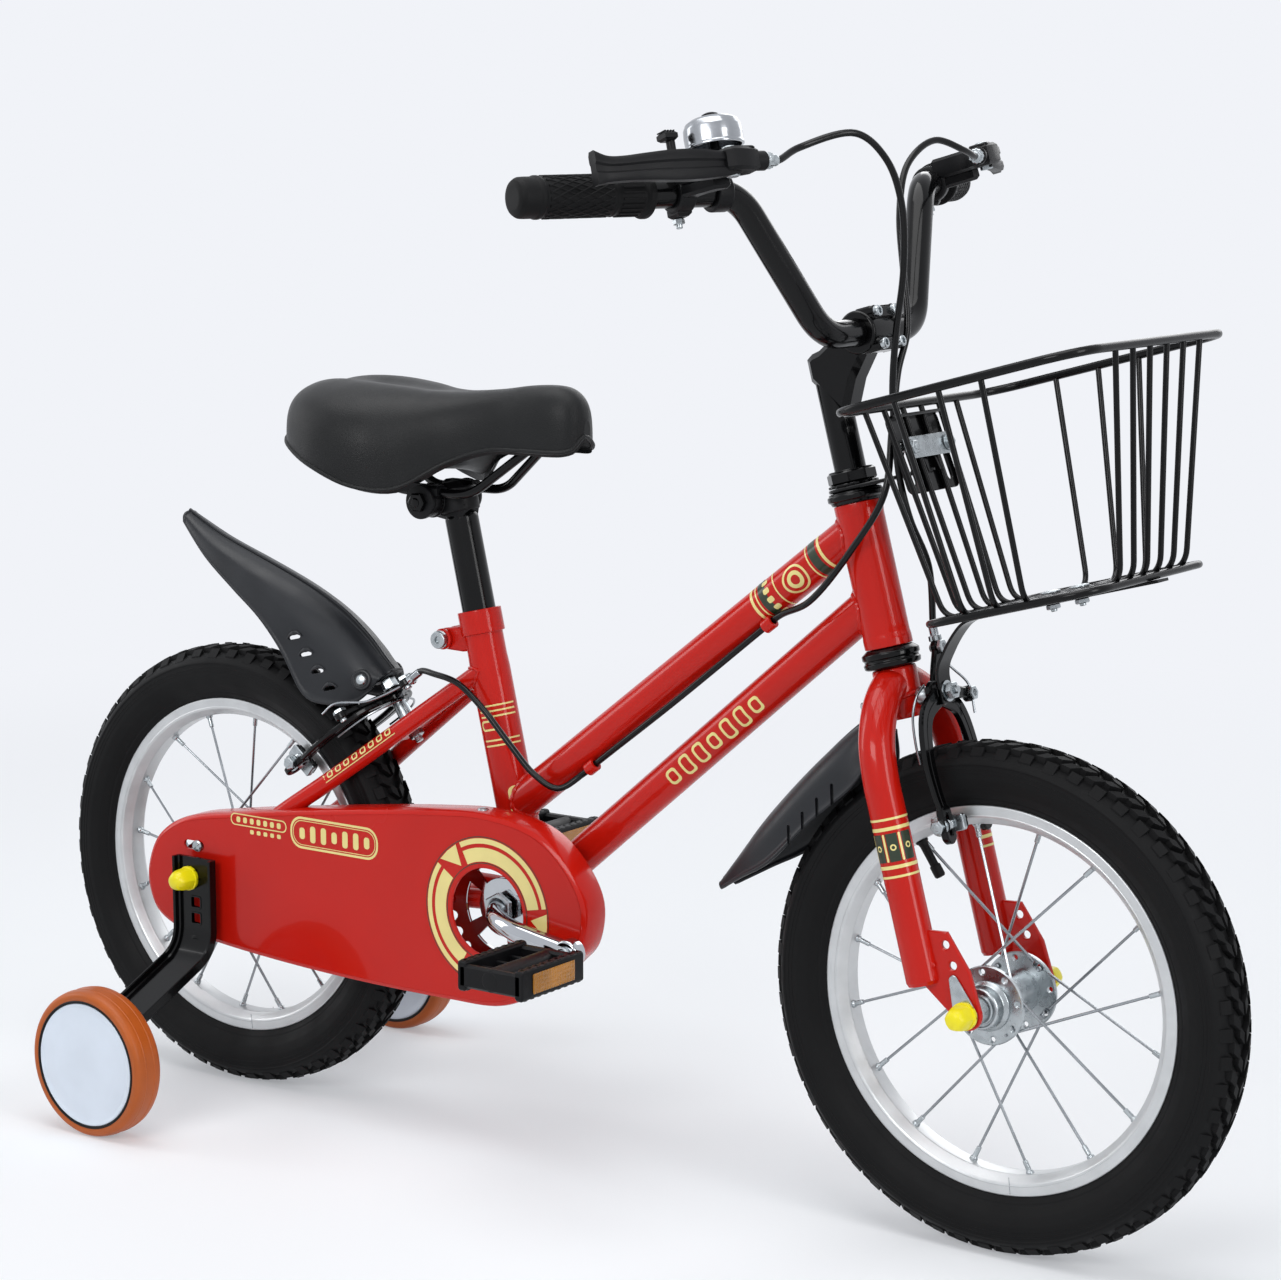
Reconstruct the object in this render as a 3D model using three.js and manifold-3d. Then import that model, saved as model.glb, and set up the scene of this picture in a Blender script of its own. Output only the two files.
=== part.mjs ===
// A child's bike with training wheels, in millimetres: +X forward, +Y to the rider's left, +Z up.
// The origin is on the ground, midway between the two wheel axles.
import * as THREE from "three";
import { mergeVertices } from "three/addons/utils/BufferGeometryUtils.js";
import Module from "manifold-3d";

const wasm = await Module();
wasm.setup();

const radians = THREE.MathUtils.degToRad;
const at = (x, y, z) => new THREE.Vector3(x, y, z);
const sides = [["right", -1], ["left", 1]];
const ends = [-1, 1];

// Driving sizes
const wheelbase = 694;
const rim = { radius: 134, width: 26.2, depth: 18.5, wall: 2.6, track: 13, floorWidth: 15, bead: 10 };
const tyre = { width: 46, height: 44 };
const headLean = radians(15.2);
const headTubeLength = 101;
const forkOffset = 30.8;
const forkClearance = 72.6;
const crankClearance = 112;
const crankRise = 12;
const seatLean = radians(13.1);
const seatTubeLength = 221;
const gap = 0.3;
const overrun = 3;
const mergeDistance = 0.001;

// Facets round a circle
const roundSides = 10;
const tubeSides = 8;
const wireSides = 4;
const wheelSides = 28;
const smallWheelSides = 18;
const spokeSides = 3;
const nutSides = 6;
const cableCoreSides = 5;

// Finishes
const finishes = {
  redPaint: { color: 0xb5150d, roughness: 0.2, metalness: 0.1 },
  blackPaint: { color: 0x121213, roughness: 0.25, metalness: 0.2 },
  blackPlastic: { color: 0x1b1b1d, roughness: 0.55, metalness: 0 },
  rubber: { color: 0x19191a, roughness: 0.8, metalness: 0 },
  tyreRubber: { color: 0x161618, roughness: 0.85, metalness: 0 },
  aluminium: { color: 0xc3c6c8, roughness: 0.35, metalness: 0.9 },
  steel: { color: 0xaeb2b5, roughness: 0.3, metalness: 0.95 },
  chrome: { color: 0xd8dbde, roughness: 0.1, metalness: 1 },
  vinyl: { color: 0x1e1e20, roughness: 0.6, metalness: 0 },
  yellowPlastic: { color: 0xf0e010, roughness: 0.4, metalness: 0 },
  whitePlastic: { color: 0xf2f4f8, roughness: 0.4, metalness: 0 },
  orangeRubber: { color: 0xc4601c, roughness: 0.65, metalness: 0 },
};

// Sizes of the wheels and what holds them
const spoke = { count: 16, radius: 1.1 };
const hub = { barrel: 15, flange: 27.5, flangeThick: 3, place: 23, collar: 13.5, collarWidth: 8, neck: 9.5 };
const axle = { radius: 5, nut: 8.4, nutWidth: 6.4 };
const cap = { radius: 9.6, length: 19, mouth: 9, tip: 5.6, edge: 2 };
const dropout = { inner: 50.3, thickness: 4, radius: 15 };
const eyelet = { forward: 0.4, rise: 24, radius: 6, screw: 2.5 };

// Sizes of the frame
const tube = { top: 13.5, down: 13.5, seat: 15.2, seatTop: 14.6, head: 16.5, stay: 7, chainStay: 7.5 };
const joint = { topOnSeat: 70, topOnHead: 85, downOnHead: 34 };
const stay = { drop: 45, back: 175, fall: 128, endForward: 26, endRise: 19, endSide: 47 };
const bridge = { down: 93, thick: 3, back: 16, lowHalf: 23, highHalf: 12 };
const shell = { radius: 22, half: 28, bore: 19.3, lip: 3, lipInset: 1, thread: 8 };
const clampEar = {
  drop: 17, back: 31, radius: 8, half: 13, collar: 18, collarRadius: 16.6, slot: 1.5, slotDepth: 42, bolt: 3,
  boltHead: 5,
};
const cable = { radius: 2.4, inner: 0.9 };
const guide = { radius: 5.2, half: 4.5, offset: 17.6, slack: 0.9, past: 6 };
const headset = { bore: 15, stack: 14.5, cup: 20, upper: 12, spacer: 3, nut: 11, nutRadius: 17 };

// Sizes of the fork, the bar and what is on it
const fork = { steerer: 12.7, crown: 15.5, crownDrop: 51, blade: 12.5, spread: 51, setback: 3 };
const forkTip = { thickness: 4, height: 60, round: 11, above: 26.6, hole: 3 };
const stem = {
  quill: 11.1, insert: 70, rise: 100, reach: 38, clampRise: 111.5, clamp: 15, clampWidth: 34,
  neckBack: 12, neckLow: 42, neckTop: 7, neckEdge: 3,
};
const stemBolt = { radius: 3.4, side: 11, sunk: 4, proud: 1 };
const bar = { radius: 9.5, lowerHalf: 58.5, upperHalf: 118, upperRise: 100.5, upperBack: 4, bend: 20 };
const grip = { length: 98, radius: 14, collar: 15.5, collarWidth: 5, cover: 3, edge: 2, step: 1 };
const leverClamp = { place: 38, width: 13, radius: 13, room: 19.3 };
const lever = {
  back: 7, forward: 44, rise: 9, length: 99, thick: 6, blade: 9, pin: 3, eye: 6.5, wall: 3.5,
};
const ferrule = { back: 28, drop: 1, length: 14, radius: 4, seat: 4 };
const bell = { along: 15, forward: 6, radius: 19.5, low: 28, height: 20, wall: 2 };
const bellBase = {
  bandHalf: 6, back: 8, front: 12, top: 20, plate: 3, sunk: 2, boss: 8.5, bossRise: 3, post: 3,
  armRadius: 8, pinOut: 14, pin: 2, pinRise: 6, pinRound: 6,
};
const bellButton = { radius: 5, sunk: 1, proud: 2 };
const thumb = {
  out: 30, thick: 4, wide: 5, narrow: 3.5, back: 3, front: 2, half: 3, rise: 14, knobFront: 6, knobHalf: 5,
  knobTop: 20,
};

// Sizes of the basket
const basket = {
  length: 190, width: 218, corner: 28, rimWire: 3, wire: 2, depth: 147, above: 57, ahead: 58,
};
const basketFloor = { length: 132, width: 170, corner: 24, wire: 2.6, back: 10, bend: 9 };
const longWires = { count: 6, pitch: 24 };
const backPlate = {
  below: 4, above: 50, half: 33, thick: 2.4, slotSide: 23.5, slotLow: 2, slotHigh: 32, slotHalf: 3,
};
const carrierArm = { thick: 2.5, half: 8, ring: 18 };
const strip = { above: 27, half: 31, height: 15, thick: 1.6, screw: 2.2, nut: 4.6, nutDeep: 4, head: 2, back: 1 };
const stayStrip = { thick: 2, half: 8, front: 215, kink: 22, middle: 52, middleDrop: 4, floorBack: 66 };
const stayScrew = {
  back: 1.5, below: 7, radius: 2.2, nut: 4.5, nutDeep: 6, washer: 7, washerThick: 2, proud: 1,
};

// Sizes of the brakes and mudguards
const brake = {
  plane: 25, thick: 5, pivot: 3, out: 34, width: 9, tail: 8, anchor: 5.5, anchorProud: 1.5,
  nut: 5, nutEnd: 9, head: 6, headProud: 2, rearHead: 8.4,
};
const brakePad = {
  height: 10, length: 24, thick: 8, clearance: 2, inset: 2, bolt: 4.2, boltSunk: 2, boltEnd: 24,
};
const frontBolt = { drop: 37.6 };
const mudguard = { thick: 2.2, tongueHalf: 12, tongueLow: 52, tongueHigh: 29 };
const frontMudguard = { length: 178, height: 99, half: 31, drop: 47 };
const rearMudguard = {
  length: 216, height: 136, half: 27, back: 54, sink: 34, tongueHalf: 9, tongueBack: 8, tongueFront: 14,
};
const slot = { count: 4, width: 3, frontLength: 16, frontPitch: 14, frontAhead: 52, frontDrop: 92, rearLength: 11 };

// Sizes of the drive and its guard
const chain = {
  pitch: 12.7, width: 6.8, height: 7.4, line: 36, ringTeeth: 24, sprocketTeeth: 14, tooth: 3, plate: 3,
  windowPlace: 28, window: 8,
};
const crank = {
  arm: 89, across: 73, spindle: 10, spindleEnd: 14, rod: 7.5, cone: 15, coneEnd: 6, clearance: 1,
  boss: 10.5, bossWidth: 12, lean: radians(9),
};
const pedal = {
  length: 58, width: 72, height: 22, rail: 8, dish: 5, centre: 130, spindle: 4.5, barrel: 8.5, pinShort: 4,
};
const reflector = { half: 22, rise: 5, sunk: 1, proud: 2.5 };
const guard = {
  behind: 56, ahead: 90, above: 74, below: 73, outer: 57, wall: 2.4, depth: 26, bevel: 4, window: 34,
  boss: 5, notchIn: 8, notchAhead: 118, stayRoom: 1.5,
};
const guardScrew = {
  back: 12, rise: 73.6, side: 45, radius: 2.5, length: 20, head: 1.5, headDeep: 3, sunk: 1, proud: 2,
  flangeHalf: 9, flangeDrop: 6, flangeRise: 2, flangeIn: 8, tabHalf: 8, tabOut: 7, tabThick: 3,
};

// Sizes of the training wheels
const trainer = { radius: 57, width: 28, track: 180, forward: 6, disc: 48.5, discInset: 1, bolt: 5 };
const bracket = {
  outer: 64, thickness: 3, width: 40, above: 17, straight: 58, lip: 6, tab: 158, kinkIn: 4, kinkRise: 22,
  footRise: 15, footDrop: 14, slotTop: 14, slotLow: 24, slot: 5,
};
const trainerNut = { radius: 8, thick: 4, sunk: 1, proud: 2, inner: 3.5 };

// Sizes of the seat
const seatPost = { radius: 12.7, show: 74, insert: 95, travel: 55, thin: 11, thinLength: 16, taper: 3 };
const saddleClamp = {
  back: 13, drop: 2, radius: 12.5, half: 30, sunk: 4, sleeve: 4, lap: 2, bolt: 5, boltProud: 4,
};
const rail = {
  radius: 3.5, side: 21, above: 7, tailBack: 62, tailSide: 36, tailRise: 26, back: 30, front: 42,
  noseForward: 88, noseSide: 9, noseRise: 36, bend: 8, room: 0.5,
};
const saddle = { length: 256, width: 150, height: 84, wall: 9, back: 122, seat: 1.2 };

// Places that follow from the sizes
const wheelRadius = rim.radius + tyre.height;
const forkReach = wheelRadius + forkClearance;
const crankForward = wheelRadius + crankClearance;
const rearAxle = at(-wheelbase / 2, 0, wheelRadius);
const frontAxle = at(wheelbase / 2, 0, wheelRadius);
const crankCentre = rearAxle.clone().add(at(crankForward, 0, crankRise));
const steerUp = at(-Math.sin(headLean), 0, Math.cos(headLean));
const steerForward = at(Math.cos(headLean), 0, Math.sin(headLean));
const headBottom = frontAxle.clone()
  .addScaledVector(steerForward, -forkOffset)
  .addScaledVector(steerUp, forkReach);
const onHead = (along) => headBottom.clone().addScaledVector(steerUp, along);
const seatUp = at(-Math.sin(seatLean), 0, Math.cos(seatLean));
const onSeat = (along) => crankCentre.clone().addScaledVector(seatUp, along);
const onAxle = (centre, across) => centre.clone().setY(across);

// Bike parts that turn with the bar are placed from the lower end of the head tube:
// x ahead of the steering axis, z along it.
const steered = new THREE.Group();
steered.position.copy(headBottom);
steered.rotation.y = -headLean;
steered.updateMatrix();
const steeredMatrix = steered.matrix.clone();
const steeredInverse = steeredMatrix.clone().invert();
const steeredAxle = at(forkOffset, 0, -forkReach);
const fixed = new THREE.Group();

// Solids

// A solid from any closed geometry, turned to face out.
function solid(geometry) {
  const source = geometry.index ? geometry.toNonIndexed() : geometry;
  const bare = new THREE.BufferGeometry();
  bare.setAttribute("position", source.getAttribute("position"));
  const merged = mergeVertices(bare, mergeDistance);
  const corners = [];
  const index = merged.index.array;
  for (let i = 0; i < index.length; i += 3) {
    const [a, b, c] = index.slice(i, i + 3);
    if (a !== b && b !== c && c !== a) corners.push(a, b, c);
  }
  const vertProperties = merged.attributes.position.array;
  const made = (order) => {
    const triVerts = new Uint32Array(order);
    return new wasm.Manifold(new wasm.Mesh({ numProp: 3, vertProperties, triVerts }));
  };
  const first = made(corners);
  return first.volume() < 0 ? made(corners.reverse()) : first;
}

function toGeometry(body) {
  const { vertProperties, triVerts } = body.getMesh();
  const geometry = new THREE.BufferGeometry();
  geometry.setAttribute("position", new THREE.BufferAttribute(vertProperties, 3));
  geometry.setIndex(new THREE.BufferAttribute(triVerts, 1));
  return geometry;
}

const join = (...bodies) => bodies.reduce((whole, body) => whole.add(body));
const cut = (body, ...tools) => tools.reduce((whole, tool) => whole.subtract(tool), body);
const moved = (body, matrix) => solid(toGeometry(body).applyMatrix4(matrix));
const mirrored = (body) => solid(toGeometry(body).scale(1, -1, 1));
const onSide = (body, side) => (side < 0 ? body : mirrored(body));

function piece(parent, name, body, finish) {
  const material = new THREE.MeshStandardMaterial({ ...finishes[finish], flatShading: true });
  const mesh = new THREE.Mesh(toGeometry(body), material);
  mesh.name = name;
  parent.add(mesh);
}

// A round bar or cone between two points.
function rod(from, to, radius, facets = roundSides, endRadius = radius) {
  const length = from.distanceTo(to);
  const turn = new THREE.Quaternion();
  turn.setFromUnitVectors(at(0, 1, 0), to.clone().sub(from).normalize());
  const geometry = new THREE.CylinderGeometry(endRadius, radius, length, facets);
  geometry.translate(0, length / 2, 0).applyQuaternion(turn).translate(from.x, from.y, from.z);
  return solid(geometry);
}

// The corner radius of a faceted bore whose flats keep the gap to a round shaft.
const boreRadius = (shaft, facets = roundSides) => (shaft + gap) / Math.cos(Math.PI / facets);

function bore(from, to, shaft, facets = roundSides) {
  const past = to.clone().sub(from).setLength(overrun);
  return rod(from.clone().sub(past), to.clone().add(past), boreRadius(shaft, facets), facets);
}

// A profile of [radius, along] pairs turned about the line from a point along a direction.
function turned(profile, from, direction, facets = roundSides) {
  const turn = new THREE.Quaternion().setFromUnitVectors(at(0, 1, 0), direction);
  const outline = profile.map(([radius, along]) => new THREE.Vector2(radius, along));
  const geometry = new THREE.LatheGeometry(outline, facets);
  return solid(geometry.applyQuaternion(turn).translate(from.x, from.y, from.z));
}

const closed = (profile) => [...profile, profile[0]];

const planes = {
  xz: [at(1, 0, 0), at(0, 0, 1), at(0, -1, 0)],
  yz: [at(0, 1, 0), at(0, 0, 1), at(1, 0, 0)],
  xy: [at(1, 0, 0), at(0, 1, 0), at(0, 0, 1)],
};

// A flat plate of the given outline, from low to high along the third axis of its plane.
function slab(outline, plane, low, high, holes = []) {
  const toPath = (points) => points.map(([u, v]) => new THREE.Vector2(u, v));
  const shape = new THREE.Shape(toPath(outline));
  shape.holes = holes.map((hole) => new THREE.Path(toPath(hole)));
  const geometry = new THREE.ExtrudeGeometry(shape, { depth: high - low, bevelEnabled: false });
  geometry.applyMatrix4(new THREE.Matrix4().makeBasis(...planes[plane]));
  if (plane === "xz") geometry.translate(0, high, 0);
  if (plane === "yz") geometry.translate(low, 0, 0);
  if (plane === "xy") geometry.translate(0, 0, low);
  return solid(geometry);
}

function block(low, high) {
  const size = high.clone().sub(low);
  const middle = low.clone().add(high).divideScalar(2);
  const geometry = new THREE.BoxGeometry(size.x, size.y, size.z);
  return solid(geometry.translate(middle.x, middle.y, middle.z));
}

function arc(u, v, radius, start, end, steps) {
  const points = [];
  for (let i = 0; i <= steps; i++) {
    const angle = start + ((end - start) * i) / steps;
    points.push([u + radius * Math.cos(angle), v + radius * Math.sin(angle)]);
  }
  return points;
}

const circle = (u, v, radius, facets = roundSides) =>
  arc(u, v, radius, 0, 2 * Math.PI, facets).slice(0, facets);

// The outline round two circles of given radii.
function oblong([u1, v1, r1], [u2, v2, r2], steps = 6) {
  const heading = Math.atan2(v2 - v1, u2 - u1);
  const open = Math.acos((r1 - r2) / Math.hypot(u2 - u1, v2 - v1));
  return [
    ...arc(u2, v2, r2, heading - open, heading + open, steps),
    ...arc(u1, v1, r1, heading + open, heading + 2 * Math.PI - open, steps),
  ];
}

function roundedRectangle(u, v, length, width, corner, steps = 3) {
  const half = [length / 2 - corner, width / 2 - corner];
  const quarter = Math.PI / 2;
  const turns = [[1, 1], [-1, 1], [-1, -1], [1, -1]];
  return turns.flatMap(([su, sv], i) =>
    arc(u + su * half[0], v + sv * half[1], corner, i * quarter, (i + 1) * quarter, steps));
}

// The outline of a strip of constant thickness along a bent line: one edge out, the other back.
function ribbon(points, thickness) {
  const line = points.map(([u, v]) => new THREE.Vector2(u, v));
  const last = line.length - 1;
  const edges = [[], []];
  line.forEach((point, i) => {
    const after = (i < last ? line[i + 1].clone().sub(point) : point.clone().sub(line[i - 1])).normalize();
    const before = (i > 0 ? point.clone().sub(line[i - 1]) : after.clone()).normalize();
    const normal = new THREE.Vector2(-(before.y + after.y), before.x + after.x).normalize();
    const reach = thickness / 2 / (normal.y * after.x - normal.x * after.y);
    edges[0].push([point.x + normal.x * reach, point.y + normal.y * reach]);
    edges[1].push([point.x - normal.x * reach, point.y - normal.y * reach]);
  });
  return [...edges[0], ...edges[1].reverse()];
}

// A path that puts one ring of a tube on each listed point.
class PointPath extends THREE.Curve {
  constructor(points) {
    super();
    this.points = points;
  }

  getPoint(t, target = at(0, 0, 0)) {
    const place = t * (this.points.length - 1);
    const low = Math.min(Math.floor(place), this.points.length - 2);
    return target.lerpVectors(this.points[low], this.points[low + 1], place - low);
  }

  getPointAt(t, target) {
    return this.getPoint(t, target);
  }

  getTangentAt(t, target = at(0, 0, 0)) {
    const last = this.points.length - 1;
    const near = Math.round(t * last);
    const before = this.points[near].clone().sub(this.points[Math.max(near - 1, 0)]).normalize();
    const after = this.points[Math.min(near + 1, last)].clone().sub(this.points[near]).normalize();
    return target.addVectors(before, after).normalize();
  }
}

// A round wire or tube through points.
function wire(points, radius, facets = wireSides) {
  const shape = new THREE.Shape(circle(0, 0, radius, facets).map(([u, v]) => new THREE.Vector2(u, v)));
  const extrudePath = new PointPath(points);
  const steps = points.length - 1;
  return solid(new THREE.ExtrudeGeometry(shape, { steps, extrudePath, bevelEnabled: false }));
}

// Points of a bent wire whose corners are rounded from the given distance before each corner.
function bent(points, rounding, steps = 3) {
  return points.flatMap((corner, i) => {
    if (i === 0 || i === points.length - 1) return [corner];
    const start = corner.clone().add(points[i - 1].clone().sub(corner).setLength(rounding));
    const end = corner.clone().add(points[i + 1].clone().sub(corner).setLength(rounding));
    return new THREE.QuadraticBezierCurve3(start, corner, end).getPoints(steps);
  });
}

const smooth = (points, steps) => new THREE.CatmullRomCurve3(points, false, "centripetal").getSpacedPoints(steps);

// A body through closed loops of points. Point i of a loop faces point n - 1 - i across it.
function loft(loops) {
  const count = loops[0].length;
  const corners = [];
  const quad = (a, b, c, d) => corners.push(a, b, c, a, c, d);
  for (let k = 0; k < loops.length - 1; k++) {
    for (let i = 0; i < count; i++) {
      const j = (i + 1) % count;
      quad(loops[k][i], loops[k][j], loops[k + 1][j], loops[k + 1][i]);
    }
  }
  const end = loops[loops.length - 1];
  for (let i = 0; i < count / 2 - 1; i++) {
    quad(end[i], end[i + 1], end[count - 2 - i], end[count - 1 - i]);
    quad(loops[0][count - 1 - i], loops[0][count - 2 - i], loops[0][i + 1], loops[0][i]);
  }
  return solid(new THREE.BufferGeometry().setFromPoints(corners));
}

// A round bar across the bike, through a centre, from one place to another.
const crossBar = (centre, from, to, radius, facets) =>
  rod(onAxle(centre, from), onAxle(centre, to), radius, facets);
const crossBore = (centre, half, shaft, facets) =>
  bore(onAxle(centre, -half), onAxle(centre, half), shaft, facets);
// A round bar along x at a height, in the steered or a brake's frame.
const longBar = (across, height, from, to, radius, facets) =>
  rod(at(from, across, height), at(to, across, height), radius, facets);
// A round bar along z.
const upBar = (forward, across, from, to, radius, facets) =>
  rod(at(forward, across, from), at(forward, across, to), radius, facets);

// Wheels

// Half profile of a tyre round its inner tube, from bead to tread, as shares of its height and half width.
const tyreShares = [[0, 0.53], [0.17, 0.8], [0.45, 1], [0.78, 0.92], [0.95, 0.55], [1, 0]];

function tyreBody(centre) {
  const bead = rim.radius + gap;
  const height = wheelRadius - bead;
  const right = tyreShares.map(([up, out]) => [bead + up * height, (out * tyre.width) / 2]);
  const left = right.map(([radius, along]) => [radius, -along]).reverse();
  return turned(closed([...right, ...left.slice(1)]), centre, at(0, 1, 0), wheelSides);
}

function rimBody(centre) {
  const half = rim.width / 2;
  const side = rim.radius - rim.track;
  const shelf = rim.radius - rim.bead;
  const inside = half - rim.wall;
  const profile = [
    [rim.radius, half],
    [side, half],
    [rim.radius - rim.depth, rim.floorWidth / 2],
    [rim.radius - rim.depth, -rim.floorWidth / 2],
    [side, -half],
    [rim.radius, -half],
    [rim.radius, -inside],
    [shelf, -inside],
    [shelf, inside],
    [rim.radius, inside],
  ];
  return turned(closed(profile), centre, at(0, 1, 0), wheelSides);
}

// Spokes leave the flanges nearly square to the radius and cross on their way to the rim.
function spokes(centre) {
  const crossing = radians(55);
  const root = hub.flange - hub.flangeThick;
  const reach = rim.radius - rim.depth + rim.wall;
  const bodies = [];
  for (let i = 0; i < spoke.count; i++) {
    const end = (2 * Math.PI * i) / spoke.count;
    const start = end + (Math.floor(i / 2) % 2 ? crossing : -crossing);
    const side = i % 2 ? 1 : -1;
    const from = centre.clone().add(at(root * Math.cos(start), side * hub.place, root * Math.sin(start)));
    const to = centre.clone().add(at(reach * Math.cos(end), 0, reach * Math.sin(end)));
    bodies.push(rod(from, to, spoke.radius, spokeSides));
  }
  return bodies;
}

function hubBody(centre, half) {
  const thick = hub.flangeThick / 2;
  const collarEnd = hub.place + thick + hub.collarWidth;
  const rise = [
    [hub.neck, -half], [hub.neck, -collarEnd], [hub.collar, -collarEnd], [hub.collar, -hub.place - thick],
    [hub.flange, -hub.place - thick], [hub.flange, -hub.place + thick], [hub.barrel, -hub.place + thick],
  ];
  const fall = rise.map(([radius, along]) => [radius, -along]).reverse();
  const inside = boreRadius(axle.radius, tubeSides);
  const profile = [[inside, -half], ...rise, ...fall, [inside, half]];
  return turned(closed(profile), centre, at(0, 1, 0), tubeSides);
}

// A toothed disc across the bike, on the chain's line.
function toothed(centre, teeth, tip, hole) {
  const outline = [];
  for (let i = 0; i < 2 * teeth; i++) {
    const radius = i % 2 ? tip - chain.tooth : tip;
    const angle = (Math.PI * i) / teeth;
    outline.push([centre.x + radius * Math.cos(angle), centre.z + radius * Math.sin(angle)]);
  }
  const low = -chain.line - chain.plate / 2;
  return slab(outline, "xz", low, low + chain.plate, [circle(centre.x, centre.z, hole)]);
}

const pitchRadius = (teeth) => chain.pitch / (2 * Math.sin(Math.PI / teeth));
const chainHalf = chain.height / 2;
const toothTip = (teeth) => pitchRadius(teeth) - chainHalf - gap;

function frontWheel() {
  const half = fork.spread - forkTip.thickness / 2 - gap;
  return join(rimBody(frontAxle), hubBody(frontAxle, half), ...spokes(frontAxle));
}

function rearWheel() {
  const sprocket = toothed(rearAxle, chain.sprocketTeeth, toothTip(chain.sprocketTeeth), hub.neck - gap);
  return join(rimBody(rearAxle), hubBody(rearAxle, dropout.inner - gap), ...spokes(rearAxle), sprocket);
}

// Frame

const topTube = [onSeat(joint.topOnSeat), onHead(joint.topOnHead)];
const downTube = [crankCentre, onHead(joint.downOnHead)];
const along = ([from, to], share) => from.clone().lerp(to, share);

const stayTop = onSeat(seatTubeLength - stay.drop);
const stayEnd = rearAxle.clone().add(at(stay.endForward, 0, stay.endRise));
const staySlope = at(-stay.back, 0, -stay.fall).normalize();
const stayNormal = at(staySlope.z, 0, -staySlope.x);
const onStays = (down, up, side) =>
  stayTop.clone().addScaledVector(staySlope, down).addScaledVector(stayNormal, up).add(at(0, side, 0));

// Bends of a seat stay: how far down it, and how far out.
const seatStayShares = [[0.576, 0.68], [0.77, 0.957]];

function seatStay(side, radius = tube.stay) {
  const reach = stayTop.distanceTo(stayEnd);
  const route = [
    onStays(0, 0, side * (tube.seat - tube.stay)),
    ...seatStayShares.map(([down, out]) => onStays(down * reach, 0, side * out * stay.endSide)),
    onAxle(stayEnd, side * stay.endSide),
  ];
  return wire(smooth(route, 6), radius, tubeSides);
}

// Points of a chain stay: how far back to the rear axle, and how far out.
const chainStayShares = [[0.021, 0.383], [0.19, 0.51], [0.386, 0.702], [0.621, 0.894], [0.845, 1], [0.91, 1]];

function chainStay(side) {
  const points = chainStayShares.map(([back, out]) =>
    crankCentre.clone().add(at(-back * crankForward, side * out * stay.endSide, -back * crankRise)));
  return wire(smooth(points, 6), tube.chainStay, tubeSides);
}

function dropoutPlate(side) {
  const { x, z } = rearAxle;
  const eye = [x + eyelet.forward, z + eyelet.rise];
  const outline = [
    ...arc(x, z, dropout.radius, Math.PI, 2 * Math.PI - radians(60), 6),
    [stayEnd.x + tube.stay, z - tube.stay],
    [stayEnd.x + tube.stay, stayEnd.z + tube.stay],
    ...arc(...eye, eyelet.radius, radians(60), radians(170), 4),
  ];
  const near = dropout.inner;
  const far = dropout.inner + dropout.thickness;
  const holes = [
    circle(x, z, boreRadius(axle.radius)),
    circle(...eye, boreRadius(eyelet.screw, tubeSides), tubeSides),
  ];
  return side > 0 ? slab(outline, "xz", near, far, holes) : slab(outline, "xz", -far, -near, holes);
}

// The plate between the seat stays that carries the rear brake.
function stayBridge() {
  const across = at(0, 1, 0);
  const matrix = new THREE.Matrix4().makeBasis(staySlope.clone(), across, staySlope.clone().cross(across));
  matrix.setPosition(onStays(bridge.down, 0, 0));
  const high = tube.seat - bridge.down;
  const outline = [
    [bridge.back, -bridge.lowHalf], [bridge.back, bridge.lowHalf], [high, bridge.highHalf],
    [high, -bridge.highHalf],
  ];
  const hole = circle(0, 0, boreRadius(brake.pivot));
  return moved(slab(outline, "xy", -bridge.thick / 2, bridge.thick / 2, [hole]), matrix);
}

const seatBack = at(-Math.cos(seatLean), 0, -Math.sin(seatLean));
const earCentre = onSeat(seatTubeLength - clampEar.drop).addScaledVector(seatBack, clampEar.back);

function seatCluster() {
  const low = onSeat(seatTubeLength - 2 * clampEar.drop);
  const high = onSeat(seatTubeLength - overrun);
  const web = [
    [earCentre.x, earCentre.z - clampEar.radius], [low.x, low.z], [high.x, high.z],
    [earCentre.x, earCentre.z + clampEar.radius],
  ];
  return join(
    crossBar(earCentre, -clampEar.half, clampEar.half, clampEar.radius, tubeSides),
    slab(web, "xz", -clampEar.radius, clampEar.radius),
    rod(onSeat(seatTubeLength - clampEar.collar), onSeat(seatTubeLength), clampEar.collarRadius),
  );
}

// The cut down the back of the collar that lets the bolt draw it tight.
function clampSlot() {
  const low = onSeat(seatTubeLength - clampEar.slotDepth);
  const high = onSeat(seatTubeLength + overrun);
  const behind = 2 * clampEar.back;
  const outline = [
    [low.x, low.z], [high.x, high.z], [high.x - behind, high.z], [low.x - behind, low.z - clampEar.back],
  ];
  return slab(outline, "xz", -clampEar.slot, clampEar.slot);
}

// Cable guides along the top tube, and how far to the right of its underside they lean.
const guideShares = [0.737, 0.226];
const guideLeanShare = 0.6;

function guideCentre(share) {
  const line = topTube[1].clone().sub(topTube[0]).normalize();
  const down = at(line.z, -guideLeanShare, -line.x).normalize();
  return along(topTube, share).addScaledVector(down, guide.offset);
}

const guideLine = (half) => topTube[1].clone().sub(topTube[0]).setLength(half);

function cableGuide(share) {
  const line = guideLine(guide.half);
  return rod(guideCentre(share).sub(line), guideCentre(share).add(line), guide.radius);
}

function guideHole(share) {
  const line = guideLine(guide.half);
  return bore(guideCentre(share).sub(line), guideCentre(share).add(line), cable.radius + guide.slack, tubeSides);
}

// A tab from the seat tube that the guard's top screw holds on to.
const tabCentre = at(crankCentre.x - guardScrew.back, 0, crankCentre.z + guardScrew.rise);
const tabTop = tabCentre.z - guardScrew.flangeDrop - gap;

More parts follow.
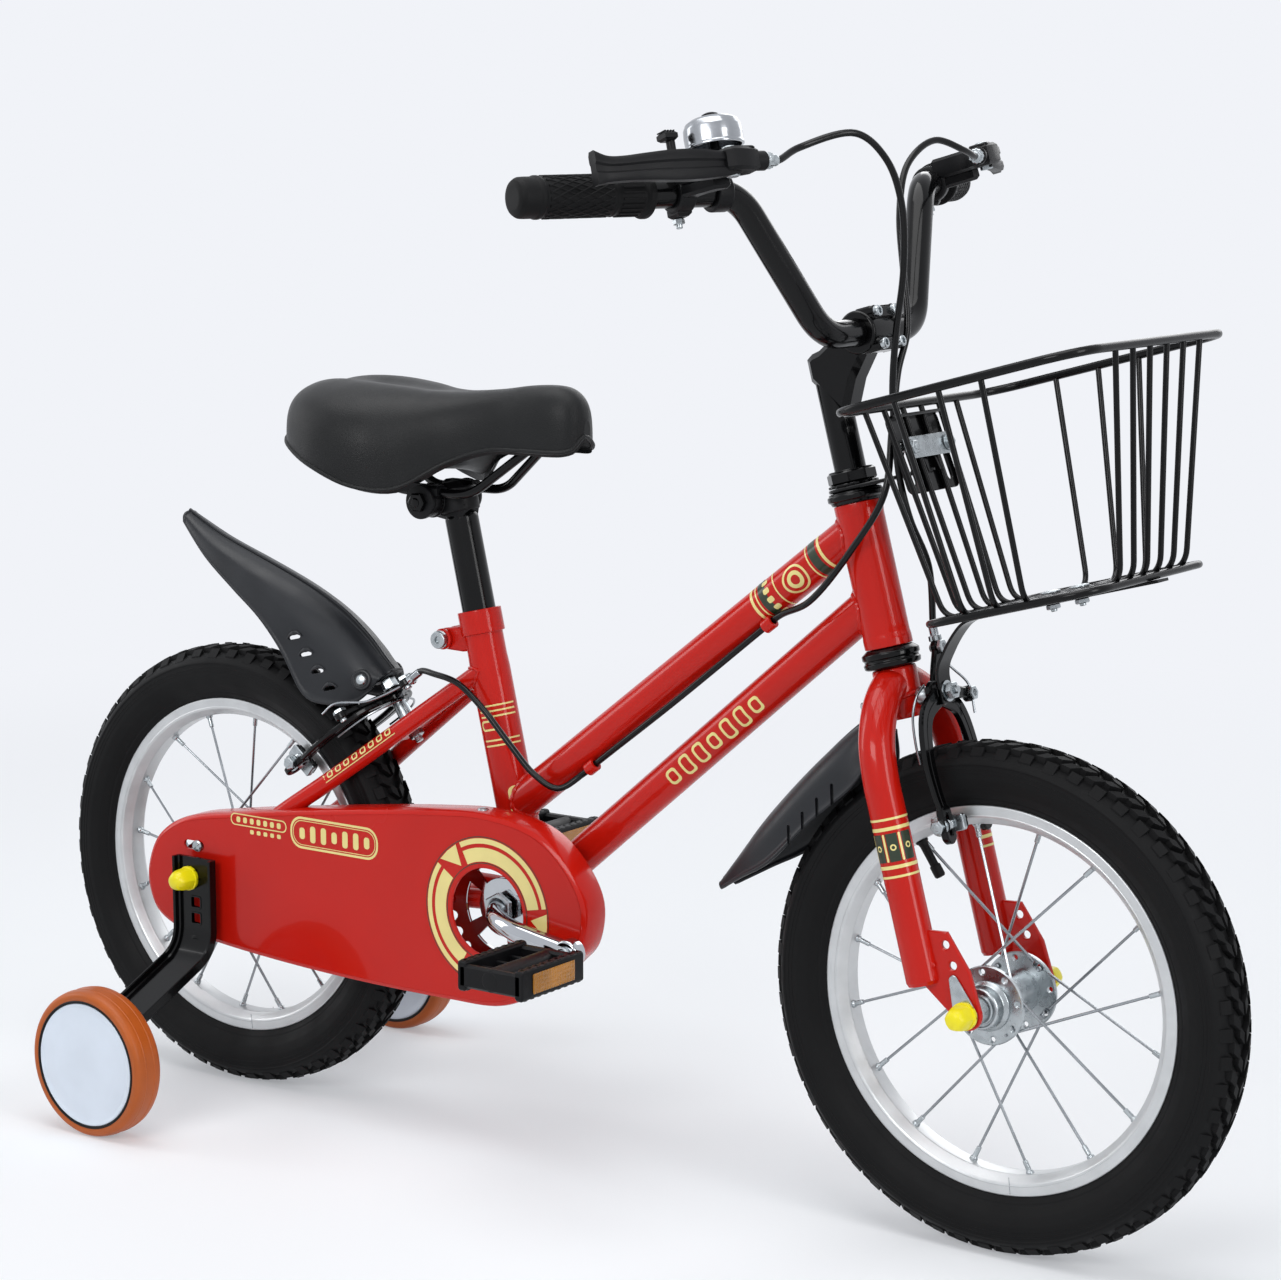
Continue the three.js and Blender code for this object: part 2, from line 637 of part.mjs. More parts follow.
function guardTab() {
  return block(
    at(tabCentre.x - guardScrew.tabHalf, -guardScrew.side - guardScrew.tabOut, tabTop - guardScrew.tabThick),
    at(tabCentre.x + guardScrew.tabHalf, 0, tabTop));
}

function guardScrewHole() {
  const low = onAxle(tabCentre, -guardScrew.side).setZ(tabTop - guardScrew.tabThick);
  return bore(low, low.clone().setZ(tabTop), guardScrew.radius, tubeSides);
}

function frameBody() {
  const outer = join(
    rod(...topTube, tube.top), rod(...downTube, tube.down),
    rod(onHead(0), onHead(headTubeLength), tube.head),
    rod(crankCentre, onSeat(seatTubeLength - 2 * clampEar.drop), tube.seat),
    rod(onSeat(seatTubeLength - 3 * clampEar.drop), onSeat(seatTubeLength), tube.seatTop),
    crossBar(crankCentre, -shell.half, shell.half, shell.radius),
    seatCluster(), stayBridge(), guardTab(), ...guideShares.map(cableGuide),
    ...ends.flatMap((side) => [seatStay(side), chainStay(side), dropoutPlate(side)]),
  );
  const postDepth = seatPost.insert + seatPost.travel + overrun;
  return cut(outer,
    bore(onHead(0), onHead(headTubeLength), headset.bore - gap),
    crossBore(crankCentre, shell.half, shell.bore - gap),
    bore(onSeat(seatTubeLength - postDepth), onSeat(seatTubeLength), seatPost.radius),
    clampSlot(), crossBore(earCentre, clampEar.half, clampEar.bolt, tubeSides),
    guardScrewHole(), ...guideShares.map(guideHole),
  );
}

function seatClampBolt() {
  const near = clampEar.half + gap;
  const far = near + clampEar.boltHead;
  return join(
    crossBar(earCentre, -far, far, clampEar.bolt, tubeSides),
    crossBar(earCentre, -far, -near, 2 * clampEar.bolt),
    crossBar(earCentre, near, far, 2 * clampEar.bolt, nutSides));
}

// Headset rings sit on the ends of the head tube round the steerer: shares of their radius and height.
const lowerCupShares = [[0.95, 0], [1, 0.14], [1, 0.36], [0.85, 0.5], [1, 0.64], [1, 0.86], [0.9, 1]];
const upperCupShares = [[0.9, 0], [1.05, 0.31], [1, 0.54], [0.85, 1]];
const steererTop = headTubeLength + headset.upper + headset.nut + gap;

function headsetRing(shares, low, high, place) {
  const inside = boreRadius(fork.steerer);
  const outside = shares.map(([out, up]) => [out * headset.cup, low + up * (high - low)]);
  return turned(closed([[inside, low], ...outside, [inside, high]]), place, steerUp);
}

const lowerCup = () => headsetRing(lowerCupShares, gap - headset.stack, -gap, onHead(0));
const upperCup = () =>
  headsetRing(upperCupShares, gap, headset.upper - headset.spacer, onHead(headTubeLength));

function locknut() {
  const low = headTubeLength + headset.upper + gap;
  const high = low + headset.nut;
  return cut(upBar(0, 0, low, high, headset.nutRadius, tubeSides), bore(at(0, 0, low), at(0, 0, high), fork.steerer));
}

// Fork and steering

// The bend of one fork blade from its tip to the crown: how far out, and how far down.
const forkShares = [[1, 1], [1, 0.38], [0.9, 0.277], [0.63, 0.183], [0.28, 0.125], [0, 0.107]];
// The outline of a fork tip above the axle, as shares of the fork's offset and the tip's height.
const forkTipShares = [[-0.13, 0.88], [0.5, 1], [0.95, 0.95], [1.3, 0.47]];
const tipNotchShares = [0.05, 0.42];
const tipHoleShares = [[-0.153, 0.81], [-0.081, 0.565]];

function forkTipPlate(low, high) {
  const [x, z] = [steeredAxle.x, steeredAxle.z];
  const place = ([forward, up]) => [forward * forkOffset, z + up * forkTip.height];
  const outline = [
    ...arc(x, z, forkTip.round, Math.PI, 2 * Math.PI, 6),
    ...forkTipShares.map(place).reverse(),
    place(tipNotchShares),
  ];
  const holes = [
    circle(x, z, boreRadius(axle.radius)),
    ...tipHoleShares.map(([back, up]) =>
      circle(x + back * forkOffset, z + up * forkTip.height, forkTip.hole, tubeSides)),
  ];
  return slab(outline, "xz", low, high, holes);
}

function forkBlades() {
  const length = forkReach - forkTip.above;
  const right = forkShares.map(([out, down]) => at(fork.setback * out, -out * fork.spread, -down * length));
  const left = right.slice(0, -1).reverse().map((point) => at(point.x, -point.y, point.z));
  const arch = smooth([...right.slice(1), ...left.slice(0, -1)], 16);
  return wire([right[0], ...arch, left[left.length - 1]], fork.blade, tubeSides);
}

function forkBody() {
  const near = fork.spread - forkTip.thickness / 2;
  const far = fork.spread + forkTip.thickness / 2;
  return cut(
    join(
      upBar(0, 0, -fork.crownDrop, -headset.stack, fork.crown),
      upBar(0, 0, -headset.stack - overrun, steererTop, fork.steerer),
      forkBlades(), forkTipPlate(near, far), forkTipPlate(-far, -near),
    ),
    upBar(0, 0, steererTop - stem.insert - 2 * overrun, steererTop + overrun, boreRadius(stem.quill)),
    bore(at(-fork.crown, 0, -frontBolt.drop), at(fork.crown, 0, -frontBolt.drop), brake.pivot),
  );
}

// The straight end of the bar is as long as the bell, the lever and the grip need. Its direction:
const barEndShares = [-0.3637, 0.9274, 0.0879];
const gripStart = leverClamp.place + leverClamp.width + leverClamp.room;
const barReach = gripStart + grip.length - grip.cover - gap;
const barCentre = at(stem.reach, 0, headTubeLength + stem.clampRise);

function barRoute() {
  const half = (side) => {
    const upper = at(barCentre.x - bar.upperBack, side * bar.upperHalf, barCentre.z + bar.upperRise);
    const [forward, out, up] = barEndShares;
    const end = at(forward, side * out, up).setLength(barReach).add(upper);
    return [at(barCentre.x, side * bar.lowerHalf, barCentre.z), upper, end];
  };
  return [...half(-1).reverse(), ...half(1)];
}

const barTube = (radius) => wire(bent(barRoute(), bar.bend, 3), radius, tubeSides);

function stemBody() {
  const top = headTubeLength + stem.rise;
  const neck = slab([
    [-stem.quill, top - stem.neckBack], [-stem.quill, top + stem.neckEdge], [0, top + stem.neckTop],
    [stem.reach, barCentre.z + stem.clamp - stem.neckEdge],
    [stem.reach, barCentre.z - stem.clamp + stem.neckEdge], [stem.quill, top - stem.neckLow],
  ], "xz", -stem.quill, stem.quill);
  const end = stem.clampWidth / 2;
  const bolts = ends.flatMap((side) => ends.map((up) => longBar(
    side * stemBolt.side, barCentre.z + up * (stem.clamp - stemBolt.sunk),
    barCentre.x, barCentre.x + stem.clamp + stemBolt.proud, stemBolt.radius, nutSides)));
  return cut(
    join(
      upBar(0, 0, steererTop - stem.insert, top, stem.quill), neck, ...bolts,
      crossBar(barCentre, -end, end, stem.clamp),
    ),
    crossBore(barCentre, end, bar.radius),
  );
}

// The frame of the right grip: x along the straight end of the bar from its bend, y forward, z up.
const rightBend = barRoute()[1];
const gripAlong = barRoute()[0].sub(rightBend).normalize();
const gripForward = at(1, 0, 0).addScaledVector(gripAlong, -gripAlong.x).normalize();
const gripFrame = new THREE.Matrix4()
  .makeBasis(gripAlong, gripForward, gripAlong.clone().cross(gripForward))
  .setPosition(rightBend);
const fromGrip = (x, y, z) => at(x, y, z).applyMatrix4(gripFrame);

function gripBody() {
  const inside = boreRadius(bar.radius, tubeSides);
  const end = gripStart + grip.length;
  const bottom = barReach + gap;
  const profile = [
    [0, end], [grip.radius - grip.edge, end], [grip.collar, end - grip.edge],
    [grip.collar, end - grip.collarWidth], [grip.radius, end - grip.collarWidth - grip.step],
    [grip.radius, gripStart + grip.collarWidth + grip.step], [grip.collar, gripStart + grip.collarWidth],
    [grip.collar, gripStart], [inside, gripStart], [inside, bottom], [0, bottom],
  ];
  return moved(turned(profile, at(0, 0, 0), at(1, 0, 0), tubeSides), gripFrame);
}

const pivot = { along: leverClamp.place - lever.back, forward: lever.forward };
const cableEnd = {
  along: pivot.along - ferrule.back, forward: pivot.forward - ferrule.drop, rise: lever.rise,
};
// Outline of the lever bracket: shares of the clamp's width from its start, and of the pivot's distance.
const bracketShares = [
  [0, 0.11], [1, 0.11], [0.7, 0.45], [0.23, 0.86], [0.08, 1.18], [-0.7, 1.25], [-1.92, 1.14], [-1.92, 0.86],
  [-1.15, 0.73], [-0.3, 0.41],
];
// The room for the lever, as shares of its eye's radius from the pivot.
const leverRoomShares = [[-1.38, -1.38], [2.54, -1.38], [2.54, 2.46], [-1.38, 2.46]];

function leverBracket() {
  const half = lever.thick / 2 + gap;
  const low = lever.rise - half - lever.wall;
  const high = lever.rise + half + lever.wall;
  const outline = bracketShares.map(([out, ahead]) =>
    [leverClamp.place + out * leverClamp.width, ahead * pivot.forward]);
  const room = leverRoomShares.map(([out, ahead]) =>
    [pivot.along + out * lever.eye, pivot.forward + ahead * lever.eye]);
  const clampEnd = leverClamp.place + leverClamp.width;
  const socket = [cableEnd.forward, cableEnd.rise, cableEnd.along];
  const made = join(
    cut(
      join(longBar(0, 0, leverClamp.place, clampEnd, leverClamp.radius), slab(outline, "xy", low, high)),
      slab(room, "xy", lever.rise - half, lever.rise + half),
    ),
    upBar(pivot.along, pivot.forward, low, high, lever.pin, tubeSides),
    longBar(...socket, cableEnd.along + ferrule.length, ferrule.radius),
  );
  const seat = at(cableEnd.along, cableEnd.forward, cableEnd.rise);
  const hollow = bore(seat, seat.clone().add(at(ferrule.seat, 0, 0)), cable.radius, tubeSides);
  return cut(moved(made, gripFrame), barTube(bar.radius + gap), moved(hollow, gripFrame));
}

// The lever's middle line: shares of its length from the pivot, and of the pivot's distance from the bar.
const leverShares = [[-0.03, 1.023], [0.293, 1.068], [0.646, 1], [0.909, 0.864], [1, 0.886]];

function leverBlade() {
  const low = lever.rise - lever.thick / 2;
  const high = lever.rise + lever.thick / 2;
  const line = leverShares.map(([out, ahead]) => [pivot.along + out * lever.length, ahead * pivot.forward]);
  const eye = upBar(pivot.along, pivot.forward, low, high, lever.eye);
  const hole = bore(at(pivot.along, pivot.forward, low), at(pivot.along, pivot.forward, high), lever.pin, tubeSides);
  return moved(cut(join(slab(ribbon(line, lever.blade), "xy", low, high), eye), hole), gripFrame);
}

const bellPin = bell.along + bellBase.pinOut;
const bellTop = bell.low + bell.height;

function bellMount() {
  const { bandHalf, top } = bellBase;
  const arm = oblong([bell.along, 0, bellBase.armRadius], [bellPin, 0, bellBase.pinRound], 5);
  const body = join(
    longBar(0, 0, bell.along - bandHalf, bell.along + bandHalf, leverClamp.radius),
    block(at(bell.along - bandHalf, -bellBase.back, 0), at(bell.along + bandHalf, bellBase.front, top)),
    upBar(bell.along, bell.forward, top - bellBase.sunk, top + bellBase.bossRise, bellBase.boss, tubeSides),
    upBar(bell.along, bell.forward, top, bellTop - bell.wall - gap, bellBase.post, tubeSides),
    slab(arm, "xy", top - bellBase.plate, top),
    upBar(bellPin, 0, top - bellBase.sunk, top + bellBase.pinRise, bellBase.pin, tubeSides),
  );
  return cut(moved(body, gripFrame), barTube(bar.radius + gap));
}

// Profile of the dome outside, as shares of its radius and height.
const domeShares = [[1, 0], [1, 0.5], [0.9, 0.82], [0.55, 1], [0, 1]];

function bellDome() {
  const shell = (wall) =>
    domeShares.map(([out, up]) => [out * (bell.radius - wall), bell.low + up * (bell.height - wall)]);
  const profile = [...shell(0).reverse(), ...shell(bell.wall)];
  const button = upBar(
    bell.along, bell.forward, bellTop - bellButton.sunk, bellTop + bellButton.proud, bellButton.radius);
  const dome = turned(profile, at(bell.along, bell.forward, 0), at(0, 0, 1));
  return moved(join(dome, button), gripFrame);
}

function bellThumb() {
  const low = bellBase.top + gap;
  const tip = bell.along + thumb.out;
  const arm = slab(oblong([bellPin, 0, thumb.wide], [tip, 0, thumb.narrow], 5), "xy", low, low + thumb.thick);
  const post = block(
    at(tip - thumb.back, -thumb.half, low), at(tip + thumb.front, thumb.half, low + thumb.rise));
  const knob = block(
    at(tip - thumb.back, -thumb.knobHalf, low + thumb.rise),
    at(tip + thumb.knobFront, thumb.knobHalf, low + thumb.knobTop));
  const hole = bore(at(bellPin, 0, low), at(bellPin, 0, low + thumb.thick), bellBase.pin, tubeSides);
  return moved(cut(join(arm, post, knob), hole), gripFrame);
}

// Basket

const basketRise = headTubeLength + basket.above;
const floorRise = basketRise - basket.depth;
const rimCentre = basket.length / 2 + basket.ahead;
const floorCentre = rimCentre - basketFloor.back;

function wireLoop(centre, rise, size, radius) {
  const loop = (out) =>
    roundedRectangle(centre, 0, size.length + 2 * out, size.width + 2 * out, size.corner + out);
  return slab(loop(radius), "xy", rise - radius, rise + radius, [loop(-radius)]);
}

// Places of the cross wires along the basket from its middle.
const crossWireShares = [-0.22, -0.042, 0.126];

function basketBody() {
  const bodies = [
    wireLoop(rimCentre, basketRise, basket, basket.rimWire),
    wireLoop(floorCentre, floorRise, basketFloor, basketFloor.wire),
  ];
  const hung = (rims, floors) =>
    wire(bent([rims[0], floors[0], floors[1], rims[1]], basketFloor.bend, 1), basket.wire);
  for (let i = 0; i < longWires.count; i++) {
    const side = (i - (longWires.count - 1) / 2) * longWires.pitch;
    const low = (side * basketFloor.width) / basket.width;
    bodies.push(hung(
      ends.map((end) => at(rimCentre + (end * basket.length) / 2, side, basketRise)),
      ends.map((end) => at(floorCentre + (end * basketFloor.length) / 2, low, floorRise))));
  }
  for (const share of crossWireShares) {
    bodies.push(hung(
      ends.map((end) => at(rimCentre + share * basket.length, (end * basket.width) / 2, basketRise)),
      ends.map((end) => at(floorCentre + share * basketFloor.length, (end * basketFloor.width) / 2, floorRise))));
  }
  return join(...bodies);
}

// Where the rear wires' centre line is at a height.
const rearWire = (rise) => {
  const top = rimCentre - basket.length / 2;
  const bottom = floorCentre - basketFloor.length / 2;
  return top + ((bottom - top) * (basketRise - rise)) / basket.depth;
};

function alongWires(low, high, offset, thick, half) {
  const line = [low, high].map((rise) => [rearWire(rise) + offset, rise]);
  return slab(ribbon(line, thick), "xz", -half, half);
}

// The slotted plate behind the rear wires and its arm to the headset.
function basketBracket() {
  const offset = -(basket.wire + gap + backPlate.thick / 2);
  const low = headTubeLength - backPlate.below;
  const plate = alongWires(low, headTubeLength + backPlate.above, offset, backPlate.thick, backPlate.half);
  const slots = ends.map((side) => {
    const middle = side * backPlate.slotSide;
    return block(
      at(-basket.length, middle - backPlate.slotHalf, headTubeLength + backPlate.slotLow),
      at(basket.length, middle + backPlate.slotHalf, headTubeLength + backPlate.slotHigh));
  });
  const armLow = headTubeLength + headset.upper - headset.spacer + gap;
  const armHigh = armLow + carrierArm.thick;
  const arm = block(at(0, -carrierArm.half, armLow), at(rearWire(armLow) + offset, carrierArm.half, armHigh));
  const ring = upBar(0, 0, armLow, armHigh, carrierArm.ring);
  return cut(join(arm, ring, cut(plate, ...slots)), bore(at(0, 0, armLow), at(0, 0, armHigh), fork.steerer));
}

// The chrome strip inside the rear wires, drawn to the plate by two screws.
function basketStrip() {
  const rise = headTubeLength + strip.above;
  const offset = basket.wire + gap + strip.thick / 2;
  const low = rise - strip.height / 2;
  const front = rearWire(rise) + offset;
  const back = rearWire(rise) - basket.wire - 2 * gap - backPlate.thick - strip.back;
  const screws = ends.flatMap((side) => {
    const across = side * backPlate.slotSide;
    return [
      longBar(across, rise, back - strip.nutDeep, front + strip.head, strip.screw, tubeSides),
      longBar(across, rise, back - strip.nutDeep, back, strip.nut, nutSides),
      longBar(across, rise, front, front + strip.head, strip.nutDeep, tubeSides),
    ];
  });
  return join(alongWires(low, low + strip.height, offset, strip.thick, strip.half), ...screws);
}

const armsEnd = brake.plane + 2 * brake.thick + 3 * gap;

// The strip from the front brake's bolt to the basket's floor, with its two screws.
function basketStay() {
  const high = floorRise - basketFloor.wire - gap - stayStrip.thick / 2;
  const x = armsEnd + stayStrip.thick / 2;
  const line = [
    [x, -frontBolt.drop - stayStrip.half], [x, -stayStrip.kink], [stayStrip.middle, -stayStrip.middleDrop],
    [stayStrip.floorBack, high], [stayStrip.front, high],
  ];
  const stay = slab(ribbon(line, stayStrip.thick), "xz", -stayStrip.half, stayStrip.half);
  const hole = bore(at(armsEnd, 0, -frontBolt.drop), at(armsEnd + stayStrip.thick, 0, -frontBolt.drop), brake.pivot);
  const wireTop = floorRise + basket.wire + gap;
  const screws = crossWireShares.slice(1).flatMap((share) => {
    const place = floorCentre + share * basketFloor.length - 2 * basket.wire - stayScrew.back;
    return [
      upBar(place, 0, high - stayScrew.below, wireTop + stayScrew.proud, stayScrew.radius, tubeSides),
      upBar(place, 0, high - stayScrew.nutDeep, high, stayScrew.nut, nutSides),
      upBar(place, 0, wireTop, wireTop + stayScrew.washerThick, stayScrew.washer),
    ];
  });
  return cut(join(stay, ...screws), hole);
}

// Brakes. In a brake's own frame x is along the centre bolt, z away from the pads, y across.

function brakeFrame(origin, boltAxis, away) {
  return new THREE.Matrix4().makeBasis(boltAxis, away.clone().cross(boltAxis), away).setPosition(origin);
}

const armMiddle = brake.plane + brake.thick + gap / 2;
const frontBrakeFrame = brakeFrame(at(0, 0, -frontBolt.drop), at(1, 0, 0), at(0, 0, 1));
const rearBrakeFrame = brakeFrame(onStays(bridge.down, 0, 0), stayNormal, staySlope.clone().negate());

// How far below the centre bolt the pads meet the rim's brake track, and how they turn to follow it.
function padPlace(frame, wheelCentre) {
  const radius = rim.radius - rim.track / 2 - brakePad.inset;
  const hubPlace = wheelCentre.clone().applyMatrix4(frame.clone().invert());
  const beside = armMiddle - hubPlace.x;
  const reach = -hubPlace.z - Math.sqrt(radius * radius - beside * beside);
  return { reach, turn: Math.atan2(beside, -reach - hubPlace.z) };
}

const frontPads = padPlace(frontBrakeFrame, steeredAxle);
const rearPads = padPlace(rearBrakeFrame, rearAxle);

// Points of an arm in shares of how far out it bows: from the bolt down, then up from the pad.
const armShares = [[0, 0], [0.735, 0.382], [1, 1.176]];
const armLowShares = [0.97, 0.706];
const armTipShare = 0.853;
// Where the cable holds each arm, across and up from the bolt, in the same shares.
const frontAnchorShares = { pinch: [1, -0.176], barrel: [0.47, 0.882] };
const rearAnchorShares = { pinch: [1.088, -0.765], barrel: [0.47, 0.824] };
const anchorPlace = (share) => share.map((part) => part * brake.out);

function padBlock(place, side) {
  const near = rim.width / 2 + brakePad.clearance;
  const middle = side * (near + brakePad.thick / 2);
  const half = at(brakePad.length / 2, brakePad.thick / 2, brakePad.height / 2);
  const turn = new THREE.Matrix4().makeRotationY(place.turn).setPosition(armMiddle, middle, -place.reach);
  const centre = at(armMiddle, 0, -place.reach);
  return join(
    moved(block(half.clone().negate(), half), turn),
    crossBar(centre, side * (near + brakePad.boltSunk), side * (near + brakePad.boltEnd), brakePad.bolt, nutSides));
}

// One arm: side is where its pad is, anchor where the cable holds it.
function brakeArm(frame, layer, side, place, anchor) {
  const low = brake.plane + layer * (brake.thick + gap);
  const high = low + brake.thick;
  const line = [
    ...armShares.map(([out, down]) => [side * out * brake.out, -down * brake.out]),
    [side * armLowShares[0] * brake.out, armLowShares[1] * brake.out - place.reach],
    [side * armTipShare * brake.out, -place.reach - brakePad.height],
  ];
  const hold = anchorPlace(anchor);
  return moved(cut(
    join(
      slab(ribbon(line, brake.width), "yz", low, high),
      slab(ribbon([[0, 0], hold], brake.tail), "yz", low, high),
      longBar(...hold, low, high + brake.anchorProud * layer, brake.anchor, tubeSides),
      longBar(0, 0, low, high, brake.width, tubeSides), padBlock(place, side),
    ),
    bore(at(low, 0, 0), at(high, 0, 0), brake.pivot)), frame);
}

function brakeBolt(frame, seat, nut, headStart, headEnd, end) {
  return moved(join(
    longBar(0, 0, nut - brake.nutEnd, end, brake.pivot),
    longBar(0, 0, seat, brake.plane - gap, 2 * brake.pivot),
    longBar(0, 0, nut - brake.nut, nut, 2 * brake.pivot, nutSides),
    longBar(0, 0, headStart, headEnd, 2 * brake.pivot, nutSides),
  ), frame);
}

const rearTongueSeat = armsEnd + brake.rearHead;

function frontBrakeBolt() {
  const nut = -fork.crown - 3 * gap - mudguard.thick;
  const head = armsEnd + stayStrip.thick + gap;
  return brakeBolt(frontBrakeFrame, fork.crown + gap, nut, head, head + brake.head,
    head + brake.head + brake.headProud);
}

function rearBrakeBolt() {
  const plate = bridge.thick / 2 + gap;
  return brakeBolt(rearBrakeFrame, plate, -plate, armsEnd, rearTongueSeat, rearTongueSeat);
}

// Mudguards

// Half of the arch across a mudguard: how far out, and how far down its side.
const archShares = [[-1, 1], [-0.85, 0.32], [-0.4, 0.03], [0.4, 0.03], [0.85, 0.32], [1, 1]];

// A deep arched strip. Each row gives the ridge, the foot of the arch and its half width.
function archedStrip(rows) {
  return loft(rows.map(([ridgeX, ridgeZ, footX, footZ, half]) => {
    const ridge = at(ridgeX, 0, ridgeZ);
    const drop = at(footX - ridgeX, 0, footZ - ridgeZ);
    const deep = drop.length();
    drop.normalize();
    const outline = ribbon(archShares.map(([out, down]) => [out * half, down * deep]), mudguard.thick);
    return outline.map(([across, down]) => ridge.clone().addScaledVector(drop, down).add(at(0, across, 0)));
  }));
}

function slotCut(x, z, length, height, half) {
  return block(at(x - length / 2, -half, z - height / 2), at(x + length / 2, half, z + height / 2));
}

// Rows of the rear mudguard: ridge and foot as shares of its length and height, then its half width.
const rearMudguardShares = [
  [0.972, 0.2, 0.935, 0.12, 0.6],
  [0.93, 0.26, 0.87, 0.03, 0.85],
  [0.86, 0.37, 0.77, 0.01, 0.97],
  [0.76, 0.49, 0.655, 0.05, 1],
  [0.64, 0.59, 0.555, 0.28, 1],
  [0.5, 0.68, 0.445, 0.46, 0.96],
  [0.34, 0.77, 0.305, 0.61, 0.85],
  [0.157, 0.875, 0.148, 0.77, 0.63],
  [0, 1, 0.005, 0.95, 0.3],
];
const rearSlotShares = [[0.612, 0.37], [0.665, 0.28], [0.72, 0.19], [0.775, 0.1]];

function rearMudguardBody() {
  const low = rearAxle.z + wheelRadius - rearMudguard.sink;
  const place = (forward, up) =>
    [rearAxle.x - rearMudguard.back + forward * rearMudguard.length, low + up * rearMudguard.height];
  const rows = rearMudguardShares.map(([rx, rz, fx, fz, out]) =>
    [...place(rx, rz), ...place(fx, fz), out * rearMudguard.half]);
  const slots = rearSlotShares.map(([forward, up]) =>
    slotCut(...place(forward, up), slot.rearLength, slot.width, 2 * rearMudguard.half));
  const near = rearTongueSeat + gap;
  const far = near + mudguard.thick;
  const tongue = slab([
    [near, -rearMudguard.tongueBack], [near, rearMudguard.tongueFront],
    [far, rearMudguard.tongueFront], [far, -rearMudguard.tongueBack],
  ], "xz", -rearMudguard.tongueHalf, rearMudguard.tongueHalf);
  return join(cut(archedStrip(rows), ...slots), moved(tongue, rearBrakeFrame));
}

// Rows of the front mudguard behind the fork, in the same way. The first is at the crown.
const frontMudguardShares = [
  [0.208, 0.051, 0.191, 0.394, 0.871],
  [0.421, 0.253, 0.421, 0.606, 1],
  [0.674, 0.535, 0.652, 0.838, 0.935],
  [0.871, 0.798, 0.843, 0.929, 0.645],
  [1, 0.96, 0.989, 1, 0.29],
];
const crownRowShares = { foot: 0.111, half: 0.387 };
const frontSlotFallShare = 0.55;

function frontMudguardBody() {
  const { length, height, half, drop } = frontMudguard;
  const face = -fork.crown - gap - mudguard.thick / 2;
  const rows = [
    [face, -drop, face, -drop - crownRowShares.foot * height, crownRowShares.half * half],
    ...frontMudguardShares.map(([rx, rz, fx, fz, out]) =>
      [-rx * length, -drop - rz * height, -fx * length, -drop - fz * height, out * half]),
  ];
  const slots = [];
  for (let i = 0; i < slot.count; i++) {
    const back = i * slot.frontPitch;
    slots.push(slotCut(-slot.frontAhead - back, -slot.frontDrop - back * frontSlotFallShare,
      slot.width, slot.frontLength, 2 * half));
  }
  const near = face - mudguard.thick / 2;
  const tongue = block(
    at(near, -mudguard.tongueHalf, -mudguard.tongueLow),
    at(near + mudguard.thick, mudguard.tongueHalf, -mudguard.tongueHigh));
  const hole = bore(at(near, 0, -frontBolt.drop), at(near + mudguard.thick, 0, -frontBolt.drop), brake.pivot);
  return cut(join(cut(archedStrip(rows), ...slots), tongue), hole);
}

// Axles, nuts and caps

function axleBody(centre, nuts) {
  const end = nuts[nuts.length - 1][1] + axle.nutWidth / 2;
  const sleeves = ends.flatMap((side) =>
    nuts.map(([near, far]) => crossBar(centre, side * near, side * far, axle.nut, nutSides)));
  return join(crossBar(centre, -end, end, axle.radius), ...sleeves);
}

function capBody(centre, start, side) {
  const inside = boreRadius(axle.nut, tubeSides);
  const hole = boreRadius(axle.radius, tubeSides);
  const step = start + axle.nutWidth + gap;
  const bottom = step + axle.nutWidth / 2;
  const end = start + cap.length;
  const profile = [
    [cap.radius, start], [cap.radius, start + cap.mouth], [cap.tip + cap.edge, end - cap.edge],
    [cap.tip - cap.edge, end], [0, end], [0, bottom], [hole, bottom], [hole, step], [inside, step],
    [inside, start],
  ].map(([radius, place]) => [radius, side * place]);
  return turned(closed(profile), centre, at(0, 1, 0), tubeSides);
}

const frontNut = fork.spread + forkTip.thickness / 2 + gap;
const rearSpacer = dropout.inner + dropout.thickness + gap;
const rearNut = bracket.outer + bracket.thickness + gap;
const frontNuts = [[frontNut, frontNut + axle.nutWidth]];
const rearNuts = [[guard.outer + gap, bracket.outer - gap], [rearNut, rearNut + axle.nutWidth]];

// Chain guard

// Outline of the guard from the rear of its lower edge round the front, as shares of its length and height.
const guardLowerShares = [
  [0, 0.31], [0.02, 0.18], [0.076, 0.095], [0.174, 0.054], [0.42, 0.007], [0.7, 0], [0.82, 0.02], [0.9, 0.13],
  [0.96, 0.29], [0.99, 0.39],
];
const guardUpperShares = [
  [0, 0.42], [0.025, 0.59], [0.083, 0.71], [0.21, 0.79], [0.4, 0.875], [0.66, 0.975], [0.79, 1], [0.9, 0.94],
  [0.965, 0.79], [1, 0.6],
];
const guardLength = guard.behind + crankForward + guard.ahead;
const guardHeight = guard.above + guard.below;

function guardLoop(inset, side) {
  const low = [rearAxle.x - guard.behind + inset, crankCentre.z - guard.below + inset];
  const place = ([forward, up]) => at(
    low[0] + forward * (guardLength - 2 * inset), -side, low[1] + up * (guardHeight - 2 * inset));
  return [...guardLowerShares.map(place), ...guardUpperShares.map(place).reverse()];
}

// The guard's shell: its rim, its bevelled edge and its face, hollow towards the chain.
function guardShell() {
  const { outer, wall, bevel } = guard;
  const open = outer - guard.depth;
  const face = outer - wall;
  return cut(
    loft([guardLoop(bevel, outer), guardLoop(0, outer - bevel), guardLoop(0, open)]),
    loft([guardLoop(wall + bevel, face), guardLoop(wall, face - bevel), guardLoop(wall, open - overrun)]));
}

